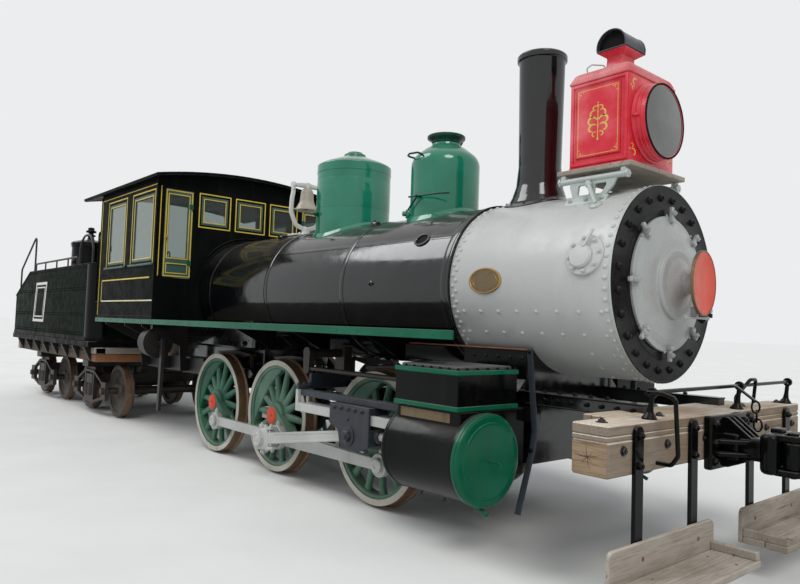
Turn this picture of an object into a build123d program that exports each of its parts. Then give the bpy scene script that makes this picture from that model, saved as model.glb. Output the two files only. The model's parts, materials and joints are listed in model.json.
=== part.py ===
from build123d import *

import os
from math import asin, cos, hypot, radians, sin, sqrt

# A six-coupled steam switching locomotive with its slope-back tender, at full size in millimetres.
# While a piece is drawn, X is measured forward from the main driving axle, Y to the left of the
# centre line and Z up from the rail. At the end every piece is set down on its wheel flanges, half
# way between the two couplers' noses.

os.makedirs("parts", exist_ok=True)

RIGHT = -1
LEFT = 1
SIDES = (RIGHT, LEFT)

# Running fit of a pin or shaft in its bore, the gap left between pieces that are set close, and the
# gap between pieces that pass each other.
RUN_FIT = 0.05
SET_GAP = 0.3
PASS_GAP = 6.0

# Wheels
WHEEL_BACK = 676.5
TYRE_WIDTH = 140.0
FLANGE_DEPTH = 25.0
FLANGE_WIDTH = 36.0
DRIVER_R = 610.0
TYRE_THICK = 62.0
RIM_THICK = 34.0
SPOKES = 14
SPOKE_INNER_W = 84.0
SPOKE_OUTER_W = 50.0
SPOKE_DEPTH = 74.0
SPOKE_INSET = 30.0
HUB_R = 150.0
HUB_PROUD = 20.0
CRANK_BOSS_R = 108.0
BALANCE_INNER_R = 350.0
BALANCE_HALF_ANGLE = 57.0
AXLE_R = 92.0
AXLE_END_R = 78.0
AXLE_END_PROUD = 14.0
FRONT_AXLE_X = 1741.0
REAR_AXLE_X = -1445.0

# Rods and crank pins
CRANK_R = 305.0
RIGHT_CRANK_ANGLE = -41.0
CRANK_ANGLE = {RIGHT: RIGHT_CRANK_ANGLE, LEFT: RIGHT_CRANK_ANGLE + 90.0}
PIN_R = 50.0
MAIN_PIN_R = 68.0
SIDE_ROD_IN = 868.0
SIDE_ROD_THICK = 78.0
SIDE_ROD_EYE_R = 104.0
SIDE_ROD_MAIN_EYE_R = 128.0
SIDE_ROD_REAR_H = 104.0
SIDE_ROD_FRONT_H = 138.0
PIN_NUT_R = 66.0
PIN_NUT_THICK = 30.0
MAIN_ROD_IN = 1046.0
MAIN_ROD_THICK = 92.0
MAIN_ROD_BAR_THICK = 56.0
MAIN_ROD_BIG_H = 118.0
MAIN_ROD_SMALL_H = 96.0
BIG_END_LONG = 250.0
BIG_END_TALL = 214.0
SMALL_EYE_R = 82.0
WRIST_X = 1862.0
WRIST_Z = 672.0
WRIST_R = 44.0

# Cylinders, chests and guides
CYL_Y = 1093.0
CYL_Z = 701.0
CYL_R = 331.0
CYL_BACK = 2575.0
CYL_FRONT = 3336.0
CYL_COVER_THICK = 70.0
CYL_COVER_R = 335.0
PISTON_ROD_R = 38.0
PISTON_ROD_END = 3170.0
ROD_BORE_END = 3300.0
GLAND_R = 92.0
GLAND_LONG = 70.0
CHEST_BACK = 2632.0
CHEST_FRONT = 3305.0
CHEST_IN = 695.0
CHEST_OUT = 1345.0
CHEST_SEAT_TOP = 1046.0
CHEST_TOP = 1340.0
CHEST_BAND = 38.0
CHEST_BAND_PROUD = 8.0
CHEST_LID_THICK = 22.0
GUIDE_Y = 1092.0
GUIDE_BACK = 956.0
GUIDE_TOP_Z = 940.0
GUIDE_TOP_THICK = 57.0
GUIDE_TOP_WIDE = 104.0
GUIDE_LOW_Z = 791.0
GUIDE_LOW_THICK = 85.0
GUIDE_LOW_WIDE = 42.0
GUIDE_LOW_Y = 62.0
YOKE_THICK = 44.0
SHOE_BACK = 294.0
SHOE_FRONT = 277.0
SHOE_GAP = 2.0
CHEEK_THICK = 24.0
CHEEK_BOSS_R = 124.0

# Frames
FRAME_Y = 550.0
FRAME_THICK = 100.0
FRAME_TOP = 1050.0
FRAME_TOP_DEPTH = 110.0
FRAME_BACK = -2250.0
FRAME_LOW_Z = 400.0
FRAME_LOW_DEPTH = 70.0
PEDESTAL_HALF = 215.0
PEDESTAL_LEG = 80.0
AXLE_BOX_TALL = 330.0
FRONT_RAIL_Z = 1082.0
FRONT_RAIL_DEPTH = 84.0
FRONT_RAIL_LAP = 200.0

# Boiler and smokebox
BOILER_Z = 2019.0
BOILER_R = 742.0
BOILER_FRONT = 2575.0
BOILER_BACK = -3250.0
FIREBOX_FRONT = -880.0
FIREBOX_BACK = -3150.0
FIREBOX_HALF = 640.0
FIREBOX_BOTTOM = 1090.0
FIREBOX_WIDE_Z = 1285.0
ASHPAN_HALF = 480.0
ASHPAN_BOTTOM = 780.0
ASHPAN_FRONT = -1300.0
ASHPAN_BACK = -2150.0
SMOKEBOX_R = 732.0
SMOKEBOX_WALL = 18.0
SMOKEBOX_FRONT = 4102.0
FRONT_RING_THICK = 18.0
FRONT_RING_R = 738.0
DOOR_HOLE_R = 480.0
DOOR_R = 505.0
DOOR_RIM_THICK = 24.0
DOOR_BOSS_R = 262.0
DOOR_BOSS_OUT = 105.0
DOOR_NOSE_R = 120.0
DOOR_NOSE_OUT = 180.0
DISC_R = 236.0
DISC_THICK = 22.0
DISC_GAP = 60.0
DOOR_HINGE_Y = 585.0
DOOR_HINGE_R = 22.0
DOG_COUNT = 8
DOG_LONG = 120.0
DOG_WIDE = 34.0
DOG_THICK = 30.0
SADDLE_BACK = 2640.0
SADDLE_FRONT = 3300.0
SADDLE_BOTTOM = 600.0
SADDLE_SEAT_HALF = 540.0
SADDLE_SEAT_Z = 1500.0

# Stack, domes, bell and headlight
STACK_X = 2925.0
STACK_LOW_R = 170.0
STACK_HIGH_R = 197.0
STACK_RIM_R = 220.0
STACK_TOP = 4075.0
STACK_RIM_TALL = 62.0
STACK_WALL = 14.0
STACK_FOOT_R = 290.0
STACK_FOOT_TALL = 150.0
SAND_X = 1735.0
SAND_R = 348.0
SAND_SHOULDER = 3290.0
SAND_NECK_Z = 3505.0
SAND_NECK_R = 147.0
SAND_RIM_R = 186.0
SAND_TOP = 3580.0
STEAM_X = 200.0
STEAM_R = 434.0
STEAM_SHOULDER = 3490.0
STEAM_TOP = 3655.0
STEAM_CAP_R = 146.0
DOME_SKIRT = 62.0
BELL_X = -800.0
BELL_Z = 3395.0
BELL_R = 150.0
BELL_TALL = 290.0
BELL_STAND_HALF = 225.0
LAMP_BACK = 3476.0
LAMP_FRONT = 3986.0
LAMP_HALF = 332.0
LAMP_LOW = 2899.0
LAMP_HIGH = 3560.0
LAMP_EAVE = 3625.0
LAMP_WALL = 14.0
LAMP_RING_R = 300.0
LAMP_GLASS_R = 262.0
LAMP_RING_Z = 3245.0
LAMP_RING_LONG = 150.0
LAMP_HOOD_X = 3650.0
LAMP_HOOD_R = 172.0
LAMP_HOOD_Z = 3905.0
LAMP_HOOD_HALF = 250.0

# Running boards and cab
BOARD_OUT = 1364.0
BOARD_TOP = 1621.0
BOARD_THICK = 40.0
BOARD_EDGE = 66.0
BOARD_BACK = -4565.0
BOARD_FRONT = 3255.0
CAB_BACK = -4510.0
CAB_FRONT = -2266.0
CAB_HALF = 1364.0
CAB_WALL = 44.0
CAB_EAVE = 3470.0
SIDE_WINDOWS = ((-4145.0, -3440.0), (-3140.0, -2390.0))
SIDE_WINDOW_LOW = 2400.0
SIDE_WINDOW_HIGH = 3320.0
FRONT_WINDOWS = ((-755.0, -350.0), (-205.0, 205.0), (350.0, 755.0))
FRONT_WINDOW_LOW = 2940.0
FRONT_WINDOW_HIGH = 3345.0
CAB_DOOR_IN = 868.0
CAB_DOOR_OUT = 1270.0
CAB_DOOR_LOW = 2185.0
CAB_DOOR_HIGH = 3380.0
CAB_DOOR_THICK = 36.0
CAB_DOOR_LIGHT = (940.0, 1205.0, 2460.0, 3295.0)
ROOF_FRONT = -2120.0
ROOF_BACK = -5150.0
ROOF_HALF = 1450.0
ROOF_EAVE = 3490.0
ROOF_CROWN = 3690.0
ROOF_THICK = 46.0
GLASS_THICK = 8.0
CAB_FLOOR_THICK = 40.0

# Front end
BEAM_FRONT = 4544.0
BEAM_DEPTH = 248.0
BEAM_HALF = 1405.0
BEAM_LOW = 818.0
BEAM_HIGH = 1116.0
PLANK_DEPTH = 190.0
PLANK_HALF = 1010.0
STRAP_THICK = 26.0
STRAP_WIDE = 92.0
STRAP_Y = (435.0, 1110.0)
STRAP_LOW = 300.0
STEP_HALF_GAP = 216.0
STEP_OUT = 1460.0
STEP_Z = 250.0
STEP_THICK = 48.0
STEP_DEEP = 300.0
STEP_BOARD_TALL = 190.0
COUPLER_Z = 905.0
COUPLER_POCKET_HALF = 270.0
FRONT_NOSE = 5160.0
REAR_NOSE = -10330.0
KNUCKLE_R = 62.0

# Tender
DRAW_PIN_X = -4545.0
DRAW_PIN_R = 42.0
DRAW_Z = 985.0
TANK_FRONT = -4690.0
TANK_BACK = -9755.0
TANK_HALF = 1400.0
TANK_LOW = 1240.0
TANK_HIGH = 2475.0
SLOPE_TOP_X = -8600.0
SLOPE_LOW_Z = 1985.0
TANK_CORNER = 240.0
BUNKER_HALF = 690.0
BUNKER_BACK = -6150.0
BUNKER_LOW = 1500.0
SILL_LOW = 915.0
SILL_TALL = 225.0
SILL_WIDE = 160.0
DECK_THICK = 100.0
TENDER_BEAM_DEEP = 180.0
TURRET_X = -6550.0
TURRET_Y = -900.0
TURRET_R = 325.0
TURRET_TALL = 440.0
RAIL_R = 17.0
RAIL_POST_R = 13.0
TENDER_WHEEL_R = 419.0
TENDER_AXLE_R = 68.0
JOURNAL_R = 56.0
JOURNAL_OUT = 1085.0
TRUCK_X = (-5735.0, -8735.0)
TRUCK_BASE = 1450.0
TRUCK_Y = 1010.0
TRUCK_THICK = 64.0
AXLE_BOX_HALF = 105.0
BOLSTER_HALF = 150.0
BOLSTER_TOP = 655.0
CENTRE_PLATE_R = 170.0
CENTRE_PLATE_Z = 700.0
ARCH_BAR = 38.0

BODY_MIDDLE = (FRONT_NOSE + REAR_NOSE) / 2


def block(x_low, x_high, y_low, y_high, z_low, z_high, mode=Mode.ADD):
    """Adds a box between two corners to the part being built, or cuts it out."""
    with Locations(((x_low + x_high) / 2, (y_low + y_high) / 2, (z_low + z_high) / 2)):
        Box(x_high - x_low, y_high - y_low, z_high - z_low, mode=mode)


def side_block(side, x_low, x_high, near, far, z_low, z_high, mode=Mode.ADD):
    """A box between two distances from the centre line, on one side."""
    block(x_low, x_high, min(side * near, side * far), max(side * near, side * far), z_low, z_high, mode)


def outline(plane, corners):
    """A closed face from corners of (across, up, rounding radius)."""
    points = [(across, up) for across, up, rounding in corners]
    with BuildSketch(plane) as drawn:
        with BuildLine():
            FilletPolyline(*points, radius=[corner[2] for corner in corners], close=True)
        make_face()
    return drawn.sketch


def outboard(side, near, far):
    """The upright fore-and-aft plane from which extruding towards the right fills near to far."""
    return Plane.XZ.offset(-max(side * near, side * far))


def side_plate(side, near, far, corners, mode=Mode.ADD):
    """A plate with an outline in X and Z, between two distances from the centre line."""
    extrude(outline(outboard(side, near, far), corners), amount=far - near, mode=mode)


def rod_along_y(x, z, radius, y_low, y_high, mode=Mode.ADD):
    """A round bar lying across the machine."""
    with BuildSketch(Plane.XZ.offset(-y_high)) as drawn:
        with Locations((x, z)):
            Circle(radius)
    extrude(drawn.sketch, amount=y_high - y_low, mode=mode)


def side_pin(side, x, z, radius, near, far, mode=Mode.ADD):
    """A round bar across the machine, between two distances from the centre line."""
    rod_along_y(x, z, radius, min(side * near, side * far), max(side * near, side * far), mode)


def rod_along_x(y, z, radius, x_low, x_high, mode=Mode.ADD):
    """A round bar lying fore and aft."""
    with BuildSketch(Plane.YZ.offset(x_low)) as drawn:
        with Locations((y, z)):
            Circle(radius)
    extrude(drawn.sketch, amount=x_high - x_low, mode=mode)


def rod_along_z(x, y, radius, z_low, z_high, mode=Mode.ADD):
    """An upright round bar."""
    with BuildSketch(Plane.XY.offset(z_low)) as drawn:
        with Locations((x, y)):
            Circle(radius)
    extrude(drawn.sketch, amount=z_high - z_low, mode=mode)


def turn_upright(x, y, corners, mode=Mode.ADD):
    """Turns an outline of (radius, height, rounding) about an upright line."""
    plane = Plane(origin=(x, y, 0), x_dir=(1, 0, 0), z_dir=(0, -1, 0))
    revolve(outline(plane, corners), axis=Axis((x, y, 0), (0, 0, 1)), mode=mode)


def turn_fore(y, z, corners, mode=Mode.ADD):
    """Turns an outline of (station, radius, rounding) about a fore-and-aft line."""
    plane = Plane(origin=(0, y, z), x_dir=(1, 0, 0), z_dir=(0, -1, 0))
    revolve(outline(plane, corners), axis=Axis((0, y, z), (1, 0, 0)), mode=mode)


def turn_across(x, z, corners, mode=Mode.ADD):
    """Turns an outline of (radius, distance to the left, rounding) about an axle's line."""
    plane = Plane(origin=(x, 0, z), x_dir=(1, 0, 0), z_dir=(0, 0, 1))
    revolve(outline(plane, corners), axis=Axis((x, 0, z), (0, 1, 0)), mode=mode)


def pipe(points, radius, bend):
    """Adds a round pipe through the points, with bends of one radius."""
    bends = [bend] * (len(points) - 2)
    with BuildLine() as route:
        if bends:
            FilletPolyline(*points, radius=bends)
        else:
            Line(*points)
    start = route.line @ 0
    with BuildSketch(Plane(origin=start, z_dir=route.line % 0)) as drawn:
        Circle(radius)
    sweep(drawn.sketch, path=route.line)


def crank_pin(side, axle_x):
    """Where a crank pin's centre stands."""
    angle = radians(CRANK_ANGLE[side])
    return axle_x + CRANK_R * cos(angle), DRIVER_R + CRANK_R * sin(angle)


# Driving wheels, two on each axle with their crank pins
WHEEL_OUT = WHEEL_BACK + TYRE_WIDTH
RIM_IN = DRIVER_R - TYRE_THICK - RIM_THICK
HUB_OUT = WHEEL_OUT + HUB_PROUD
PIN_BOSS_OUT = SIDE_ROD_IN - PASS_GAP
SIDE_ROD_OUT = SIDE_ROD_IN + SIDE_ROD_THICK
MAIN_PIN_OUT = MAIN_ROD_IN - 2 * PASS_GAP
MAIN_PIN_COLLAR_R = SIDE_ROD_MAIN_EYE_R - 26.0


def rim_corners(side, inner, tread):
    """A wheel rim's outline from its bore to the tread and the flange, for turning on the axle."""
    back = side * WHEEL_BACK
    root = side * (WHEEL_BACK + FLANGE_WIDTH)
    out = side * WHEEL_OUT
    flange = tread + FLANGE_DEPTH
    return [(inner, out, 0), (tread, out, 0), (tread, root, 0), (flange, back, 0), (inner, back, 0)]


def rim_point(axle_x, radius, angle):
    """A point in a driving wheel's plane, at an angle from straight ahead."""
    return axle_x + radius * cos(radians(angle)), DRIVER_R + radius * sin(radians(angle))


def driving_wheels(axle_x, main):
    """One driving axle: rims, spokes, hubs, balance weights, axle and crank pins as one forging."""
    spoke_out = WHEEL_OUT - SPOKE_INSET
    spoke_in = spoke_out - SPOKE_DEPTH
    with BuildPart() as wheels:
        rod_along_y(axle_x, DRIVER_R, AXLE_R, -WHEEL_BACK, WHEEL_BACK)
        for side in SIDES:
            turn_across(axle_x, DRIVER_R, rim_corners(side, RIM_IN, DRIVER_R))
            pin_x, pin_z = crank_pin(side, axle_x)
            with BuildSketch(outboard(side, spoke_in, spoke_out)) as web:
                with Locations((axle_x, DRIVER_R)):
                    with PolarLocations(0, SPOKES, start_angle=CRANK_ANGLE[side] + 180 / SPOKES):
                        with Locations(((RIM_IN + HUB_R) / 2, 0)):
                            Trapezoid(
                                SPOKE_INNER_W,
                                RIM_IN - HUB_R + 50.0,
                                90 - (SPOKE_INNER_W - SPOKE_OUTER_W) / (RIM_IN - HUB_R) * 28.65,
                                rotation=-90,
                            )
            extrude(web.sketch, amount=SPOKE_DEPTH)
            with BuildSketch(outboard(side, spoke_in, spoke_out)) as balance:
                start = CRANK_ANGLE[side] + 180 - BALANCE_HALF_ANGLE
                centre = (axle_x, DRIVER_R)
                with BuildLine():
                    outer = CenterArc(centre, RIM_IN + 10.0, start, 2 * BALANCE_HALF_ANGLE)
                    middle = rim_point(axle_x, BALANCE_INNER_R, CRANK_ANGLE[side] + 180)
                    ThreePointArc(outer @ 0, middle, outer @ 1)
                make_face()
            extrude(balance.sketch, amount=SPOKE_DEPTH)
            side_pin(side, axle_x, DRIVER_R, HUB_R, WHEEL_BACK, HUB_OUT)
            side_pin(side, axle_x, DRIVER_R, AXLE_END_R, HUB_OUT, HUB_OUT + AXLE_END_PROUD)
            with BuildSketch(outboard(side, spoke_in, PIN_BOSS_OUT)) as boss:
                with Locations((axle_x, DRIVER_R), (pin_x, pin_z)):
                    Circle(CRANK_BOSS_R)
                make_hull()
            extrude(boss.sketch, amount=PIN_BOSS_OUT - spoke_in)
            if main:
                side_pin(side, pin_x, pin_z, MAIN_PIN_R, PIN_BOSS_OUT, MAIN_PIN_OUT)
                side_pin(side, pin_x, pin_z, MAIN_PIN_COLLAR_R, SIDE_ROD_OUT + PASS_GAP, MAIN_PIN_OUT)
            else:
                side_pin(side, pin_x, pin_z, PIN_R, PIN_BOSS_OUT, SIDE_ROD_OUT + PASS_GAP + PIN_NUT_THICK)
                nut_in = SIDE_ROD_OUT + PASS_GAP
                side_pin(side, pin_x, pin_z, PIN_NUT_R, nut_in, nut_in + PIN_NUT_THICK)
    return wheels


drivers_front = driving_wheels(FRONT_AXLE_X, False)
drivers_main = driving_wheels(0, True)
drivers_rear = driving_wheels(REAR_AXLE_X, False)


# Side rods, level through all three crank pins
def side_rod(side):
    """One side rod: three eyes joined by two flat bars."""
    main_x, pin_z = crank_pin(side, 0)
    front_x = main_x + FRONT_AXLE_X
    rear_x = main_x + REAR_AXLE_X
    half_rear = SIDE_ROD_REAR_H / 2
    half_front = SIDE_ROD_FRONT_H / 2
    with BuildPart() as rod:
        with BuildSketch(outboard(side, SIDE_ROD_IN, SIDE_ROD_OUT)) as flat:
            with Locations((front_x, pin_z), (rear_x, pin_z)):
                Circle(SIDE_ROD_EYE_R)
            with Locations((main_x, pin_z)):
                Circle(SIDE_ROD_MAIN_EYE_R)
            with BuildLine():
                Polyline(
                    (rear_x, pin_z - half_rear),
                    (main_x, pin_z - half_rear),
                    (main_x, pin_z + half_rear),
                    (rear_x, pin_z + half_rear),
                    close=True,
                )
            make_face()
            with BuildLine():
                Polyline(
                    (main_x, pin_z - half_front),
                    (front_x, pin_z - half_rear),
                    (front_x, pin_z + half_rear),
                    (main_x, pin_z + half_front),
                    close=True,
                )
            make_face()
            with Locations((front_x, pin_z), (rear_x, pin_z)):
                Circle(PIN_R + RUN_FIT, mode=Mode.SUBTRACT)
            with Locations((main_x, pin_z)):
                Circle(MAIN_PIN_R + RUN_FIT, mode=Mode.SUBTRACT)
        extrude(flat.sketch, amount=SIDE_ROD_THICK)
    return rod


side_rods = {side: side_rod(side) for side in SIDES}

# Main rods, each from its wrist pin back to the plane just outside the main crank pin
RIGHT_PIN_X, RIGHT_PIN_Z = crank_pin(RIGHT, 0)
MAIN_ROD_LONG = hypot(WRIST_X - RIGHT_PIN_X, WRIST_Z - RIGHT_PIN_Z)
MAIN_ROD_OUT = MAIN_ROD_IN + MAIN_ROD_THICK
MAIN_ROD_MIDDLE = (MAIN_ROD_IN + MAIN_ROD_OUT) / 2
BAR_IN = MAIN_ROD_MIDDLE - MAIN_ROD_BAR_THICK / 2
BAR_OUT = MAIN_ROD_MIDDLE + MAIN_ROD_BAR_THICK / 2
PIN_CAP_R = 74.0
PIN_CAP_PROUD = 34.0


def wrist_x(side):
    """How far forward the wrist pin stands for the crank's place."""
    pin_x, pin_z = crank_pin(side, 0)
    return pin_x + sqrt(MAIN_ROD_LONG**2 - (WRIST_Z - pin_z) ** 2)


def main_rod(side):
    """One main rod: a tapered bar, a small eye on the wrist pin and a strapped big end."""
    pin_x, pin_z = crank_pin(side, 0)
    tilt = asin((WRIST_Z - pin_z) / MAIN_ROD_LONG)
    along = Plane(
        origin=(pin_x, max(side * BAR_IN, side * BAR_OUT), pin_z),
        x_dir=(cos(tilt), 0, sin(tilt)),
        z_dir=(0, -1, 0),
    )
    thick = along.offset((MAIN_ROD_BAR_THICK - MAIN_ROD_THICK) / 2)
    with BuildPart() as rod:
        with BuildSketch(along) as bar:
            with BuildLine():
                Polyline(
                    (0, -MAIN_ROD_BIG_H / 2),
                    (MAIN_ROD_LONG, -MAIN_ROD_SMALL_H / 2),
                    (MAIN_ROD_LONG, MAIN_ROD_SMALL_H / 2),
                    (0, MAIN_ROD_BIG_H / 2),
                    close=True,
                )
            make_face()
            with Locations((MAIN_ROD_LONG, 0)):
                Circle(SMALL_EYE_R)
        extrude(bar.sketch, amount=MAIN_ROD_BAR_THICK)
        with BuildSketch(thick) as strap:
            RectangleRounded(BIG_END_LONG, BIG_END_TALL, 46.0)
        extrude(strap.sketch, amount=MAIN_ROD_THICK)
        side_pin(side, pin_x, pin_z, PIN_CAP_R, MAIN_ROD_OUT, MAIN_ROD_OUT + PIN_CAP_PROUD)
        side_pin(side, wrist_x(side), WRIST_Z, WRIST_R + RUN_FIT, BAR_IN, BAR_OUT, Mode.SUBTRACT)
    return rod


main_rods = {side: main_rod(side) for side in SIDES}

# Crossheads, hung from shoes on the guide bars, each with its piston rod
BAR_LOW_TOP = GUIDE_LOW_Z + GUIDE_LOW_THICK
SHOE_IN = GUIDE_Y - GUIDE_LOW_Y - GUIDE_LOW_WIDE / 2 - SHOE_GAP - CHEEK_THICK
SHOE_OUT = GUIDE_Y + GUIDE_LOW_Y + GUIDE_LOW_WIDE / 2 + SHOE_GAP + CHEEK_THICK
SHOE_TOP = GUIDE_TOP_Z - SHOE_GAP
SHOE_SIDE_LOW = GUIDE_LOW_Z - 40.0


def crosshead(side):
    """One crosshead: the shoe between the bars, two cheeks down to the wrist pin, and the piston rod."""
    middle = wrist_x(side)
    back = middle - SHOE_BACK
    front = middle + SHOE_FRONT
    cheek = [
        (back, SHOE_TOP - 16.0, 0),
        (back, SHOE_SIDE_LOW, 0),
        (middle - CHEEK_BOSS_R - 36.0, WRIST_Z + 40.0, 60.0),
        (middle - CHEEK_BOSS_R, WRIST_Z - CHEEK_BOSS_R, 90.0),
        (middle + CHEEK_BOSS_R, WRIST_Z - CHEEK_BOSS_R, 90.0),
        (front, CYL_Z - GLAND_R, 30.0),
        (front, SHOE_TOP - 16.0, 0),
    ]
    with BuildPart() as head:
        side_plate(side, SHOE_OUT - CHEEK_THICK, SHOE_OUT, cheek)
        side_plate(side, SHOE_IN, SHOE_IN + CHEEK_THICK, cheek)
        side_block(side, back, front, SHOE_IN, SHOE_OUT, BAR_LOW_TOP + SHOE_GAP, SHOE_TOP)
        side_pin(side, middle, WRIST_Z, WRIST_R, SHOE_IN, SHOE_OUT + 16.0)
        side_pin(side, middle, WRIST_Z, SMALL_EYE_R - 8.0, SHOE_IN, BAR_IN)
        side_pin(side, middle, WRIST_Z, SMALL_EYE_R - 8.0, BAR_OUT, SHOE_OUT)
        side_block(
            side, middle + SMALL_EYE_R + 30.0, front, SHOE_IN, SHOE_OUT, CYL_Z - GLAND_R, SHOE_SIDE_LOW
        )
        rod_along_x(side * CYL_Y, CYL_Z, PISTON_ROD_R, front, middle + PISTON_ROD_END - WRIST_X)
    return head


crossheads = {side: crosshead(side) for side in SIDES}

# Guide bars with the yoke that hangs their back ends from the frame
with BuildPart() as guides:
    for side in SIDES:
        bar_top = GUIDE_TOP_Z + GUIDE_TOP_THICK
        half = GUIDE_TOP_WIDE / 2
        side_block(side, GUIDE_BACK, CYL_BACK, GUIDE_Y - half, GUIDE_Y + half, GUIDE_TOP_Z, bar_top)
        for across in (-GUIDE_LOW_Y, GUIDE_LOW_Y):
            near = GUIDE_Y + across - GUIDE_LOW_WIDE / 2
            side_block(
                side, GUIDE_BACK + YOKE_THICK, CYL_BACK, near, near + GUIDE_LOW_WIDE, GUIDE_LOW_Z, BAR_LOW_TOP
            )
        yoke_in = GUIDE_Y - GUIDE_LOW_Y - GUIDE_LOW_WIDE / 2
        yoke_out = GUIDE_Y + GUIDE_LOW_Y + GUIDE_LOW_WIDE / 2
        yoke_front = GUIDE_BACK + YOKE_THICK
        side_block(side, GUIDE_BACK, yoke_front, yoke_in, yoke_out, bar_top, bar_top + 40.0)
        for near in (yoke_in, yoke_out - GUIDE_LOW_WIDE):
            side_block(side, GUIDE_BACK, yoke_front, near, near + GUIDE_LOW_WIDE, GUIDE_LOW_Z, bar_top)
        frame_out = FRAME_Y + FRAME_THICK / 2
        side_block(side, GUIDE_BACK, yoke_front, frame_out, yoke_in + 20.0, bar_top + 4.0, bar_top + 150.0)

# Cylinders with their covers, glands and chest seats
with BuildPart() as cylinders:
    for side in SIDES:
        y = side * CYL_Y
        cover_front = CYL_FRONT + CYL_COVER_THICK
        rod_along_x(y, CYL_Z, CYL_R, CYL_BACK, CYL_FRONT)
        turn_fore(
            y,
            CYL_Z,
            [
                (CYL_FRONT, 0, 0),
                (CYL_FRONT, CYL_COVER_R, 0),
                (cover_front - 22.0, CYL_COVER_R, 14.0),
                (cover_front, CYL_COVER_R - 60.0, 0),
                (cover_front, 0, 0),
            ],
        )
        side_block(
            side, CHEST_BACK, CHEST_FRONT, FRAME_Y + FRAME_THICK / 2, CYL_Y, CYL_Z - CYL_R / 2, CHEST_SEAT_TOP
        )
        side_block(side, CHEST_BACK, CHEST_FRONT, CYL_Y, CHEST_OUT - 30.0, CYL_Z + 150.0, CHEST_SEAT_TOP)
        rod_along_x(y, CYL_Z, GLAND_R, CYL_BACK - GLAND_LONG, CYL_BACK)
        rod_along_x(
            y, CYL_Z, PISTON_ROD_R + RUN_FIT, CYL_BACK - GLAND_LONG, ROD_BORE_END, Mode.SUBTRACT
        )

# Steam chests on top of the cylinders
with BuildPart() as steam_chests:
    for side in SIDES:
        side_block(side, CHEST_BACK, CHEST_FRONT, CHEST_IN, CHEST_OUT, CHEST_SEAT_TOP, CHEST_TOP)
        for low in (CHEST_SEAT_TOP, CHEST_TOP - CHEST_BAND):
            side_block(
                side,
                CHEST_BACK - CHEST_BAND_PROUD,
                CHEST_FRONT + CHEST_BAND_PROUD,
                CHEST_IN - CHEST_BAND_PROUD,
                CHEST_OUT + CHEST_BAND_PROUD,
                low,
                low + CHEST_BAND,
            )
        side_block(
            side,
            CHEST_BACK + 40.0,
            CHEST_FRONT - 40.0,
            CHEST_IN + 40.0,
            CHEST_OUT - 40.0,
            CHEST_TOP,
            CHEST_TOP + CHEST_LID_THICK,
        )

# Valve stems, rocker arms and the shaft that carries them
STEM_Y = 980.0
STEM_Z = 1190.0
STEM_R = 22.0
ROCKER_X = 870.0
with BuildPart() as valve_gear:
    for side in SIDES:
        rod_along_x(side * STEM_Y, STEM_Z, STEM_R, ROCKER_X, CHEST_BACK - CHEST_BAND_PROUD)
        rod_along_x(side * STEM_Y, STEM_Z, 58.0, CHEST_BACK - 90.0, CHEST_BACK - CHEST_BAND_PROUD)
        side_plate(
            side,
            STEM_Y - 30.0,
            STEM_Y + 30.0,
            [
                (ROCKER_X - 46.0, STEM_Z - 50.0, 30.0),
                (ROCKER_X + 46.0, STEM_Z - 50.0, 30.0),
                (ROCKER_X + 60.0, STEM_Z + 210.0, 50.0),
                (ROCKER_X - 60.0, STEM_Z + 210.0, 50.0),
            ],
        )
        side_pin(side, ROCKER_X, STEM_Z + 150.0, 44.0, FRAME_Y, STEM_Y)
        side_block(
            side,
            ROCKER_X - 80.0,
            ROCKER_X + 80.0,
            FRAME_Y - FRAME_THICK / 2,
            FRAME_Y + FRAME_THICK / 2,
            FRAME_TOP,
            STEM_Z + 220.0,
        )

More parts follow.
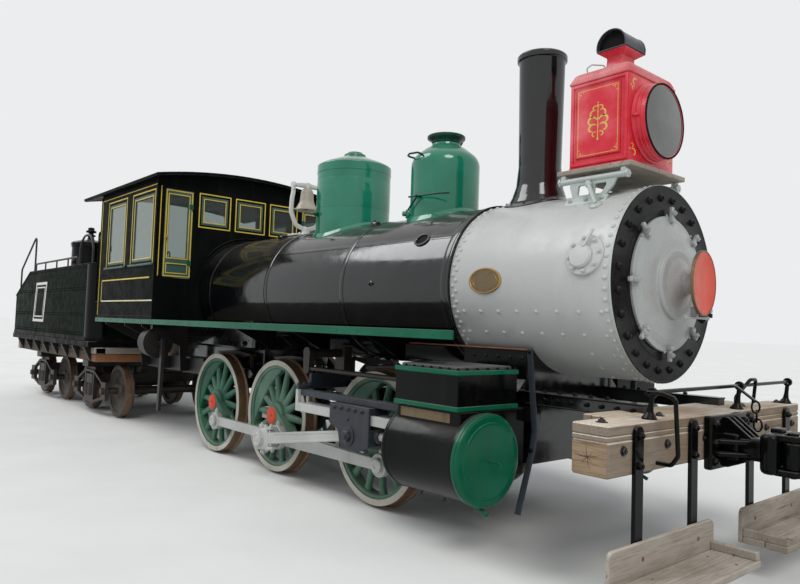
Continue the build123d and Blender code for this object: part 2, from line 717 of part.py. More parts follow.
# Bar frames with their pedestals, axle boxes and cross ties
AXLES = (REAR_AXLE_X, 0.0, FRONT_AXLE_X)
BEAM_BACK = BEAM_FRONT - BEAM_DEPTH
PLANK_BACK = BEAM_BACK - PLANK_DEPTH
FRAME_IN = FRAME_Y - FRAME_THICK / 2
FRAME_OUT = FRAME_Y + FRAME_THICK / 2
with BuildPart() as frame_bars:
    for side in SIDES:
        with BuildSketch(outboard(side, FRAME_IN, FRAME_OUT)) as bars:
            with BuildLine():
                Polyline(
                    (FRAME_BACK, FRAME_TOP - FRAME_TOP_DEPTH),
                    (CHEST_FRONT + 80.0, FRAME_TOP - FRAME_TOP_DEPTH),
                    (CHEST_FRONT + 80.0, FRAME_TOP),
                    (FRAME_BACK, FRAME_TOP),
                    close=True,
                )
            make_face()
            for axle_x in AXLES:
                low = DRIVER_R - AXLE_BOX_TALL / 2
                with Locations((axle_x, (low + FRAME_TOP) / 2)):
                    Rectangle(2 * PEDESTAL_HALF, FRAME_TOP - low)
                with Locations((axle_x, (DRIVER_R + AXLE_BOX_TALL / 2 + FRAME_TOP - FRAME_TOP_DEPTH) / 2)):
                    Rectangle(
                        2 * (PEDESTAL_HALF - PEDESTAL_LEG),
                        FRAME_TOP - FRAME_TOP_DEPTH - DRIVER_R - AXLE_BOX_TALL / 2,
                        mode=Mode.SUBTRACT,
                    )
            with BuildLine():
                Polyline(
                    (REAR_AXLE_X, FRAME_LOW_Z),
                    (FRONT_AXLE_X, FRAME_LOW_Z),
                    (CHEST_BACK, CYL_Z - 60.0),
                    (CHEST_BACK, CYL_Z + 30.0),
                    (FRONT_AXLE_X, FRAME_LOW_Z + FRAME_LOW_DEPTH),
                    (REAR_AXLE_X, FRAME_LOW_Z + FRAME_LOW_DEPTH),
                    close=True,
                )
            make_face()
            with Locations(*[(axle_x, DRIVER_R) for axle_x in AXLES]):
                Circle(AXLE_R + RUN_FIT, mode=Mode.SUBTRACT)
        extrude(bars.sketch, amount=FRAME_THICK)
        side_block(
            side,
            SADDLE_FRONT - FRONT_RAIL_LAP,
            BEAM_BACK,
            FRAME_IN,
            FRAME_OUT,
            FRONT_RAIL_Z,
            FRONT_RAIL_Z + FRONT_RAIL_DEPTH,
        )
        side_block(
            side, SADDLE_FRONT, SADDLE_FRONT + 85.0, FRAME_IN, FRAME_OUT, FRAME_TOP, FRONT_RAIL_Z
        )
    for tie_x in (-700.0, 850.0, 2330.0):
        block(tie_x - 30.0, tie_x + 30.0, -FRAME_IN, FRAME_IN, FRAME_TOP - FRAME_TOP_DEPTH, FRAME_TOP)
    block(FRAME_BACK - 60.0, FRAME_BACK + 40.0, -FRAME_OUT, FRAME_OUT, 820.0, FRAME_TOP)

# Drag box under the cab, with the lugs and the pin that hold the tender's drawbar
DRAG_BACK = -4300.0
DRAWBAR_THICK = 40.0
LUG_THICK = 36.0
with BuildPart() as drag_box:
    for side in SIDES:
        side_block(side, DRAG_BACK, FRAME_BACK - 60.0, FRAME_IN, FRAME_OUT, 880.0, 1100.0)
    block(DRAG_BACK, DRAG_BACK + 120.0, -FRAME_IN, FRAME_IN, 880.0, 1100.0)
    for low in (DRAW_Z - DRAWBAR_THICK / 2 - PASS_GAP - LUG_THICK, DRAW_Z + DRAWBAR_THICK / 2 + PASS_GAP):
        block(DRAW_PIN_X, DRAG_BACK, -110.0, 110.0, low, low + LUG_THICK)
        rod_along_z(DRAW_PIN_X, 0, 110.0, low, low + LUG_THICK)
    rod_along_z(DRAW_PIN_X, 0, DRAW_PIN_R, DRAW_Z - 95.0, DRAW_Z + 95.0)
    for x in (-4250.0, -3450.0, -2800.0):
        for side in SIDES:
            bracket = outline(
                Plane.YZ.offset(x),
                [
                    (side * (FRAME_OUT - 10.0), 900.0, 0),
                    (side * (FRAME_OUT - 10.0), FIREBOX_BOTTOM - 10.0, 0),
                    (side * (FIREBOX_HALF + SET_GAP), FIREBOX_BOTTOM - 10.0, 0),
                    (side * (FIREBOX_HALF + SET_GAP), BOARD_TOP - BOARD_THICK, 0),
                    (side * (BOARD_OUT - 60.0), BOARD_TOP - BOARD_THICK, 0),
                    (side * (BOARD_OUT - 60.0), BOARD_TOP - BOARD_THICK - 60.0, 0),
                    (side * (FIREBOX_HALF + 110.0), 1250.0, 0),
                    (side * (FIREBOX_HALF + 80.0), 900.0, 0),
                ],
            )
            extrude(bracket, amount=24.0)

# Boiler with its jacket, the firebox below it and the ash pan between the frames
with BuildPart() as boiler:
    rod_along_x(0, BOILER_Z, BOILER_R, BOILER_BACK, BOILER_FRONT)
    block(FIREBOX_BACK, FIREBOX_FRONT, -FIREBOX_HALF, FIREBOX_HALF, FIREBOX_WIDE_Z, BOILER_Z)
    block(FIREBOX_BACK, FIREBOX_FRONT, -ASHPAN_HALF, ASHPAN_HALF, FIREBOX_BOTTOM, FIREBOX_WIDE_Z)
    block(ASHPAN_BACK, ASHPAN_FRONT, -ASHPAN_HALF, ASHPAN_HALF, ASHPAN_BOTTOM, FIREBOX_BOTTOM)

# Smokebox shell, its front ring and the door with dogs, boss and blank round disc
RING_FRONT = SMOKEBOX_FRONT + FRONT_RING_THICK
with BuildPart() as smokebox:
    rod_along_x(0, BOILER_Z, SMOKEBOX_R, BOILER_FRONT, SMOKEBOX_FRONT)
    rod_along_x(
        0,
        BOILER_Z,
        SMOKEBOX_R - SMOKEBOX_WALL,
        BOILER_FRONT + SMOKEBOX_WALL,
        SMOKEBOX_FRONT,
        Mode.SUBTRACT,
    )
    rod_along_z(STACK_X, 0, STACK_LOW_R - STACK_WALL, BOILER_Z, BOILER_Z + SMOKEBOX_R, Mode.SUBTRACT)

with BuildPart() as smokebox_ring:
    rod_along_x(0, BOILER_Z, FRONT_RING_R, SMOKEBOX_FRONT, RING_FRONT)
    rod_along_x(0, BOILER_Z, DOOR_HOLE_R, SMOKEBOX_FRONT, RING_FRONT, Mode.SUBTRACT)
    for z in (BOILER_Z - 190.0, BOILER_Z + 190.0):
        block(RING_FRONT, RING_FRONT + 46.0, DOOR_HINGE_Y - 34.0, DOOR_HINGE_Y + 34.0, z - 40.0, z - 6.0)
        rod_along_z(RING_FRONT + 46.0, DOOR_HINGE_Y, 34.0, z - 40.0, z - 6.0)
        rod_along_z(RING_FRONT + 46.0, DOOR_HINGE_Y, DOOR_HINGE_R, z - 40.0, z + 40.0)

DOOR_BACK = RING_FRONT + SET_GAP
DOOR_HINGE_X = RING_FRONT + 46.0
with BuildPart() as smokebox_door:
    turn_fore(
        0,
        BOILER_Z,
        [
            (DOOR_BACK, 0, 0),
            (DOOR_BACK, DOOR_R, 0),
            (DOOR_BACK + DOOR_RIM_THICK, DOOR_R, 0),
            (DOOR_BACK + 62.0, DOOR_BOSS_R + 60.0, 160.0),
            (DOOR_BACK + 74.0, DOOR_BOSS_R, 0),
            (DOOR_BACK + DOOR_BOSS_OUT, DOOR_BOSS_R - 30.0, 24.0),
            (DOOR_BACK + DOOR_BOSS_OUT + 34.0, DOOR_NOSE_R, 60.0),
            (DOOR_BACK + DOOR_NOSE_OUT, 70.0, 0),
            (DOOR_BACK + DOOR_NOSE_OUT + DISC_GAP, 70.0, 0),
            (DOOR_BACK + DOOR_NOSE_OUT + DISC_GAP, DISC_R, 0),
            (DOOR_BACK + DOOR_NOSE_OUT + DISC_GAP + DISC_THICK, DISC_R, 0),
            (DOOR_BACK + DOOR_NOSE_OUT + DISC_GAP + DISC_THICK, 0, 0),
        ],
    )
    hollow = [
        (DOOR_BACK, 0, 0),
        (DOOR_BACK, DOOR_HOLE_R - 30.0, 0),
        (DOOR_BACK + 34.0, 240.0, 0),
        (DOOR_BACK + 44.0, 0, 0),
    ]
    turn_fore(0, BOILER_Z, hollow, Mode.SUBTRACT)
    for index in range(1, DOG_COUNT):
        angle = radians(index * 360 / DOG_COUNT)
        turn = Plane(origin=(DOOR_BACK, 0, BOILER_Z), x_dir=(0, cos(angle), sin(angle)), z_dir=(1, 0, 0))
        with BuildSketch(turn) as dog:
            with Locations((DOOR_R + DOG_LONG / 2 - 60.0, 0)):
                Rectangle(DOG_LONG, DOG_WIDE)
        extrude(dog.sketch, amount=DOOR_RIM_THICK + DOG_THICK)
    for z in (BOILER_Z - 190.0, BOILER_Z + 190.0):
        block(DOOR_BACK + 10.0, DOOR_HINGE_X + 16.0, 330.0, DOOR_HINGE_Y, z, z + 34.0)
        rod_along_z(DOOR_HINGE_X, DOOR_HINGE_Y, 36.0, z, z + 34.0)
        rod_along_z(DOOR_HINGE_X, DOOR_HINGE_Y, DOOR_HINGE_R + RUN_FIT, z, z + 34.0, Mode.SUBTRACT)

# Saddle between the cylinders, with the seat that holds the smokebox
with BuildPart() as saddle:
    with BuildSketch(Plane.YZ.offset(SADDLE_BACK)) as seat:
        with BuildLine():
            Polyline(
                (-FRAME_IN + SET_GAP, SADDLE_BOTTOM),
                (FRAME_IN - SET_GAP, SADDLE_BOTTOM),
                (FRAME_IN - SET_GAP, FRONT_RAIL_Z + FRONT_RAIL_DEPTH),
                (CHEST_IN - CHEST_BAND_PROUD, FRONT_RAIL_Z + FRONT_RAIL_DEPTH),
                (SADDLE_SEAT_HALF - 20.0, 1330.0),
                (SADDLE_SEAT_HALF, SADDLE_SEAT_Z),
                (-SADDLE_SEAT_HALF, SADDLE_SEAT_Z),
                (-SADDLE_SEAT_HALF + 20.0, 1330.0),
                (-CHEST_IN + CHEST_BAND_PROUD, FRONT_RAIL_Z + FRONT_RAIL_DEPTH),
                (-FRAME_IN + SET_GAP, FRONT_RAIL_Z + FRONT_RAIL_DEPTH),
                close=True,
            )
        make_face()
    extrude(seat.sketch, amount=SADDLE_FRONT - SADDLE_BACK)
    rod_along_x(0, BOILER_Z, SMOKEBOX_R, SADDLE_BACK, SADDLE_FRONT, Mode.SUBTRACT)

# Stack, flared at its foot and seated on the smokebox
with BuildPart() as stack:
    foot = BOILER_Z + SMOKEBOX_R - 120.0
    crown = BOILER_Z + SMOKEBOX_R
    turn_upright(
        STACK_X,
        0,
        [
            (STACK_LOW_R - STACK_WALL, foot, 0),
            (STACK_FOOT_R, foot, 0),
            (STACK_FOOT_R, crown + 12.0, 0),
            (STACK_LOW_R + 20.0, crown + 40.0, 60.0),
            (STACK_LOW_R, crown + STACK_FOOT_TALL, 0),
            (STACK_HIGH_R, STACK_TOP - STACK_RIM_TALL, 0),
            (STACK_RIM_R, STACK_TOP - STACK_RIM_TALL, 0),
            (STACK_RIM_R, STACK_TOP, 20.0),
            (STACK_HIGH_R - STACK_WALL, STACK_TOP, 0),
        ],
    )
    rod_along_x(0, BOILER_Z, SMOKEBOX_R, STACK_X - 400.0, STACK_X + 400.0, Mode.SUBTRACT)

# Domes
DOME_FOOT = BOILER_Z + BOILER_R * 0.55
DOME_CROWN = BOILER_Z + BOILER_R
with BuildPart() as sand_dome:
    turn_upright(
        SAND_X,
        0,
        [
            (0, DOME_FOOT, 0),
            (SAND_R, DOME_FOOT, 0),
            (SAND_R, SAND_SHOULDER + 20.0, 150.0),
            (SAND_NECK_R + 20.0, SAND_NECK_Z - 60.0, 60.0),
            (SAND_NECK_R, SAND_NECK_Z, 0),
            (SAND_RIM_R, SAND_TOP - 30.0, 0),
            (SAND_RIM_R, SAND_TOP, 0),
            (0, SAND_TOP, 0),
        ],
    )
    rod_along_x(0, BOILER_Z, BOILER_R, SAND_X - 700.0, SAND_X + 700.0, Mode.SUBTRACT)

with BuildPart() as steam_dome:
    turn_upright(
        STEAM_X,
        0,
        [
            (0, DOME_FOOT, 0),
            (STEAM_R, DOME_FOOT, 0),
            (STEAM_R, STEAM_SHOULDER, 30.0),
            (STEAM_CAP_R, STEAM_TOP - 20.0, 0),
            (STEAM_CAP_R, STEAM_TOP, 0),
            (0, STEAM_TOP, 0),
        ],
    )
    rod_along_x(0, BOILER_Z, BOILER_R, STEAM_X - 700.0, STEAM_X + 700.0, Mode.SUBTRACT)

# Bell in its stand
STAND_FOOT = BOILER_Z + BOILER_R - 70.0
BELL_PIVOT_R = 20.0
with BuildPart() as bell_stand:
    block(BELL_X - 110.0, BELL_X + 110.0, -BELL_STAND_HALF, BELL_STAND_HALF, STAND_FOOT, DOME_CROWN + 40.0)
    for side in SIDES:
        side_plate(
            side,
            BELL_STAND_HALF - 36.0,
            BELL_STAND_HALF,
            [
                (BELL_X - 90.0, DOME_CROWN + 30.0, 0),
                (BELL_X + 90.0, DOME_CROWN + 30.0, 0),
                (BELL_X + 34.0, BELL_Z + 34.0, 26.0),
                (BELL_X - 34.0, BELL_Z + 34.0, 26.0),
            ],
        )
        bore = BELL_PIVOT_R + RUN_FIT
        side_pin(side, BELL_X, BELL_Z, bore, BELL_STAND_HALF - 40.0, BELL_STAND_HALF, Mode.SUBTRACT)
    rod_along_x(0, BOILER_Z, BOILER_R, BELL_X - 200.0, BELL_X + 200.0, Mode.SUBTRACT)

BELL_CROWN = BELL_Z - 20.0
BELL_LIP = BELL_CROWN - BELL_TALL
with BuildPart() as bell:
    turn_upright(
        BELL_X,
        0,
        [
            (0, BELL_CROWN, 0),
            (BELL_R * 0.46, BELL_CROWN, 30.0),
            (BELL_R * 0.56, BELL_LIP + 110.0, 90.0),
            (BELL_R, BELL_LIP, 0),
            (BELL_R - 18.0, BELL_LIP, 0),
            (BELL_R * 0.56 - 18.0, BELL_LIP + 110.0, 60.0),
            (BELL_R * 0.40, BELL_CROWN - 26.0, 0),
            (0, BELL_CROWN - 26.0, 0),
        ],
    )
    yoke = BELL_STAND_HALF - 48.0
    block(BELL_X - 24.0, BELL_X + 24.0, -yoke, yoke, BELL_Z - 24.0, BELL_Z + 24.0)
    rod_along_y(BELL_X, BELL_Z, BELL_PIVOT_R, -BELL_STAND_HALF, BELL_STAND_HALF)
    rod_along_z(BELL_X, 0, 14.0, BELL_LIP + 20.0, BELL_CROWN - 20.0)
    with Locations((BELL_X, 0, BELL_LIP + 40.0)):
        Sphere(30.0)

# Headlight: case with its hood, the round front that opens, and the shelf that carries them
LAMP_DOOR_BACK = LAMP_FRONT + SET_GAP
LAMP_HINGE_R = 9.0
LAMP_PIN_R = 5.0
LAMP_HINGE_X = LAMP_DOOR_BACK + LAMP_HINGE_R
LAMP_HINGE_Y = LAMP_RING_R + 14.0
LAMP_HINGE_HALF = 45.0
with BuildPart() as headlight_case:
    with BuildSketch(Plane.YZ.offset(LAMP_BACK)) as section:
        with BuildLine():
            Polyline(
                (-LAMP_HALF, LAMP_LOW),
                (LAMP_HALF, LAMP_LOW),
                (LAMP_HALF, LAMP_HIGH),
                (LAMP_HALF - 70.0, LAMP_EAVE),
                (-LAMP_HALF + 70.0, LAMP_EAVE),
                (-LAMP_HALF, LAMP_HIGH),
                close=True,
            )
        make_face()
    extrude(section.sketch, amount=LAMP_FRONT - LAMP_BACK)
    block(
        LAMP_BACK + LAMP_WALL,
        LAMP_FRONT - LAMP_WALL,
        -LAMP_HALF + LAMP_WALL,
        LAMP_HALF - LAMP_WALL,
        LAMP_LOW + LAMP_WALL,
        LAMP_HIGH - LAMP_WALL,
        Mode.SUBTRACT,
    )
    rod_along_x(0, LAMP_RING_Z, LAMP_GLASS_R, LAMP_FRONT - LAMP_WALL, LAMP_FRONT, Mode.SUBTRACT)
    for low in (LAMP_RING_Z - LAMP_HINGE_HALF - 30.0, LAMP_RING_Z + LAMP_HINGE_HALF + 2.0):
        block(
            LAMP_FRONT,
            LAMP_HINGE_X + LAMP_HINGE_R,
            LAMP_HINGE_Y - LAMP_HINGE_R,
            LAMP_HINGE_Y + LAMP_HINGE_R,
            low,
            low + 28.0,
        )
    rod_along_z(
        LAMP_HINGE_X,
        LAMP_HINGE_Y,
        LAMP_PIN_R,
        LAMP_RING_Z - LAMP_HINGE_HALF - 20.0,
        LAMP_RING_Z + LAMP_HINGE_HALF + 20.0,
    )
    block(LAMP_HOOD_X - 110.0, LAMP_HOOD_X + 110.0, -110.0, 110.0, LAMP_EAVE, LAMP_HOOD_Z - 80.0)
    with BuildSketch(Plane.XZ.offset(-LAMP_HOOD_HALF)) as hood:
        with Locations((LAMP_HOOD_X, LAMP_HOOD_Z)):
            Circle(LAMP_HOOD_R)
            Circle(LAMP_HOOD_R - LAMP_WALL, mode=Mode.SUBTRACT)
            with Locations((0, -LAMP_HOOD_R)):
                Rectangle(2.2 * LAMP_HOOD_R, 2 * LAMP_HOOD_R, mode=Mode.SUBTRACT)
        with Locations((LAMP_HOOD_X, LAMP_HOOD_Z - LAMP_WALL / 2)):
            Rectangle(2 * LAMP_HOOD_R, LAMP_WALL)
        with BuildLine():
            Polyline(
                (LAMP_HOOD_X - LAMP_HOOD_R, LAMP_HOOD_Z - LAMP_WALL),
                (LAMP_HOOD_X + LAMP_HOOD_R, LAMP_HOOD_Z - LAMP_WALL),
                (LAMP_HOOD_X + 110.0, LAMP_HOOD_Z - 90.0),
                (LAMP_HOOD_X - 110.0, LAMP_HOOD_Z - 90.0),
                close=True,
            )
        make_face()
    extrude(hood.sketch, amount=2 * LAMP_HOOD_HALF)

with BuildPart() as headlight_door:
    turn_fore(
        0,
        LAMP_RING_Z,
        [
            (LAMP_DOOR_BACK, LAMP_GLASS_R, 0),
            (LAMP_DOOR_BACK, LAMP_RING_R, 0),
            (LAMP_DOOR_BACK + 50.0, LAMP_RING_R, 0),
            (LAMP_DOOR_BACK + LAMP_RING_LONG, LAMP_RING_R - 14.0, 0),
            (LAMP_DOOR_BACK + LAMP_RING_LONG, LAMP_GLASS_R, 0),
        ],
    )
    low = LAMP_RING_Z - LAMP_HINGE_HALF
    high = LAMP_RING_Z + LAMP_HINGE_HALF
    block(LAMP_DOOR_BACK, LAMP_HINGE_X + LAMP_HINGE_R, LAMP_RING_R - 12.0, LAMP_HINGE_Y, low, high)
    rod_along_z(LAMP_HINGE_X, LAMP_HINGE_Y, LAMP_HINGE_R - SET_GAP / 2, low, high)
    rod_along_z(LAMP_HINGE_X, LAMP_HINGE_Y, LAMP_PIN_R + RUN_FIT, low, high, Mode.SUBTRACT)

with BuildPart() as headlight_glass:
    rod_along_x(
        0,
        LAMP_RING_Z,
        LAMP_GLASS_R,
        LAMP_DOOR_BACK + LAMP_RING_LONG - 40.0,
        LAMP_DOOR_BACK + LAMP_RING_LONG - 32.0,
    )

SHELF_THICK = 40.0
SHELF_HALF = 400.0
BRACKET_THICK = 40.0
with BuildPart() as headlight_shelf:
    block(LAMP_BACK - 70.0, LAMP_FRONT + 70.0, -SHELF_HALF, SHELF_HALF, LAMP_LOW - SHELF_THICK, LAMP_LOW)
    for side in SIDES:
        side_plate(
            side,
            SHELF_HALF - 60.0 - BRACKET_THICK,
            SHELF_HALF - 60.0,
            [
                (LAMP_BACK + 20.0, LAMP_LOW - SHELF_THICK, 0),
                (LAMP_FRONT - 40.0, LAMP_LOW - SHELF_THICK, 0),
                (LAMP_FRONT - 160.0, 2560.0, 0),
                (LAMP_BACK + 20.0, 2560.0, 0),
            ],
        )
    rod_along_x(0, BOILER_Z, SMOKEBOX_R, LAMP_BACK - 100.0, SMOKEBOX_FRONT, Mode.SUBTRACT)

# Running boards, each with a deep edge strip and brackets off the boiler
BOARD_BOTTOM = BOARD_TOP - BOARD_THICK
BOARD_IN = sqrt(BOILER_R**2 - (BOILER_Z - BOARD_TOP) ** 2) + SET_GAP
with BuildPart() as running_boards:
    for side in SIDES:
        side_block(side, BOARD_BACK, BOARD_FRONT, FIREBOX_HALF + SET_GAP, BOARD_OUT, BOARD_BOTTOM, BOARD_TOP)
        side_block(
            side, BOARD_BACK, BOARD_FRONT, BOARD_OUT - 16.0, BOARD_OUT, BOARD_TOP - BOARD_EDGE, BOARD_TOP
        )
    for side in SIDES:
        for x in (-500.0, 700.0, 1900.0):
            side_plate(
                side,
                BOARD_IN - 70.0,
                BOARD_IN + 420.0,
                [
                    (x, BOARD_BOTTOM - 260.0, 0),
                    (x + 22.0, BOARD_BOTTOM - 260.0, 0),
                    (x + 22.0, BOARD_BOTTOM, 0),
                    (x, BOARD_BOTTOM, 0),
                ],
            )
    rod_along_x(0, BOILER_Z, BOILER_R + SET_GAP, FIREBOX_FRONT, BOARD_FRONT, Mode.SUBTRACT)


# Cab: two sides, front, floor, roof and fittings
CAB_IN = CAB_HALF - CAB_WALL
with BuildPart() as cab_sides:
    for side in SIDES:
        side_block(side, CAB_BACK, CAB_FRONT, CAB_IN, CAB_HALF, BOARD_TOP, CAB_EAVE)
        for low, high in SIDE_WINDOWS:
            sill = SIDE_WINDOW_LOW
            side_block(side, low, high, CAB_IN, CAB_HALF, sill, SIDE_WINDOW_HIGH, Mode.SUBTRACT)


def roof_section(plane, lower, half):
    """The roof's arched underside closed down to a level line."""
    with BuildSketch(plane) as drawn:
        with BuildLine():
            ThreePointArc((-half, roof_z(half)), (0, ROOF_CROWN - ROOF_THICK), (half, roof_z(half)))
            Polyline((half, roof_z(half)), (half, lower), (-half, lower), (-half, roof_z(half)))
        make_face()
    return drawn.sketch


def roof_z(half):
    """Height of the roof's underside at a distance from the centre line."""
    rise = ROOF_CROWN - ROOF_THICK - ROOF_EAVE
    radius = (ROOF_HALF**2 + rise**2) / (2 * rise)
    return ROOF_CROWN - ROOF_THICK - radius + sqrt(radius**2 - half**2)


CAB_HINGE_R = 10.0
CAB_PIN_R = 5.0
CAB_ARM_R = 7.5
CAB_FOOT_WIDE = 24.0
CAB_HINGE_X = CAB_FRONT + CAB_HINGE_R
CAB_HINGE_Y = CAB_DOOR_IN + PASS_GAP + CAB_HINGE_R
CAB_HINGE_TALL = 70.0
CAB_HINGE_LOWS = (CAB_DOOR_LOW + 180.0, CAB_DOOR_HIGH - 250.0)
with BuildPart() as cab_front:
    extrude(roof_section(Plane.YZ.offset(CAB_FRONT - CAB_WALL), BOARD_TOP, CAB_IN), amount=CAB_WALL)
    for low, high in FRONT_WINDOWS:
        block(
            CAB_FRONT - CAB_WALL, CAB_FRONT, low, high, FRONT_WINDOW_LOW, FRONT_WINDOW_HIGH, Mode.SUBTRACT
        )
    for side in SIDES:
        side_block(
            side,
            CAB_FRONT - CAB_WALL,
            CAB_FRONT,
            CAB_DOOR_IN,
            CAB_DOOR_OUT,
            CAB_DOOR_LOW,
            CAB_DOOR_HIGH,
            Mode.SUBTRACT,
        )
    rod_along_x(0, BOILER_Z, BOILER_R, CAB_FRONT - CAB_WALL, CAB_FRONT, Mode.SUBTRACT)
    block(
        CAB_FRONT - CAB_WALL, CAB_FRONT, -FIREBOX_HALF, FIREBOX_HALF, BOARD_TOP, BOILER_Z, Mode.SUBTRACT
    )
    for side in SIDES:
        for low in CAB_HINGE_LOWS:
            foot = low - 20.0
            top = low - 2.0
            arm_front = CAB_HINGE_X + CAB_ARM_R
            side_block(side, CAB_FRONT, arm_front, CAB_DOOR_IN - CAB_FOOT_WIDE, CAB_DOOR_IN, foot, top)
            side_block(side, CAB_HINGE_X - CAB_ARM_R, arm_front, CAB_DOOR_IN, CAB_HINGE_Y, foot, top)
            rod_along_z(CAB_HINGE_X, side * CAB_HINGE_Y, CAB_ARM_R, foot, top)
            rod_along_z(CAB_HINGE_X, side * CAB_HINGE_Y, CAB_PIN_R, foot, low + CAB_HINGE_TALL)

with BuildPart() as cab_roof:
    with BuildSketch(Plane.YZ.offset(ROOF_BACK)) as arch:
        with BuildLine():
            ThreePointArc((-ROOF_HALF, ROOF_EAVE), (0, ROOF_CROWN - ROOF_THICK), (ROOF_HALF, ROOF_EAVE))
            Line((ROOF_HALF, ROOF_EAVE), (ROOF_HALF, ROOF_EAVE + ROOF_THICK))
            ThreePointArc(
                (ROOF_HALF, ROOF_EAVE + ROOF_THICK), (0, ROOF_CROWN), (-ROOF_HALF, ROOF_EAVE + ROOF_THICK)
            )
            Line((-ROOF_HALF, ROOF_EAVE + ROOF_THICK), (-ROOF_HALF, ROOF_EAVE))
        make_face()
    extrude(arch.sketch, amount=ROOF_FRONT - ROOF_BACK)
    for side in SIDES:
        side_block(
            side, CAB_BACK, CAB_FRONT, CAB_HALF - CAB_WALL, CAB_HALF, CAB_EAVE, roof_z(CAB_HALF) + 4.0
        )

with BuildPart() as cab_floor:
    block(CAB_BACK, BOILER_BACK, -FIREBOX_HALF, FIREBOX_HALF, BOARD_TOP - CAB_FLOOR_THICK, BOARD_TOP)
    for x in (-4250.0, -3450.0):
        block(x + 30.0, x + 90.0, -FIREBOX_HALF, FIREBOX_HALF, 1100.0, BOARD_TOP - CAB_FLOOR_THICK)

with BuildPart() as cab_fittings:
    for side in SIDES:
        side_block(side, -4380.0, -3480.0, 760.0, CAB_IN, BOARD_TOP, 2060.0)
    block(BOILER_BACK - 40.0, BOILER_BACK, -210.0, 210.0, 1700.0, 2000.0)
    rod_along_x(0, 2500.0, 34.0, BOILER_BACK - 150.0, BOILER_BACK)
    block(BOILER_BACK - 180.0, BOILER_BACK - 150.0, -30.0, 420.0, 2480.0, 2520.0)
    side_plate(
        RIGHT,
        690.0,
        720.0,
        [
            (-3420.0, BOARD_TOP, 0),
            (-3360.0, BOARD_TOP, 0),
            (-3520.0, 2640.0, 0),
            (-3570.0, 2640.0, 0),
        ],
    )

with BuildPart() as cab_glass:
    for side in SIDES:
        for low, high in SIDE_WINDOWS:
            middle = CAB_HALF - CAB_WALL / 2
            side_block(
                side,
                low,
                high,
                middle - GLASS_THICK / 2,
                middle + GLASS_THICK / 2,
                SIDE_WINDOW_LOW,
                SIDE_WINDOW_HIGH,
            )
    for low, high in FRONT_WINDOWS:
        middle = CAB_FRONT - CAB_WALL / 2
        block(
            middle - GLASS_THICK / 2, middle + GLASS_THICK / 2, low, high, FRONT_WINDOW_LOW, FRONT_WINDOW_HIGH
        )


def cab_door(side):
    """One narrow front door with its long light and a small panel below it."""
    light_in, light_out, light_low, light_high = CAB_DOOR_LIGHT
    back = CAB_FRONT - CAB_DOOR_THICK
    with BuildPart() as door:
        side_block(
            side,
            back,
            CAB_FRONT,
            CAB_DOOR_IN + PASS_GAP,
            CAB_DOOR_OUT - PASS_GAP,
            CAB_DOOR_LOW + PASS_GAP,
            CAB_DOOR_HIGH - PASS_GAP,
        )
        side_block(side, back, CAB_FRONT, light_in, light_out, light_low, light_high, Mode.SUBTRACT)
        for low in CAB_HINGE_LOWS:
            high = low + CAB_HINGE_TALL
            near = CAB_DOOR_IN + PASS_GAP
            side_block(side, CAB_FRONT, CAB_HINGE_X, near, near + 2 * CAB_HINGE_R, low, high)
            rod_along_z(CAB_HINGE_X, side * CAB_HINGE_Y, CAB_HINGE_R, low, high)
            rod_along_z(CAB_HINGE_X, side * CAB_HINGE_Y, CAB_PIN_R + RUN_FIT, low, high, Mode.SUBTRACT)
    return door


cab_doors = {side: cab_door(side) for side in SIDES}

# Brake cylinders and hangers, springs over the frame
BRAKE_X = -2560.0
BRAKE_Y = 1190.0
BRAKE_Z = 1310.0
BRAKE_R = 185.0
with BuildPart() as brake_gear:
    for side in SIDES:
        rod_along_x(side * BRAKE_Y, BRAKE_Z, BRAKE_R, BRAKE_X - 150.0, BRAKE_X + 130.0)
        rod_along_x(side * BRAKE_Y, BRAKE_Z, BRAKE_R + 20.0, BRAKE_X + 70.0, BRAKE_X + 110.0)
        side_block(
            side, BRAKE_X - 40.0, BRAKE_X + 40.0, BRAKE_Y - 60.0, BRAKE_Y + 60.0, BRAKE_Z, BOARD_BOTTOM
        )
        rod_along_x(side * BRAKE_Y, BRAKE_Z, 30.0, BRAKE_X + 130.0, BRAKE_X + 260.0)
        side_plate(
            side,
            BRAKE_Y - 22.0,
            BRAKE_Y + 22.0,
            [
                (BRAKE_X + 200.0, 420.0, 0),
                (BRAKE_X + 260.0, 420.0, 0),
                (BRAKE_X + 300.0, BRAKE_Z + 60.0, 0),
                (BRAKE_X + 230.0, BRAKE_Z + 60.0, 0),
            ],
        )

SPRING_HALF = 430.0
with BuildPart() as springs:
    for side in SIDES:
        for x in AXLES:
            side_plate(
                side,
                FRAME_Y - 50.0,
                FRAME_Y + 50.0,
                [
                    (x - SPRING_HALF, 1210.0, 0),
                    (x - 60.0, 1150.0, 0),
                    (x + 60.0, 1150.0, 0),
                    (x + SPRING_HALF, 1210.0, 0),
                    (x + SPRING_HALF, 1232.0, 0),
                    (x + 60.0, 1260.0, 0),
                    (x - 60.0, 1260.0, 0),
                    (x - SPRING_HALF, 1232.0, 0),
                ],
            )
            side_block(side, x - 45.0, x + 45.0, FRAME_Y - 50.0, FRAME_Y + 50.0, FRAME_TOP, 1150.0)
            for hanger in (x - SPRING_HALF + 25.0, x + SPRING_HALF - 25.0):
                side_block(
                    side, hanger - 16.0, hanger + 16.0, FRAME_Y - 20.0, FRAME_Y + 20.0, FRAME_TOP, 1225.0
                )

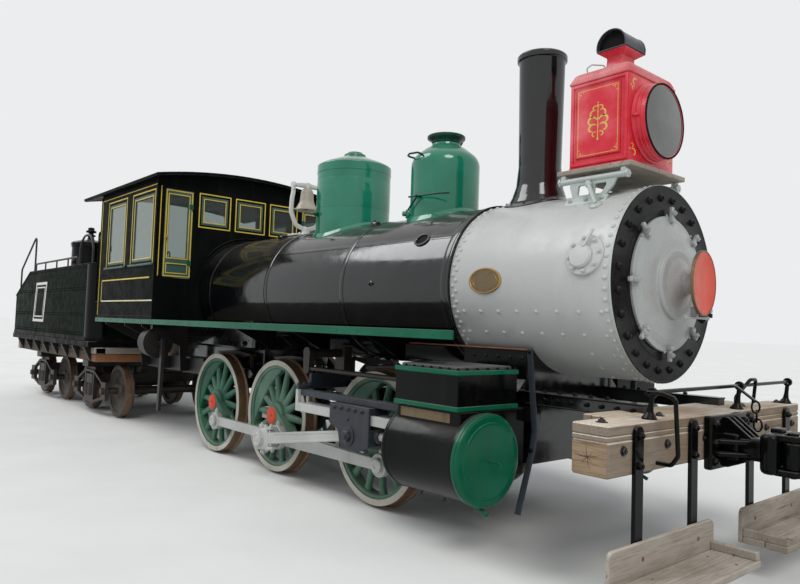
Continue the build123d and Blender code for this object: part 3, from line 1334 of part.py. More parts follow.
# Front beam with its irons, footboards and coupler
with BuildPart() as front_beam:
    block(BEAM_BACK, BEAM_FRONT, -BEAM_HALF, BEAM_HALF, BEAM_LOW, BEAM_HIGH)
    block(PLANK_BACK, BEAM_BACK, -PLANK_HALF, PLANK_HALF, BEAM_HIGH - 55.0, BEAM_HIGH)
    for side in SIDES:
        side_block(
            side, PLANK_BACK, BEAM_BACK, FRAME_IN, FRAME_OUT, FRONT_RAIL_Z, BEAM_HIGH, Mode.SUBTRACT
        )

IRON_FRONT = BEAM_FRONT + STRAP_THICK
with BuildPart() as beam_irons:
    for side in SIDES:
        for y in STRAP_Y:
            near = y - STRAP_WIDE / 2
            side_block(side, BEAM_FRONT, IRON_FRONT, near, near + STRAP_WIDE, STRAP_LOW, BEAM_HIGH - 14.0)
            side_block(
                side,
                IRON_FRONT - STRAP_THICK,
                IRON_FRONT + STEP_DEEP - 30.0,
                near,
                near + STRAP_WIDE,
                STEP_Z - STEP_THICK - 16.0,
                STEP_Z - STEP_THICK,
            )
            side_block(
                side,
                BEAM_FRONT,
                IRON_FRONT,
                near,
                near + STRAP_WIDE,
                STEP_Z - STEP_THICK - 16.0,
                STRAP_LOW,
            )

with BuildPart() as footboards:
    for side in SIDES:
        side_block(
            side,
            IRON_FRONT + 30.0,
            IRON_FRONT + 30.0 + STEP_DEEP,
            STEP_HALF_GAP,
            STEP_OUT,
            STEP_Z - STEP_THICK,
            STEP_Z,
        )
        side_block(
            side,
            IRON_FRONT,
            IRON_FRONT + 30.0,
            STEP_HALF_GAP,
            STEP_OUT,
            STEP_Z - STEP_THICK,
            STEP_Z + STEP_BOARD_TALL,
        )


def coupler(face, nose, forward):
    """A coupler's drawhead: pocket plate on the beam, shank and the guard arm of its jaw."""
    head = nose - forward * 300.0
    pivot_y = -forward * 95.0

    def ahead(x_near, x_far, y_low, y_high, z_low, z_high, mode=Mode.ADD):
        block(min(x_near, x_far), max(x_near, x_far), y_low, y_high, z_low, z_high, mode)

    with BuildPart() as drawhead:
        ahead(face, face + forward * 60.0, -COUPLER_POCKET_HALF, COUPLER_POCKET_HALF, 755.0, BEAM_HIGH)
        ahead(face, head, -85.0, 85.0, COUPLER_Z - 75.0, COUPLER_Z + 75.0)
        ahead(head, head + forward * 110.0, -190.0, 190.0, COUPLER_Z - 130.0, COUPLER_Z + 130.0)
        guard_low, guard_high = sorted((forward * 100.0, forward * 190.0))
        ahead(
            head + forward * 110.0,
            nose - forward * 30.0,
            guard_low,
            guard_high,
            COUPLER_Z - 130.0,
            COUPLER_Z + 130.0,
        )
        pivot_x = head + forward * 178.0
        for low in (COUPLER_Z - 130.0, COUPLER_Z + 90.0):
            ahead(
                head + forward * 110.0, pivot_x, pivot_y - KNUCKLE_R, pivot_y + KNUCKLE_R, low, low + 40.0
            )
            rod_along_z(pivot_x, pivot_y, KNUCKLE_R, low, low + 40.0)
        rod_along_z(pivot_x, pivot_y, 20.0, COUPLER_Z - 140.0, COUPLER_Z + 150.0)
    with BuildPart() as jaw:
        low = COUPLER_Z - 90.0 + PASS_GAP
        high = COUPLER_Z + 90.0 - PASS_GAP
        rod_along_z(pivot_x, pivot_y, KNUCKLE_R - 4.0, low, high)
        ahead(pivot_x, nose, pivot_y - 40.0, pivot_y + 40.0, low, high)
        hook_low, hook_high = sorted((pivot_y - forward * 40.0, pivot_y + forward * 130.0))
        ahead(nose - forward * 70.0, nose, hook_low, hook_high, low, high)
        rod_along_z(pivot_x, pivot_y, 20.0 + RUN_FIT, low, high, Mode.SUBTRACT)
    return drawhead, jaw


coupler_front, knuckle_front = coupler(BEAM_FRONT, FRONT_NOSE, 1)

# Tender underframe: wooden sills, deck, end beams, body bolsters and the drawbar
SILL_TOP = SILL_LOW + SILL_TALL
DECK_TOP = TANK_LOW
TENDER_FRONT = TANK_FRONT - 30.0
with BuildPart() as tender_frame:
    for side in SIDES:
        side_block(side, TANK_BACK, TENDER_FRONT, 1120.0, 1120.0 + SILL_WIDE, SILL_LOW, SILL_TOP)
        side_block(side, TANK_BACK, TENDER_FRONT, 180.0, 180.0 + SILL_WIDE, SILL_LOW, SILL_TOP)
    block(TENDER_FRONT - TENDER_BEAM_DEEP, TENDER_FRONT, -1280.0, 1280.0, SILL_LOW, SILL_TOP)
    block(TANK_BACK, TANK_BACK + TENDER_BEAM_DEEP, -1280.0, 1280.0, SILL_LOW, SILL_TOP)
    block(TANK_BACK, TENDER_FRONT, -TANK_HALF, TANK_HALF, SILL_TOP, DECK_TOP)
    for truck_x in TRUCK_X:
        block(truck_x - 150.0, truck_x + 150.0, -1120.0, 1120.0, 780.0, SILL_TOP)
        rod_along_z(truck_x, 0, CENTRE_PLATE_R, CENTRE_PLATE_Z, 780.0)
        rod_along_z(truck_x, 0, 40.0, CENTRE_PLATE_Z - 90.0, CENTRE_PLATE_Z)
    half_bar = DRAWBAR_THICK / 2
    block(TENDER_FRONT - 40.0, DRAW_PIN_X, -70.0, 70.0, DRAW_Z - half_bar, DRAW_Z + half_bar)
    rod_along_z(DRAW_PIN_X, 0, 100.0, DRAW_Z - half_bar, DRAW_Z + half_bar)
    rod_along_z(DRAW_PIN_X, 0, DRAW_PIN_R + RUN_FIT, DRAW_Z - half_bar, DRAW_Z + half_bar, Mode.SUBTRACT)

# Tank: legs each side of an open bunker, top sloping down to the rear
def tank_side(half):
    """The tank's side outline, level on top and sloping down behind."""
    corners = [
        (TANK_BACK, TANK_LOW, 0),
        (TANK_FRONT, TANK_LOW, 0),
        (TANK_FRONT, TANK_HIGH, 0),
        (SLOPE_TOP_X, TANK_HIGH, 0),
        (TANK_BACK, SLOPE_LOW_Z, 90.0),
    ]
    return outline(Plane.XZ.offset(-half), corners)


with BuildPart() as tender_tank:
    with BuildSketch(Plane.XY.offset(TANK_LOW)) as plan:
        with BuildLine():
            FilletPolyline(
                (TANK_BACK, -TANK_HALF),
                (TANK_FRONT, -TANK_HALF),
                (TANK_FRONT, TANK_HALF),
                (TANK_BACK, TANK_HALF),
                radius=[TANK_CORNER / 2, TANK_CORNER, TANK_CORNER, TANK_CORNER / 2],
                close=True,
            )
        make_face()
    extrude(plan.sketch, amount=TANK_HIGH - TANK_LOW)
    extrude(tank_side(TANK_HALF + 10.0), amount=2 * TANK_HALF + 20.0, mode=Mode.INTERSECT)
    block(BUNKER_BACK, TANK_FRONT, -BUNKER_HALF, BUNKER_HALF, BUNKER_LOW, TANK_HIGH, Mode.SUBTRACT)

# Filling turret with its domed lid, and the tank's rails
LID_Z = TANK_HIGH + TURRET_TALL
LID_HINGE_R = 16.0
LID_PIN_R = 8.0
LID_HINGE_Y = TURRET_Y + TURRET_R + 22.0
LID_HINGE_Z = LID_Z + LID_HINGE_R
with BuildPart() as filling_turret:
    rod_along_z(TURRET_X, TURRET_Y, TURRET_R - 20.0, TANK_HIGH, LID_Z)
    for x in (TURRET_X - 70.0, TURRET_X + 44.0):
        block(x, x + 26.0, TURRET_Y + 250.0, LID_HINGE_Y, LID_Z - 70.0, LID_HINGE_Z)
        rod_along_x(LID_HINGE_Y, LID_HINGE_Z, LID_HINGE_R, x, x + 26.0)
    near = TURRET_Y + 250.0
    far = LID_HINGE_Y + LID_HINGE_R
    block(TURRET_X - 70.0, TURRET_X + 70.0, near, far, LID_Z, LID_Z + 80.0, Mode.SUBTRACT)
    for x in (TURRET_X - 70.0, TURRET_X + 44.0):
        rod_along_x(LID_HINGE_Y, LID_HINGE_Z, LID_HINGE_R, x, x + 26.0)
        block(x, x + 26.0, LID_HINGE_Y - LID_HINGE_R, LID_HINGE_Y + LID_HINGE_R, LID_Z - 50.0, LID_HINGE_Z)
    rod_along_x(LID_HINGE_Y, LID_HINGE_Z, LID_PIN_R, TURRET_X - 60.0, TURRET_X + 60.0)
    rod_along_z(TURRET_X, TURRET_Y, TURRET_R - 45.0, TANK_HIGH + 20.0, LID_Z, Mode.SUBTRACT)

LID_RISE = 110.0
FINIAL = (
    (0.0, 30.0, 60.0),
    (60.0, 95.0, 78.0),
    (95.0, 130.0, 40.0),
    (130.0, 170.0, 88.0),
    (170.0, 230.0, 56.0),
)
with BuildPart() as turret_lid:
    turn_upright(
        TURRET_X,
        TURRET_Y,
        [
            (0, LID_Z + SET_GAP, 0),
            (TURRET_R, LID_Z + SET_GAP, 0),
            (TURRET_R, LID_Z + 60.0, 50.0),
            (70.0, LID_Z + LID_RISE, 0),
            (0, LID_Z + LID_RISE, 0),
        ],
    )
    rod_along_z(TURRET_X, TURRET_Y, 34.0, LID_Z + LID_RISE - 10.0, LID_Z + LID_RISE + 230.0)
    for low, high, radius in FINIAL:
        rod_along_z(TURRET_X, TURRET_Y, radius, LID_Z + LID_RISE + low, LID_Z + LID_RISE + high)
    back = TURRET_X - 38.0
    front = TURRET_X + 38.0
    top = LID_HINGE_Z + LID_HINGE_R
    block(back, front, TURRET_Y + 280.0, LID_HINGE_Y, LID_Z + SET_GAP, top)
    rod_along_x(LID_HINGE_Y, LID_HINGE_Z, LID_HINGE_R - SET_GAP, back, front)
    rod_along_x(LID_HINGE_Y, LID_HINGE_Z, LID_PIN_R + RUN_FIT, back, front, Mode.SUBTRACT)

RAIL_Y = TANK_HALF - 40.0
RAIL_Z = TANK_HIGH + 150.0
RAIL_POSTS = (-8320.0, -7650.0, -6900.0, -6200.0, -5660.0)
HOOP_BACK = -5540.0
HOOP_FRONT = -4860.0
HOOP_TOP = 2960.0
STAIR_BACK = -9480.0
STAIR_FRONT = -8420.0
STAIR_LOW = 2560.0
STAIR_HIGH = 3190.0


def tank_rails(side):
    """One side's rails: the sloping one at the back, the long one on its posts and the front hoop."""
    y = side * RAIL_Y
    foot = SLOPE_LOW_Z
    stair = [
        (STAIR_BACK, y, foot),
        (STAIR_BACK, y, STAIR_LOW),
        (STAIR_FRONT, y, STAIR_HIGH),
        (STAIR_FRONT, y, TANK_HIGH),
    ]
    hoop = [
        (HOOP_BACK, y, TANK_HIGH),
        (HOOP_BACK, y, HOOP_TOP),
        (HOOP_FRONT, y, HOOP_TOP),
        (HOOP_FRONT, y, TANK_HIGH),
    ]
    with BuildPart() as rails:
        pipe(stair, RAIL_R, 60.0)
        extrude(tank_side(TANK_HALF + 10.0), amount=2 * TANK_HALF + 20.0, mode=Mode.SUBTRACT)
        pipe(hoop, RAIL_R, 300.0)
        rod_along_x(y, RAIL_Z, RAIL_R, RAIL_POSTS[0] - 20.0, RAIL_POSTS[-1] + 20.0)
        for x in RAIL_POSTS:
            rod_along_z(x, y, RAIL_POST_R, TANK_HIGH, RAIL_Z)
    return rails


tender_rails = {side: tank_rails(side) for side in SIDES}

coupler_rear, knuckle_rear = coupler(TANK_BACK, REAR_NOSE, -1)


# Tender trucks: arch-bar side frames, bolster and wheel sets
def truck_frame(truck_x):
    """One truck's frame: arch bars, posts and boxes on each side, joined by the bolster."""
    half_base = TRUCK_BASE / 2
    box_low = TENDER_WHEEL_R - AXLE_BOX_HALF
    box_high = TENDER_WHEEL_R + AXLE_BOX_HALF
    near = TRUCK_Y - TRUCK_THICK / 2
    far = TRUCK_Y + TRUCK_THICK / 2
    with BuildPart() as frame:
        for side in SIDES:
            with BuildSketch(outboard(side, near, far)) as bars:
                for sign in (-1, 1):
                    box_x = truck_x + sign * half_base
                    with Locations((box_x, TENDER_WHEEL_R)):
                        Rectangle(2 * AXLE_BOX_HALF, 2 * AXLE_BOX_HALF)
                    upper = (box_high, box_high + ARCH_BAR, 690.0)
                    lower = (box_low - ARCH_BAR, box_low, 190.0)
                    for low, high, middle in (upper, lower):
                        with BuildLine():
                            Polyline(
                                (box_x + sign * AXLE_BOX_HALF, low),
                                (box_x + sign * AXLE_BOX_HALF, high),
                                (box_x - sign * AXLE_BOX_HALF, high),
                                (truck_x + sign * 230.0, middle + ARCH_BAR),
                                (truck_x, middle + ARCH_BAR),
                                (truck_x, middle),
                                (truck_x + sign * 230.0, middle),
                                (box_x - sign * AXLE_BOX_HALF, low),
                                close=True,
                            )
                        make_face()
                    with Locations((truck_x + sign * 210.0, 460.0)):
                        Rectangle(50.0, 540.0)
                with Locations(*[(truck_x + sign * half_base, TENDER_WHEEL_R) for sign in (-1, 1)]):
                    Circle(JOURNAL_R + RUN_FIT, mode=Mode.SUBTRACT)
            extrude(bars.sketch, amount=TRUCK_THICK)
            side_block(side, truck_x - 185.0, truck_x + 185.0, near, far, 228.0, 300.0)
            for sign in (-1, 1):
                rod_along_z(truck_x + sign * 95.0, side * TRUCK_Y, 74.0, 300.0, BOLSTER_TOP - 160.0)
        block(
            truck_x - BOLSTER_HALF, truck_x + BOLSTER_HALF, -far, far, BOLSTER_TOP - 160.0, BOLSTER_TOP
        )
        rod_along_z(truck_x, 0, CENTRE_PLATE_R, BOLSTER_TOP, CENTRE_PLATE_Z - SET_GAP)
        rod_along_z(truck_x, 0, 40.0 + RUN_FIT, CENTRE_PLATE_Z - 96.0, CENTRE_PLATE_Z, Mode.SUBTRACT)
    return frame


def tender_wheels(axle_x):
    """One tender wheel set: two disc wheels pressed on an axle that ends in journals."""
    with BuildPart() as wheels:
        for side in SIDES:
            back = side * (WHEEL_BACK + 34.0)
            out = side * (WHEEL_OUT - 34.0)
            hub = side * (WHEEL_OUT + 8.0)
            rim = TENDER_WHEEL_R - 78.0
            turn_across(
                axle_x,
                TENDER_WHEEL_R,
                [
                    (0, back, 0),
                    (0, hub, 0),
                    (120.0, hub, 0),
                    (150.0, out, 0),
                    (rim, out, 0),
                    (rim, side * WHEEL_OUT, 0),
                    (TENDER_WHEEL_R, side * WHEEL_OUT, 0),
                    (TENDER_WHEEL_R, side * (WHEEL_BACK + FLANGE_WIDTH), 0),
                    (TENDER_WHEEL_R + FLANGE_DEPTH, side * WHEEL_BACK, 0),
                    (rim, side * WHEEL_BACK, 0),
                    (rim, back, 0),
                ],
            )
        rod_along_y(axle_x, TENDER_WHEEL_R, TENDER_AXLE_R, -WHEEL_OUT, WHEEL_OUT)
        rod_along_y(axle_x, TENDER_WHEEL_R, JOURNAL_R, -JOURNAL_OUT, JOURNAL_OUT)
    return wheels


trucks = [truck_frame(truck_x) for truck_x in TRUCK_X]
tender_sets = [
    tender_wheels(truck_x + sign * TRUCK_BASE / 2) for truck_x in TRUCK_X for sign in (1, -1)
]

NODES = {
    "boiler": boiler,
    "smokebox": smokebox,
    "smokebox_ring": smokebox_ring,
    "smokebox_door": smokebox_door,
    "saddle": saddle,
    "stack": stack,
    "sand_dome": sand_dome,
    "steam_dome": steam_dome,
    "bell_stand": bell_stand,
    "bell": bell,
    "headlight_case": headlight_case,
    "headlight_door": headlight_door,
    "headlight_glass": headlight_glass,
    "headlight_shelf": headlight_shelf,
    "running_boards": running_boards,
    "cab_sides": cab_sides,
    "cab_front": cab_front,
    "cab_roof": cab_roof,
    "cab_floor": cab_floor,
    "cab_fittings": cab_fittings,
    "cab_glass": cab_glass,
    "cab_door_right": cab_doors[RIGHT],
    "cab_door_left": cab_doors[LEFT],
    "cylinders": cylinders,
    "steam_chests": steam_chests,
    "guides": guides,
    "valve_gear": valve_gear,
    "frame_bars": frame_bars,
    "drag_box": drag_box,
    "springs": springs,
    "brake_gear": brake_gear,
    "front_beam": front_beam,
    "beam_irons": beam_irons,
    "footboards": footboards,
    "coupler_front": coupler_front,
    "knuckle_front": knuckle_front,
    "drivers_front": drivers_front,
    "drivers_main": drivers_main,
    "drivers_rear": drivers_rear,
    "side_rod_right": side_rods[RIGHT],
    "side_rod_left": side_rods[LEFT],
    "main_rod_right": main_rods[RIGHT],
    "main_rod_left": main_rods[LEFT],
    "crosshead_right": crossheads[RIGHT],
    "crosshead_left": crossheads[LEFT],
    "tender_frame": tender_frame,
    "tender_tank": tender_tank,
    "filling_turret": filling_turret,
    "turret_lid": turret_lid,
    "tender_rails_right": tender_rails[RIGHT],
    "tender_rails_left": tender_rails[LEFT],
    "coupler_rear": coupler_rear,
    "knuckle_rear": knuckle_rear,
    "truck_front": trucks[0],
    "truck_rear": trucks[1],
    "tender_wheels_1": tender_sets[0],
    "tender_wheels_2": tender_sets[1],
    "tender_wheels_3": tender_sets[2],
    "tender_wheels_4": tender_sets[3],
}

set_down = Location((-BODY_MIDDLE, 0, FLANGE_DEPTH))
for node, piece in NODES.items():
    piece.part.move(set_down)
    piece.part.label = node
    export_step(piece.part, f"parts/{node}.step")
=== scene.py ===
import json
from math import cos, hypot, pi, radians, sin, sqrt

import bmesh
import bpy
import numpy as np
from mathutils import Matrix, Vector
from mathutils.geometry import tessellate_polygon


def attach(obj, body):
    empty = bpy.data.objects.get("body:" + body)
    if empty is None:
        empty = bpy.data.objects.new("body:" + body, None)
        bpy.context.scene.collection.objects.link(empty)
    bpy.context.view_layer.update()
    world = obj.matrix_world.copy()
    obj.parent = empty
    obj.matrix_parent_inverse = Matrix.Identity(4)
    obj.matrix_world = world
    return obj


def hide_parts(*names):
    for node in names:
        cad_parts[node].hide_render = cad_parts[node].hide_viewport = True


# The looks of a six-coupled steam switching locomotive and its slope-back tender. Pieces are drawn
# in metres from the main driving axle: X forward, Y to the left, Z up from the rail. SET_DOWN then
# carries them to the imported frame. Most running gear is drawn for the left side, with Y as the
# distance from the centre line, and mirrored.

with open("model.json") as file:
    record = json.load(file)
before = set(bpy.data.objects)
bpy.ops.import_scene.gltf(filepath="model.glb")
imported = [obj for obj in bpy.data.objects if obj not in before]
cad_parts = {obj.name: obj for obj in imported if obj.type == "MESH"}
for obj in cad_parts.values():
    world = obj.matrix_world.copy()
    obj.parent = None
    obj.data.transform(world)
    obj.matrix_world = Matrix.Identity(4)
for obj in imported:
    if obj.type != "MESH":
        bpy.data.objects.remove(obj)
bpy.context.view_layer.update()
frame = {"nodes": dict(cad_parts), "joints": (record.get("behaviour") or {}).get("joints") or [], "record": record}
DRIVER_R = 0.61
MAIN_AXLE = next(j["pos_m"] for j in frame["joints"] if j["name"] == "drivers_main_spin")
SET_DOWN = np.array(MAIN_AXLE) - (0.0, 0.0, DRIVER_R)


# Surfaces as arrays


class Skin:
    """Points, with faces of four corners and faces of three that join them."""

    def __init__(self, points, fours=(), threes=()):
        self.points = np.asarray(points, float).reshape(-1, 3)
        self.fours = np.asarray(fours, int).reshape(-1, 4)
        self.threes = np.asarray(threes, int).reshape(-1, 3)


def welded(points, fours, threes):
    """Points that share a place become one, and a face that loses a corner becomes a triangle."""
    key = np.round(np.asarray(points, float) * 1e6).astype(np.int64)
    first, back = np.unique(key, axis=0, return_index=True, return_inverse=True)[1:]
    back = back.reshape(-1)
    fours, threes = back[fours], back[threes].reshape(-1, 3)
    same = fours == np.roll(fours, -1, axis=1)
    lost = same.sum(axis=1)
    rows = fours[lost == 1]
    keep = (same[lost == 1].argmax(axis=1)[:, None] + 1 + np.arange(3)) % 4
    threes = np.vstack([threes, np.take_along_axis(rows, keep, axis=1)])
    real = (threes != np.roll(threes, -1, axis=1)).all(axis=1)
    return Skin(np.asarray(points)[first], fours[lost == 0], threes[real])


def skin(rows, wrap=True, ends=True):
    """A grid of points, each four neighbours a face. With wrap the last column joins the first,
    and with ends the first and last rows each close to their middle point."""
    rows = np.asarray(rows, float)
    count, width = rows.shape[:2]
    index = np.arange(count * width).reshape(count, width)
    if wrap:
        index = np.hstack([index, index[:, :1]])
    fours = np.stack([index[:-1, :-1], index[:-1, 1:], index[1:, 1:], index[1:, :-1]], axis=-1)
    points, threes = rows.reshape(-1, 3), np.zeros((0, 3), int)
    if ends:
        points = np.vstack([points, rows[0].mean(axis=0), rows[-1].mean(axis=0)])
        last = np.full(index.shape[1] - 1, count * width)
        threes = np.vstack([
            np.column_stack([index[0, 1:], index[0, :-1], last]),
            np.column_stack([index[-1, :-1], index[-1, 1:], last + 1]),
        ])
    return welded(points, fours.reshape(-1, 4), threes)


def eased(corners, steps=6, closed=True):
    """Corners whose last number is a rounding radius, each made an arc that meets both its sides.
    With t from 0 to 1, the arc is the mean of its start, the corner and its end, weighted (1 - t)
    squared, 2wt(1 - t) and t squared, where w is the sine of half the corner's angle."""
    corners = np.asarray(corners, float)
    spot, size = corners[:, :-1], corners[:, -1:]
    before, after = np.roll(spot, 1, axis=0) - spot, np.roll(spot, -1, axis=0) - spot
    before /= np.linalg.norm(before, axis=1, keepdims=True) + 1e-12
    after /= np.linalg.norm(after, axis=1, keepdims=True) + 1e-12
    half = np.arccos(np.clip((before * after).sum(axis=1, keepdims=True), -1, 1)) / 2
    reach = size / np.tan(np.maximum(half, 1e-3))
    if not closed:
        reach[[0, -1]] = 0
    t = np.linspace(0, 1, steps)[None, :, None]
    start, end = (spot + before * reach)[:, None], (spot + after * reach)[:, None]
    weight = np.sin(half)[:, :, None]
    shares = (1 - t) ** 2, 2 * weight * t * (1 - t), t**2
    path = (shares[0] * start + shares[1] * spot[:, None] + shares[2] * end) / sum(shares)
    path = path.reshape(-1, spot.shape[1])
    keep = np.linalg.norm(path - np.roll(path, 1, axis=0), axis=1) > 1e-6
    keep[0] = keep[0] or not closed
    return path[keep]


def turned(profile, axis="z", centre=(0, 0, 0), sides=72, closed=True):
    """A profile of (radius, height) carried round an axis: each point stands at radius times the
    cosine and the sine of the angle, at its height along the axis."""
    profile = np.asarray(profile, float)
    if closed:
        profile = np.vstack([profile, profile[:1]])
    angle = np.arange(sides) * 2 * pi / sides
    radius, height = profile[:, :1], np.repeat(profile[:, 1:], sides, axis=1)
    rows = np.stack([radius * np.cos(angle), radius * np.sin(angle), height], axis=-1)
    rows = np.roll(rows, {"z": 0, "x": 1, "y": 2}[axis], axis=-1)
    return skin(rows + np.asarray(centre, float), wrap=True, ends=False)


def drum(radius, low, high, axis="z", centre=(0, 0, 0), ease=0.004, sides=48):
    """A round bar or disc with its two edges eased by a small arc."""
    corners = [(0, low, 0), (radius, low, ease), (radius, high, ease), (0, high, 0)]
    return turned(eased(corners, 4), axis, centre, sides)


def hoop(inner, outer, low, high, axis="z", centre=(0, 0, 0), ease=0.003, sides=72):
    """A ring of rectangular section with eased edges."""
    corners = [(inner, low, ease), (outer, low, ease), (outer, high, ease), (inner, high, ease)]
    return turned(eased(corners, 4), axis, centre, sides)


def inset(loop, width):
    """Each corner of a closed outline moved along the mean of its two sides' inward normals, so
    that both sides move in by the width."""
    side = np.roll(loop, -1, axis=0) - loop
    side /= np.linalg.norm(side, axis=1, keepdims=True) + 1e-12
    normal = np.column_stack([-side[:, 1], side[:, 0]])
    prior = np.roll(normal, 1, axis=0)
    share = 1 + (normal * prior).sum(axis=1, keepdims=True)
    return loop + width * (normal + prior) / np.maximum(share, 0.4)


def plate(outline, low, high, axis="y", bevel=0.0, holes=()):
    """An outline carried straight from low to high along an axis, with its edges and its holes'
    edges taken off by a narrow flat. Both faces are triangles between the outline and the holes."""
    pivot = "xyz".index(axis)
    levels = (low, low + bevel, high - bevel, high) if bevel else (low, high)
    points, fours, base, faces, start = [], [], 0, [], 0
    for number, loop in enumerate((outline, *holes)):
        loop = np.asarray(loop, float)
        ahead = np.roll(loop, -1, axis=0)
        if (loop[:, 0] * ahead[:, 1] - ahead[:, 0] * loop[:, 1]).sum() < 0:
            loop = loop[::-1]
        small = inset(loop, -bevel if number else bevel)
        flats = (small, loop, loop, small) if bevel else (loop, loop)
        rows = [np.insert(flat, pivot, level, axis=1) for flat, level in zip(flats, levels)]
        wide = len(loop)
        index = base + np.arange(len(rows) * wide).reshape(len(rows), wide)
        index = np.hstack([index, index[:, :1]])
        fours += [np.stack([index[:-1, :-1], index[:-1, 1:], index[1:, 1:], index[1:, :-1]], -1)]
        points += rows
        faces.append((small, base, base + (len(rows) - 1) * wide))
        base += len(rows) * wide
    loops = [[Vector((*corner, 0.0)) for corner in small] for small, first, last in faces]
    caps = np.array(tessellate_polygon(loops), int)
    firsts = np.concatenate([first + np.arange(len(small)) for small, first, last in faces])
    lasts = np.concatenate([last + np.arange(len(small)) for small, first, last in faces])
    fours = np.concatenate([part.reshape(-1, 4) for part in fours])
    return Skin(np.vstack(points), fours, np.vstack([firsts[caps], lasts[caps][:, ::-1]]))


def panel(low, high, rounding=0.0, steps=5):
    """A rectangle between two corners, its own corners rounded."""
    (a, b), (c, d) = low, high
    corners = [(a, b), (c, b), (c, d), (a, d)]
    return eased([(*corner, rounding) for corner in corners], steps)


def slab(low, high, bevel=0.004):
    """A block between two corners with every edge taken off."""
    low, high = np.asarray(low, float), np.asarray(high, float)
    return plate(panel(low[:2], high[:2], bevel, 2), low[2], high[2], "z", bevel)


def surround(low, high, width, near, far, axis="y", rounding=0.0, bevel=0.0):
    """A flat frame round an opening, of one width."""
    low, high = np.asarray(low, float), np.asarray(high, float)
    outer = panel(low, high, rounding)
    inner = panel(low + width, high - width, max(rounding - width, 0.0))
    return plate(outer, near, far, axis, bevel, [inner])


def carried(section, path, guide=None, ends=True, closed=False):
    """A section of (across, above) carried along a path. Across is square to the path and to the
    guide, which is the normal of the path's best plane unless it is given."""
    path, section = np.asarray(path, float), np.asarray(section, float)
    if closed:
        run = np.roll(path, -1, axis=0) - np.roll(path, 1, axis=0)
    else:
        run = np.gradient(path, axis=0)
    run /= np.linalg.norm(run, axis=1, keepdims=True)
    if guide is None:
        guide = np.linalg.svd(path - path.mean(axis=0))[2][-1]
    across = np.cross(run, np.asarray(guide, float))
    across /= np.linalg.norm(across, axis=1, keepdims=True)
    above = np.cross(across, run)
    rows = path[:, None] + across[:, None] * section[:, :1] + above[:, None] * section[:, 1:]
    if closed:
        rows = np.concatenate([rows, rows[:1]])
    return skin(rows, wrap=True, ends=ends and not closed)


def circle(radius, sides=12):
    """Points round a circle."""
    angle = np.arange(sides) * 2 * pi / sides
    return radius * np.column_stack([np.cos(angle), np.sin(angle)])


def tube(path, radius, sides=12, closed=False):
    """A round bar along a path."""
    return carried(circle(radius, sides), path, closed=closed)


def bent(corners, radius, rounding, sides=12, steps=7):
    """A round bar through corners, each bend of one rounding."""
    corners = [(*corner, rounding) for corner in corners]
    return tube(eased(corners, steps, closed=False), radius, sides)


def strap(corners, width, thick, guide, rounding=0.02, steps=5):
    """A flat bar through corners; its width lies along the guide."""
    section = panel((-thick / 2, -width / 2), (thick / 2, width / 2), thick * 0.2, 3)
    corners = [(*corner, rounding) for corner in corners]
    return carried(section, eased(corners, steps, closed=False), guide)


def scatter(one, places, outward):
    """Copies of a small skin, its Z laid along outward at every place, all worked out at once."""
    places = np.atleast_2d(np.asarray(places, float))
    out = np.broadcast_to(np.asarray(outward, float), places.shape)
    out = out / np.linalg.norm(out, axis=1, keepdims=True)
    flat = np.abs(out[:, 2:]) > 0.9
    side = np.cross(out, np.where(flat, (1.0, 0, 0), (0, 0, 1.0)))
    side /= np.linalg.norm(side, axis=1, keepdims=True)
    turn = np.stack([side, np.cross(out, side), out], axis=2)
    points = np.einsum("nij,mj->nmi", turn, one.points) + places[:, None]
    step = (np.arange(len(places)) * len(one.points))[:, None, None]
    return Skin(points, one.fours[None] + step, one.threes[None] + step)


def rivets(places, outward, radius=0.012, height=None):
    """Round-headed rivets, each a small dome that sinks a little into its plate."""
    height = radius * 0.62 if height is None else height
    head = [(radius, -0.002), (radius * 0.93, height * 0.42), (radius * 0.55, height * 0.88)]
    return scatter(turned([*head, (0, height), (0, -0.002)], sides=8), places, outward)


def nuts(places, outward, radius=0.02, height=0.018, stud=True):
    """Six-sided nuts with a turned top edge, each with the end of its stud."""
    flats = [(radius, -0.002), (radius, height * 0.8), (radius * 0.86, height)]
    top = [(radius * 0.5, height), (radius * 0.46, height * 1.4), (0, height * 1.5)]
    profile = [*flats, *(top if stud else [(0, height)]), (0, -0.002)]
    return scatter(turned(profile, sides=6), places, outward)


def merged(skins):
    """Several skins as one."""
    step = np.cumsum([0] + [len(each.points) for each in skins])
    return Skin(
        np.vstack([each.points for each in skins]),
        np.vstack([each.fours + at for each, at in zip(skins, step)]),
        np.vstack([each.threes + at for each, at in zip(skins, step)]),
    )


def moved(one, along):
    """A skin carried along a straight line."""
    return Skin(one.points + np.asarray(along, float), one.fours, one.threes)


def tilted(one, axis, degrees, about=(0, 0, 0)):
    """A skin turned about an axis through a point."""
    turn = np.array(Matrix.Rotation(radians(degrees), 3, Vector(axis)))
    about = np.asarray(about, float)
    return Skin((one.points - about) @ turn.T + about, one.fours, one.threes)


def mirrored(one):
    """A skin reflected to the other side of the centre line, its faces turned to suit."""
    return Skin(one.points * (1, -1, 1), one.fours[:, ::-1], one.threes[:, ::-1])


def both(skins):
    """Skins and their reflections."""
    return [*skins, *(mirrored(one) for one in skins)]


def sided(side, skins):
    """Left-hand skins as they are, or reflected for the right-hand side."""
    return [mirrored(one) for one in skins] if side < 0 else list(skins)


def scaled(one, factors):
    """A skin drawn out along each axis by its own factor."""
    return Skin(one.points * factors, one.fours, one.threes)


def span(side, near, far):
    """Two distances from the centre line as Y on one side, the lower first."""
    return sorted((side * near, side * far))


def side_slab(side, low, high, bevel=0.004):
    """A slab drawn for the left-hand side, put on either side."""
    near, far = span(side, low[1], high[1])
    return slab((low[0], near, low[2]), (high[0], far, high[2]), bevel)


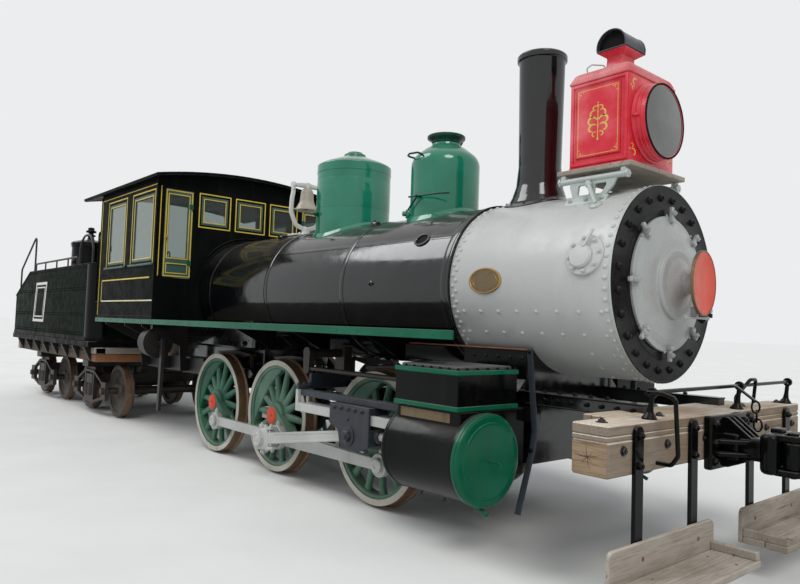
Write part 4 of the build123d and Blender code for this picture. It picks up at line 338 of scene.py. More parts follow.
def piece(name, body, coats, stands_for=(), crease=38):
    """One object from coats of (finish, skins): smooth where faces meet at under the crease angle,
    outward all over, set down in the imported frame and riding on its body."""
    coats = [(finish, merged(skins)) for finish, skins in coats]
    whole = merged([one for finish, one in coats])
    mesh = bpy.data.meshes.new(name)
    fours, threes = whole.fours.tolist(), whole.threes.tolist()
    mesh.from_pydata((whole.points + SET_DOWN).tolist(), [], fours + threes)
    order = np.arange(len(coats))
    kinds = np.concatenate([
        np.repeat(order, [len(one.fours) for finish, one in coats]),
        np.repeat(order, [len(one.threes) for finish, one in coats]),
    ])
    mesh.polygons.foreach_set("material_index", kinds.astype(np.int32))
    for finish, one in coats:
        mesh.materials.append(finish)
    work = bmesh.new()
    work.from_mesh(mesh)
    bmesh.ops.recalc_face_normals(work, faces=work.faces)
    work.to_mesh(mesh)
    work.free()
    mesh.polygons.foreach_set("use_smooth", np.ones(len(mesh.polygons), bool))
    mesh.set_sharp_from_angle(angle=radians(crease))
    made = bpy.data.objects.new(name, mesh)
    bpy.context.scene.collection.objects.link(made)
    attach(made, body)
    if stands_for:
        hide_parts(*stands_for)
    return made


# Finishes


def tone(red, green, blue):
    """A screen colour from 0 to 255 as the light that it stands for."""
    level = np.array([red, green, blue]) / 255
    light = np.where(level > 0.04045, ((level + 0.055) / 1.055) ** 2.4, level / 12.92)
    return (*light.tolist(), 1.0)


class Finish:
    """A material, built node by node on its own shader."""

    def __init__(self, name):
        self.material = bpy.data.materials.new(name)
        self.material.use_nodes = True
        self.tree = self.material.node_tree
        self.shader = self.tree.nodes["Principled BSDF"]
        self.place = self.tree.nodes.new("ShaderNodeTexCoord").outputs["Object"]
        self.shape = self.tree.nodes.new("ShaderNodeNewGeometry")

    def feed(self, socket, value):
        """A link where the value comes from a node, and a constant on the socket itself if not."""
        if isinstance(value, bpy.types.NodeSocket):
            self.tree.links.new(value, socket)
        else:
            socket.default_value = value

    def node(self, kind, inputs, **settings):
        """A shader node with its settings, fed by name."""
        made = self.tree.nodes.new("ShaderNode" + kind)
        for key, value in settings.items():
            setattr(made, key, value)
        for key, value in inputs.items():
            self.feed(made.inputs[key], value)
        return made

    def stretched(self, scale):
        """The object's own coordinates, scaled along each axis."""
        return self.node("Mapping", {"Vector": self.place, "Scale": scale}).outputs["Vector"]

    def noise(self, scale, detail=4.0, rough=0.55, stretch=None, bend=0.0):
        """Cloudy noise from 0 to 1, drawn out where a stretch is given."""
        place = self.stretched(stretch) if stretch else self.place
        inputs = {"Vector": place, "Scale": scale, "Detail": detail, "Roughness": rough}
        return self.node("TexNoise", {**inputs, "Distortion": bend}).outputs["Fac"]

    def spread(self, value, low, high, to_low=0.0, to_high=1.0, soft=True):
        """A value's span from low to high drawn out to another span."""
        inputs = {"Value": value, "From Min": low, "From Max": high}
        inputs |= {"To Min": to_low, "To Max": to_high}
        kind = "SMOOTHSTEP" if soft else "LINEAR"
        return self.node("MapRange", inputs, interpolation_type=kind).outputs["Result"]

    def maths(self, operation, first, second=0.5):
        """One sum, product or like result of two values."""
        return self.node("Math", {0: first, 1: second}, operation=operation).outputs[0]

    def mix(self, share, first, second):
        """The first colour where the share is 0, the second where it is 1."""
        return self.node("Mix", {0: share, 6: first, 7: second}, data_type="RGBA").outputs[2]

    def upward(self, low=0.35, high=0.95):
        """1 where the surface looks up, and 0 on its sides."""
        parts = self.node("SeparateXYZ", {"Vector": self.shape.outputs["Normal"]})
        return self.spread(parts.outputs["Z"], low, high)

    def bump(self, height, strength, distance):
        """Raised and sunk grain, added to what is there already."""
        inputs = {"Height": height, "Strength": strength, "Distance": distance}
        if self.shader.inputs["Normal"].is_linked:
            inputs["Normal"] = self.shader.inputs["Normal"].links[0].from_socket
        self.feed(self.shader.inputs["Normal"], self.node("Bump", inputs).outputs["Normal"])

    def set(self, **values):
        """Values or links for the shader's own inputs, by name."""
        for key, value in values.items():
            self.feed(self.shader.inputs[key.replace("_", " ")], value)


def painted(
    name, colour, faded, dirt, rough, fade=0.5, grime=0.35, dust=0.0, shine=1.45, metal=0.0, waves=0.25
):
    """Brushed or sprayed paint on metal: broad faded patches, rain streaks and fine grime in the
    colour, dust where it lies level, a slightly uneven gloss and the metal's faint waves."""
    made = Finish(name)
    broad = made.spread(made.noise(1.7, 5.0), 0.42, 0.66, 0.0, fade)
    streak = made.spread(made.noise(6.0, 5.0, 0.6, (1.0, 1.0, 0.12)), 0.52, 0.74, 0.0, grime)
    speck = made.spread(made.noise(42.0, 6.0, 0.68), 0.52, 0.76, 0.0, grime)
    shade = made.mix(broad, tone(*colour), tone(*faded))
    shade = made.mix(made.maths("MAXIMUM", streak, speck), shade, tone(*dirt))
    if dust:
        lying = made.maths(
            "MULTIPLY", made.upward(), made.spread(made.noise(5.0, 6.0), 0.3, 0.7, 0.2, dust)
        )
        shade = made.mix(lying, shade, tone(150, 146, 138))
    gloss = made.spread(made.noise(9.0, 6.0, 0.62), 0.34, 0.68, rough[0], rough[1])
    gloss = made.maths("ADD", gloss, made.maths("MULTIPLY", speck, 0.3))
    made.set(Base_Color=shade, Roughness=gloss, Metallic=metal, IOR=shine)
    made.bump(made.noise(260.0, 3.0), 0.05, 0.001)
    made.bump(made.noise(2.6, 2.0), waves, 0.004)
    return made.material


def rusted(name, metal_colour, rust, share, rough=(0.5, 0.8), metal=0.6):
    """Bare or thinly painted iron with rust bloom, pits and soot."""
    made = Finish(name)
    bloom = made.spread(made.noise(8.0, 8.0, 0.7), 0.5 - share * 0.25, 0.72, 0.0, 1.0)
    run = made.spread(made.noise(11.0, 6.0, 0.6, (1.0, 1.0, 0.1)), 0.55, 0.75, 0.0, share)
    grown = made.maths("MULTIPLY", made.maths("MAXIMUM", bloom, run), share)
    shade = made.mix(grown, tone(*metal_colour), tone(*rust))
    shade = made.mix(made.spread(made.noise(60.0, 5.0), 0.45, 0.8, 0.0, 0.6), shade, tone(28, 26, 24))
    made.set(
        Base_Color=shade, Roughness=made.spread(grown, 0.0, 1.0, rough[0], rough[1]),
        Metallic=made.spread(grown, 0.0, 0.6, metal, 0.0),
    )
    made.bump(made.noise(150.0, 5.0, 0.7), 0.16, 0.002)
    made.bump(grown, 0.12, 0.001)
    return made.material


def timber(name, pale, brown, dark, grain="Y", splits=0.6, sides=0.0):
    """Weathered timber: long fibres along the grain, broad bleached and stained lengths, dark drying splits that
    follow the fibres, and a raised grain. Faces that do not look up are darkened towards the dark tone by the
    sides share, as painted shade."""
    made = Finish(name)
    along = {"X": (0.05, 1.0, 1.0), "Y": (1.0, 0.05, 1.0)}[grain]
    fibre = made.noise(90.0, 6.0, 0.7, along, 0.3)
    broad = made.noise(3.2, 4.0, 0.6, tuple(0.35 if x < 1 else 1.0 for x in along))
    crack = made.noise(22.0, 3.0, 0.5, tuple(0.03 if x < 1 else 1.0 for x in along), 0.2)
    shade = made.mix(made.spread(broad, 0.38, 0.66), tone(*pale), tone(*brown))
    shade = made.mix(made.spread(fibre, 0.42, 0.75, 0.0, 0.55), shade, tone(*dark))
    opened = made.spread(crack, 0.66, 0.72, 0.0, splits)
    shade = made.mix(opened, shade, tone(38, 31, 26))
    stain = made.spread(made.noise(1.4, 5.0), 0.55, 0.75, 0.0, 0.45)
    shade = made.mix(stain, shade, tone(*dark))
    # painted shade: upright faces drawn towards the dark tone, as far as the sides share
    upright_painted_shade = made.maths("MULTIPLY", made.maths("SUBTRACT", 1.0, made.upward(0.3, 0.8)), sides)
    shade = made.mix(upright_painted_shade, shade, tone(*dark))
    made.set(Base_Color=shade, Roughness=made.spread(fibre, 0.3, 0.7, 0.72, 0.92))
    made.bump(fibre, 0.35, 0.003)
    made.bump(made.maths("SUBTRACT", 1.0, opened), 0.7, 0.008)
    return made.material


def glazed(name, tint, rough):
    """Old glass: nearly clear, with a film of dirt and a slight wave."""
    made = Finish(name)
    film = made.spread(made.noise(4.0, 6.0), 0.4, 0.75, rough, rough + 0.07)
    made.set(Base_Color=tone(*tint), Roughness=film, Transmission_Weight=0.9, IOR=1.2)
    made.bump(made.noise(3.0, 2.0), 0.12, 0.003)
    return made.material


boiler_black = painted(
    "boiler_black", (8, 9, 12), (15, 16, 19), (38, 37, 36), (0.08, 0.17), 0.6, 0.2, 0.14, 1.6, waves=0.5
)
cab_black = painted("cab_black", (12, 15, 14), (20, 24, 21), (36, 38, 34), (0.3, 0.5), 0.6, 0.3, 0.14, 1.07)
frame_black = painted(
    "frame_black", (12, 12, 13), (24, 23, 23), (52, 47, 41), (0.34, 0.6), 0.6, 0.45, 0.24, 1.12
)
chest_black = painted(
    "chest_black", (5, 6, 6), (10, 11, 12), (40, 39, 37), (0.1, 0.22), 0.5, 0.2, 0.15, 1.22, waves=0.5
)
ring_black = painted(
    "ring_black", (17, 17, 18), (26, 26, 27), (50, 49, 48), (0.2, 0.34), 0.5, 0.3, 0.1, 1.22, waves=0.5
)
smokebox_grey = painted(
    "smokebox_grey", (180, 182, 180), (192, 194, 192), (128, 124, 116), (0.3, 0.46), 0.7, 0.14, 0.12, 1.45,
    waves=0.4,
)
door_grey = painted(
    "door_grey", (158, 162, 161), (172, 176, 175), (118, 116, 110), (0.24, 0.4), 0.6, 0.14, 0.1, 1.45,
    waves=0.4,
)
# lit and shaded copies of one engine green: this darker copy is painted shade for the cylinder covers, chest bands
# and board edges
engine_green = painted(
    "engine_green", (0, 84, 58), (12, 100, 76), (30, 62, 48), (0.13, 0.25), 0.6, 0.2, 0.12, 1.28, waves=0.5
)
# painted light: the domes' lighter copy of the engine green, standing in for the sky's light on them
lit_dome_green = painted(
    "lit_dome_green", (10, 110, 84), (34, 130, 104), (36, 84, 66), (0.08, 0.16), 0.6, 0.2, 0.14, 1.58, waves=0.9
)
wheel_green = painted(
    "wheel_green", (40, 92, 72), (78, 122, 100), (48, 56, 44), (0.3, 0.5), 0.9, 0.5, 0.35, 1.3
)
main_green = painted(
    "main_green", (66, 104, 86), (98, 132, 112), (56, 60, 48), (0.3, 0.5), 0.9, 0.55, 0.3, 1.35
)
deep_green = painted(
    "deep_green", (6, 74, 52), (26, 96, 70), (40, 56, 44), (0.25, 0.42), 0.7, 0.35, 0.2, 1.3
)
lid_green = painted("lid_green", (14, 52, 42), (30, 72, 58), (40, 48, 42), (0.2, 0.36), 0.6, 0.35, 0.2, 1.3)
tender_green = painted(
    "tender_green", (10, 20, 14), (18, 30, 22), (34, 40, 34), (0.3, 0.48), 0.7, 0.25, 0.14, 1.05
)
lamp_red = painted(
    "lamp_red", (206, 30, 50), (230, 112, 122), (138, 34, 40), (0.22, 0.38), 0.9, 0.2, 0.5, 1.45
)
lamp_roof = painted(
    "lamp_roof", (196, 66, 76), (206, 124, 122), (120, 46, 50), (0.35, 0.55), 0.9, 0.5, 0.3, 1.4
)
disc_orange = painted(
    "disc_orange", (206, 66, 44), (214, 84, 60), (150, 60, 44), (0.3, 0.42), 0.5, 0.15, 0.0, 1.3
)
axle_orange = painted(
    "axle_orange", (204, 62, 38), (212, 84, 56), (110, 56, 40), (0.35, 0.5), 0.6, 0.3, 0.0, 1.3
)
tyre_white = painted("tyre_white", (172, 170, 158), (194, 192, 182), (116, 98, 78), (0.4, 0.6), 0.8, 0.6)
line_yellow = painted("line_yellow", (206, 178, 58), (216, 192, 84), (120, 104, 60), (0.35, 0.5), 0.6, 0.35)
line_cream = painted("line_cream", (212, 202, 158), (220, 212, 176), (130, 120, 96), (0.35, 0.5), 0.6, 0.35)
gold_leaf = painted("gold_leaf", (210, 172, 78), (226, 196, 112), (140, 104, 52), (0.3, 0.42), 0.6, 0.25)
sash_green = painted(
    "sash_green", (58, 84, 78), (80, 104, 96), (52, 62, 54), (0.35, 0.5), 0.7, 0.35, 0.0, 1.3
)
brass = painted("brass", (170, 134, 78), (150, 116, 66), (84, 64, 42), (0.28, 0.46), 0.6, 0.5, metal=0.8)
dark_brass = painted(
    "dark_brass", (112, 96, 72), (128, 112, 88), (62, 52, 40), (0.4, 0.6), 0.6, 0.6, metal=0.5
)
rod_steel = painted(
    "rod_steel", (170, 172, 169), (186, 188, 185), (112, 104, 92), (0.32, 0.5), 0.7, 0.3, 0.2, metal=0.2
)
guide_blue = painted(
    "guide_blue", (38, 44, 52), (52, 60, 68), (88, 70, 48), (0.28, 0.46), 0.7, 0.4, 0.2, 1.35
)
bell_paint = painted(
    "bell_paint", (164, 152, 138), (190, 180, 168), (100, 86, 72), (0.32, 0.5), 0.9, 0.55, 0.2
)
white_paint = painted(
    "white_paint", (206, 206, 202), (218, 218, 216), (132, 126, 116), (0.4, 0.55), 0.6, 0.35
)
hood_grey = painted("hood_grey", (46, 48, 56), (70, 72, 80), (96, 92, 88), (0.25, 0.45), 0.7, 0.5, 0.2)
bracket_grey = painted(
    "bracket_grey", (172, 180, 176), (190, 196, 192), (112, 112, 106), (0.35, 0.5), 0.7, 0.35, 0.2
)
tread_grey = painted(
    "tread_grey", (78, 80, 82), (98, 100, 102), (60, 56, 50), (0.3, 0.5), 0.7, 0.5, 0.2, metal=0.2
)
# soot, and painted shade where dark pieces stand in for shaded hollows
soot_and_shade = painted("soot_and_shade", (12, 11, 11), (22, 21, 20), (34, 31, 29), (0.6, 0.85), 0.6, 0.5, 0.0, 1.2)
seat_brown = painted("seat_brown", (62, 46, 34), (78, 60, 46), (40, 32, 26), (0.5, 0.7), 0.6, 0.4)
iron_black = rusted("iron_black", (15, 15, 16), (62, 46, 34), 0.3, (0.45, 0.75), 0.05)
brown_iron = rusted("brown_iron", (30, 27, 25), (76, 55, 40), 0.45, (0.5, 0.85), 0.1)
worn_tread = rusted("worn_tread", (112, 92, 70), (118, 82, 52), 0.6, (0.35, 0.7), 0.4)
wheel_face = rusted("wheel_face", (46, 44, 42), (92, 66, 46), 0.5, (0.5, 0.8), 0.1)
rust_edge = rusted("rust_edge", (112, 70, 48), (140, 86, 56), 0.9, (0.6, 0.85), 0.1)
# sides: how far upright faces are darkened, as painted shade
old_wood = timber("old_wood", (214, 202, 186), (178, 156, 132), (92, 76, 58), sides=0.78)
end_wood = timber("end_wood", (150, 128, 102), (108, 88, 66), (58, 46, 36), "X", 0.9)
board_wood = timber("board_wood", (190, 181, 170), (158, 146, 132), (98, 88, 78), sides=0.35)
dark_timber = timber("dark_timber", (82, 66, 52), (66, 52, 42), (36, 30, 26), "X", 0.5)
sill_timber = timber("sill_timber", (150, 100, 62), (122, 80, 52), (70, 50, 36))
window_glass = glazed("window_glass", (140, 150, 146), 0.0)


def lens():
    """The lamp's glass: a dark mirror behind a clear face, with paler patches in its colour as a painted
    reflection of the sky.
    """
    made = Finish("lamp_glass")
    # painted reflection: noise patches that lighten the glass's colour
    painted_sky_glint = made.spread(made.noise(3.0, 5.0), 0.4, 0.7, 0.0, 0.5)
    made.set(Base_Color=made.mix(painted_sky_glint, tone(66, 69, 68), tone(104, 104, 100)), Metallic=0.75)
    made.set(Roughness=made.spread(made.noise(8.0, 6.0), 0.35, 0.7, 0.08, 0.24), Coat_Weight=1.0)
    made.bump(made.noise(5.0, 2.0), 0.15, 0.003)
    return made.material


lamp_glass = lens()
silvering = painted(
    "silvering", (186, 188, 184), (204, 206, 202), (132, 122, 104), (0.08, 0.2), 0.6, 0.3, metal=0.9
)
SLOT_FINISH = {
    "boiler_black": boiler_black, "smokebox_grey": smokebox_grey, "engine_green": engine_green,
    "wheel_green": wheel_green, "cab_black": cab_black, "tender_green": tender_green, "lamp_red": lamp_red,
    "iron_black": iron_black, "rod_steel": rod_steel, "guide_blue": guide_blue, "brown_iron": brown_iron,
    "bell_paint": bell_paint, "old_wood": old_wood, "dark_timber": dark_timber,
    "window_glass": window_glass, "lamp_glass": lamp_glass,
}
for part in frame["record"]["subparts"]:
    node = frame["nodes"][part["node"]]
    node.data.materials.clear()
    node.data.materials.append(SLOT_FINISH[part["material_slot"]])


# Running gear, drawn on the left with Y as the distance from the centre line

AXLES = {"drivers_front": 1.741, "drivers_main": 0.0, "drivers_rear": -1.445}
CRANK_R = 0.305
CRANK_ANGLE = {-1: -41.0, 1: 49.0}
WHEEL_BACK, WHEEL_OUT = 0.6765, 0.8165
RIM_IN, TYRE_IN = 0.514, 0.548
SPOKE_OUT, SPOKE_IN = 0.7865, 0.7125
SIDE_ROD_IN, SIDE_ROD_OUT = 0.868, 0.946
MAIN_ROD_IN, MAIN_ROD_OUT = 1.046, 1.138
SIDE_PIN_R, MAIN_PIN_R = 0.0505, 0.0685
SPOKES, WEIGHT_HALF_ANGLE = 14, 57
CYL_BACK, CYL_Y, CYL_Z = 2.575, 1.093, 0.701
RIGHT_WRIST_X, WRIST_Z, PISTON_END = 1.862, 0.672, 3.17


def crank(side, axle_x=0.0):
    """Where a crank pin's centre stands, in X and Z."""
    angle = radians(CRANK_ANGLE[side])
    return axle_x + CRANK_R * cos(angle), DRIVER_R + CRANK_R * sin(angle)


def arc(centre, radius, start, end, steps=24):
    """Points along an arc, in degrees."""
    angle = np.radians(np.linspace(start, end, steps))
    return np.asarray(centre) + radius * np.column_stack([np.cos(angle), np.sin(angle)])


def spoke(axle_x, degrees):
    """One spoke: an oval section square to the wheel's radius. Its half width falls from hub to rim
    and flares at both ends by a bell curve, and its depth eases with it."""
    radius = np.linspace(0.135, RIM_IN + 0.008, 15)[:, None]
    share = (radius - 0.15) / (RIM_IN - 0.15)
    at_hub, at_rim = ((radius - 0.14) / 0.035) ** 2, ((radius - RIM_IN) / 0.024) ** 2
    flare = 0.02 * np.exp(-at_hub) + 0.022 * np.exp(-at_rim)
    half = 0.047 - 0.018 * share + flare
    deep = 0.036 - 0.007 * share
    turn = np.arange(16) * pi / 8
    side = half * np.sign(np.cos(turn)) * np.abs(np.cos(turn)) ** 0.85
    out = (SPOKE_OUT + SPOKE_IN) / 2 + deep * np.sign(np.sin(turn)) * np.abs(np.sin(turn)) ** 0.75
    c, s = cos(radians(degrees)), sin(radians(degrees))
    rows = np.stack([axle_x + radius * c - side * s, out, DRIVER_R + radius * s + side * c], axis=-1)
    return skin(rows)


def wheel_coats(side, node):
    """One driving wheel's skins by finish: tyre, rim, spokes, hub, weight, boss, axle end and pin."""
    axle_x = AXLES[node]
    centre = (axle_x, 0, DRIVER_R)
    pin = crank(side, axle_x)
    angle = CRANK_ANGLE[side]
    tread = [
        (TYRE_IN, WHEEL_BACK, 0), (0.622, WHEEL_BACK, 0.01), (0.635, WHEEL_BACK + 0.012, 0.009),
        (0.6325, WHEEL_BACK + 0.024, 0.009), (0.611, WHEEL_BACK + 0.036, 0.012),
        (0.608, WHEEL_OUT - 0.004, 0.004), (0.6, WHEEL_OUT - 0.001, 0), (TYRE_IN, WHEEL_OUT - 0.001, 0),
    ]
    face = [(TYRE_IN + 0.002, WHEEL_OUT - 0.004), (0.606, WHEEL_OUT - 0.004), (0.605, WHEEL_OUT - 0.0004)]
    face += [(0.601, WHEEL_OUT), (TYRE_IN + 0.002, WHEEL_OUT)]
    rim = [
        (RIM_IN, WHEEL_BACK + 0.006, 0.006), (TYRE_IN, WHEEL_BACK + 0.006, 0),
        (TYRE_IN, WHEEL_OUT - 0.007, 0.003), (RIM_IN + 0.01, WHEEL_OUT - 0.009, 0.006),
        (RIM_IN, WHEEL_OUT - 0.022, 0.006),
    ]
    hub = [
        (0.0, WHEEL_BACK, 0), (0.15, WHEEL_BACK, 0.004), (0.15, WHEEL_OUT + 0.006, 0.012),
        (0.118, WHEEL_OUT + 0.012, 0.006), (0.112, WHEEL_OUT + 0.02, 0.004), (0.0, WHEEL_OUT + 0.02, 0),
    ]
    end = [(0, 0.86), (0.096, 0.86), (0.096, 0.8655), (0.093, 0.8675), (0.016, 0.8675), (0.0, 0.866)]
    start, stop = angle + 180 - WEIGHT_HALF_ANGLE, angle + 180 + WEIGHT_HALF_ANGLE
    opposite = radians(angle + 180)
    middle = np.array([axle_x, DRIVER_R]) + 0.35 * np.array([cos(opposite), sin(opposite)])
    outer = arc((axle_x, DRIVER_R), RIM_IN + 0.004, start, stop, 40)
    chord = outer[-1] + (outer[0] - outer[-1]) * np.linspace(0, 1, 22)[1:-1, None]
    lift = (1 - np.linspace(-1, 1, 22)[1:-1] ** 2)[:, None]
    crescent = np.vstack([outer, chord + (middle - (outer[0] + outer[-1]) / 2) * lift])
    away = np.array([pin[0] - axle_x, pin[1] - DRIVER_R]) / CRANK_R
    tip = np.degrees(np.arctan2(away[1], away[0]))
    boss = np.vstack([
        arc((axle_x, DRIVER_R), 0.108, tip + 90, tip + 270), arc(pin, 0.108, tip - 90, tip + 90)
    ])
    at_pin = (pin[0], 0, pin[1])
    steel = []
    if node == "drivers_main":
        steel += [drum(0.068, 0.86, 1.032, "y", at_pin)]
        steel += [hoop(0.06, 0.102, 0.953, 1.034, "y", at_pin)]
    else:
        steel += [drum(0.05, 0.86, 0.958, "y", at_pin)]
        cap = [(0, 0.952, 0), (0.066, 0.952, 0.003), (0.066, 0.974, 0.006), (0.05, 0.982, 0.003)]
        cap += [(0.024, 0.982, 0), (0.02, 0.975, 0), (0, 0.975, 0)]
        steel += [turned(eased(cap, 3), "y", at_pin, 36)]
    return {
        "tread": [turned(eased(tread, 5), "y", centre, 112)], "face": [turned(face, "y", centre, 112)],
        "paint": [
            turned(eased(rim, 4), "y", centre, 112),
            *(spoke(axle_x, angle + (number + 0.5) * 360 / SPOKES) for number in range(SPOKES)),
            turned(eased(hub, 4), "y", centre, 56),
        ],
        "weight": [plate(crescent, SPOKE_IN, SPOKE_OUT + 0.004, "y", 0.01)],
        "boss": [plate(boss, SPOKE_IN, 0.862, "y", 0.01)], "end": [turned(end, "y", centre, 40)],
        "dot": [drum(0.013, 0.8655, 0.8685, "y", centre, 0.001, 16)], "steel": steel,
    }


for node, axle_x in AXLES.items():
    paint = wheel_green if node == "drivers_rear" else main_green
    groups = [wheel_coats(side, node) for side in (-1, 1)]

    def group(key):
        """One finish's skins on both wheels."""
        return [one for side, made in zip((-1, 1), groups) for one in sided(side, made[key])]

    axle = [drum(0.092, -WHEEL_BACK - 0.01, WHEEL_BACK + 0.01, "y", (axle_x, 0, DRIVER_R))]
    if node == "drivers_main":
        for y in (-0.3, 0.3):
            axle += [hoop(0.09, 0.2, y - 0.04, y + 0.04, "y", (axle_x, 0, DRIVER_R), 0.008)]
    weight = deep_green if node == "drivers_rear" else paint
    piece(
        node + "_wheels", node,
        [
            (paint, group("paint") + group("boss")), (tyre_white, group("face")),
            (worn_tread, group("tread")), (weight, group("weight")), (axle_orange, group("end")),
            (rod_steel, group("steel")), (iron_black, axle + group("dot")),
        ],
        [node],
    )


def rod_eye(x, z, radius, bush, low, high, cup=True):
    """One rod's eye: a thick disc with a sunk ring round its bush, and an oil cup on top."""
    corners = [
        (bush, low, 0), (radius, low, 0.008), (radius, high, 0.008), (radius * 0.86, high, 0.002),
        (radius * 0.83, high - 0.004, 0.001), (bush + 0.012, high - 0.004, 0.001),
        (bush + 0.009, high, 0.002), (bush, high, 0),
    ]
    made = [turned(eased(corners, 4), "y", (x, 0, z), 56)]
    if cup:
        profile = [(0, -0.01), (0.024, -0.01), (0.024, 0.028), (0.019, 0.033), (0.012, 0.034)]
        profile += [(0.011, 0.05), (0, 0.052)]
        made += [turned(profile, "z", (x, (low + high) / 2, z + radius), 20)]
    return made


for side, name in ((-1, "right"), (1, "left")):
    main_x, pin_z = crank(side)
    front_x, rear_x = main_x + AXLES["drivers_front"], main_x + AXLES["drivers_rear"]
    bars = [
        [
            (rear_x, pin_z - 0.052), (main_x, pin_z - 0.056), (main_x, pin_z + 0.056),
            (rear_x, pin_z + 0.052),
        ],
        [
            (main_x, pin_z - 0.069), (front_x, pin_z - 0.052), (front_x, pin_z + 0.052),
            (main_x, pin_z + 0.069),
        ],
    ]
    rod = [plate(bar, SIDE_ROD_IN + 0.01, SIDE_ROD_OUT - 0.01, "y", 0.007) for bar in bars]
    rod += rod_eye(front_x, pin_z, 0.104, SIDE_PIN_R, SIDE_ROD_IN, SIDE_ROD_OUT)
    rod += rod_eye(rear_x, pin_z, 0.104, SIDE_PIN_R, SIDE_ROD_IN, SIDE_ROD_OUT)
    rod += rod_eye(main_x, pin_z, 0.128, MAIN_PIN_R, SIDE_ROD_IN, SIDE_ROD_OUT)
    node = "side_rod_" + name
    knuckle = (main_x + 0.27, 0, pin_z)
    rod += [drum(0.04, SIDE_ROD_IN + 0.004, SIDE_ROD_OUT - 0.003, "y", knuckle, 0.004, 32)]
    piece(node + "_steel", node, [(rod_steel, sided(side, rod))], [node])

    reach = hypot(RIGHT_WRIST_X - crank(-1)[0], WRIST_Z - crank(-1)[1])
    wrist = main_x + sqrt(reach**2 - (WRIST_Z - pin_z) ** 2)
    rise = np.degrees(np.arcsin((WRIST_Z - pin_z) / reach))
    middle = (MAIN_ROD_IN + MAIN_ROD_OUT) / 2
    low, high = middle - 0.028, middle + 0.028
    bar = [(0.08, -0.058), (reach - 0.05, -0.047), (reach - 0.05, 0.047), (0.08, 0.058)]
    groove = [(0.26, -0.03), (reach - 0.16, -0.022), (reach - 0.16, 0.022), (0.26, 0.03)]
    rod = [plate(bar, low, high - 0.005, "y", 0.006), plate(bar, low + 0.01, high, "y", 0.006, [groove])]
    block = panel((-0.112, -0.107), (0.138, 0.107), 0.046, 6)
    rod += [plate(block, MAIN_ROD_IN, MAIN_ROD_OUT - 0.004, "y", 0.008)]
    block = panel((-0.125, -0.107), (0.11, 0.107), 0.07, 8)
    rod += [plate(block, MAIN_ROD_IN + 0.006, MAIN_ROD_OUT, "y", 0.007)]
    rod += [slab((0.12, MAIN_ROD_IN + 0.012, -0.125), (0.15, MAIN_ROD_OUT - 0.012, 0.125), 0.005)]
    rod += [slab((0.182, low - 0.004, -0.08), (0.204, high + 0.004, 0.08), 0.004)]
    for z in (-0.116, 0.086):
        rod += [slab((0.05, MAIN_ROD_IN + 0.004, z), (0.23, MAIN_ROD_OUT - 0.01, z + 0.03))]
    for x in (0.075, 0.185):
        for z, way in ((-0.116, -1), (0.116, 1)):
            rod += [nuts([(x, middle, z)], (0, 0, way), 0.024, 0.02)]
    cup = [(0, -0.01), (0.03, -0.01), (0.034, 0.04), (0.028, 0.046), (0.012, 0.05), (0.01, 0.062)]
    cup += [(0, 0.064)]
    oiler = turned(cup, "z", (0.0, middle, 0.105), 20)
    rod += [oiler, tilted(oiler, (0, 1, 0), 180, (0, middle, 0))]
    cap = [(0, 0.0), (0.084, 0.0), (0.084, 0.012), (0.074, 0.014), (0.074, 0.03), (0.07, 0.034)]
    cap += [(0.05, 0.034), (0.046, 0.029), (0.03, 0.029), (0.026, 0.034), (0, 0.034)]
    rod += [turned([(r, h + MAIN_ROD_OUT) for r, h in cap], "y", sides=44)]
    rod += rod_eye(reach, 0, 0.082, 0.0, low - 0.001, high + 0.001, False)
    rod = [moved(tilted(one, (0, 1, 0), -rise), (main_x, 0, pin_z)) for one in rod]
    node = "main_rod_" + name
    piece(node + "_steel", "crosshead_" + name, [(rod_steel, sided(side, rod))], [node])

    near, far = 0.983, 1.201
    back, front = wrist - 0.294, wrist + 0.277
    cheek = [
        (back, 0.922, 0.012), (back, 0.751, 0.02), (wrist - 0.16, 0.712, 0.06),
        (wrist - 0.124, 0.548, 0.09), (wrist + 0.124, 0.548, 0.09), (front, 0.609, 0.03),
        (front, 0.922, 0.012),
    ]
    cheeks = [plate(eased(cheek), far - 0.024, far, "y", 0.005)]
    cheeks += [plate(eased(cheek), near, near + 0.024, "y", 0.005)]
    cheeks += [slab((back + 0.001, near + 0.002, 0.878), (front - 0.001, far - 0.002, 0.938))]
    cheeks += [slab((wrist + 0.112, near + 0.002, 0.612), (front - 0.001, far - 0.002, 0.751), 0.004)]
    cheeks += [nuts([(back + 0.075 + 0.1 * step, far, 0.9) for step in range(5)], (0, 1, 0), 0.019, 0.016)]
    cheeks += [nuts([(wrist - 0.02, far, 0.812)], (0, 1, 0), 0.014, 0.01, False)]
    rings = [(0, 0.0), (0.085, 0.0), (0.085, 0.008), (0.078, 0.011), (0, 0.011)]
    cheeks += [turned([(r, h + far) for r, h in rings], "y", (wrist, 0, WRIST_Z), 44)]
    cheeks += [nuts([(wrist, far + 0.01, WRIST_Z)], (0, 1, 0), 0.05, 0.03)]
    steel = [drum(0.04, near + 0.004, far - 0.004, "y", (wrist, 0, WRIST_Z))]
    for start, end in ((near + 0.02, low - 0.002), (high + 0.002, far - 0.02)):
        steel += [drum(0.074, start, end, "y", (wrist, 0, WRIST_Z))]
    piston = [drum(
        0.038, front - 0.01, wrist + PISTON_END - RIGHT_WRIST_X, "x", (0, CYL_Y, CYL_Z), 0.003, 40
    )]
    neck = [(0, front - 0.01, 0), (0.064, front - 0.01, 0), (0.058, front + 0.05, 0.02)]
    neck += [(0, front + 0.05, 0)]
    cheeks += [turned(eased(neck, 5), "x", (0, CYL_Y, CYL_Z), 40)]
    node = "crosshead_" + name
    piece(
        node + "_iron", node, [(guide_blue, sided(side, cheeks)), (rod_steel, sided(side, steel + piston))],
        [node],
    )

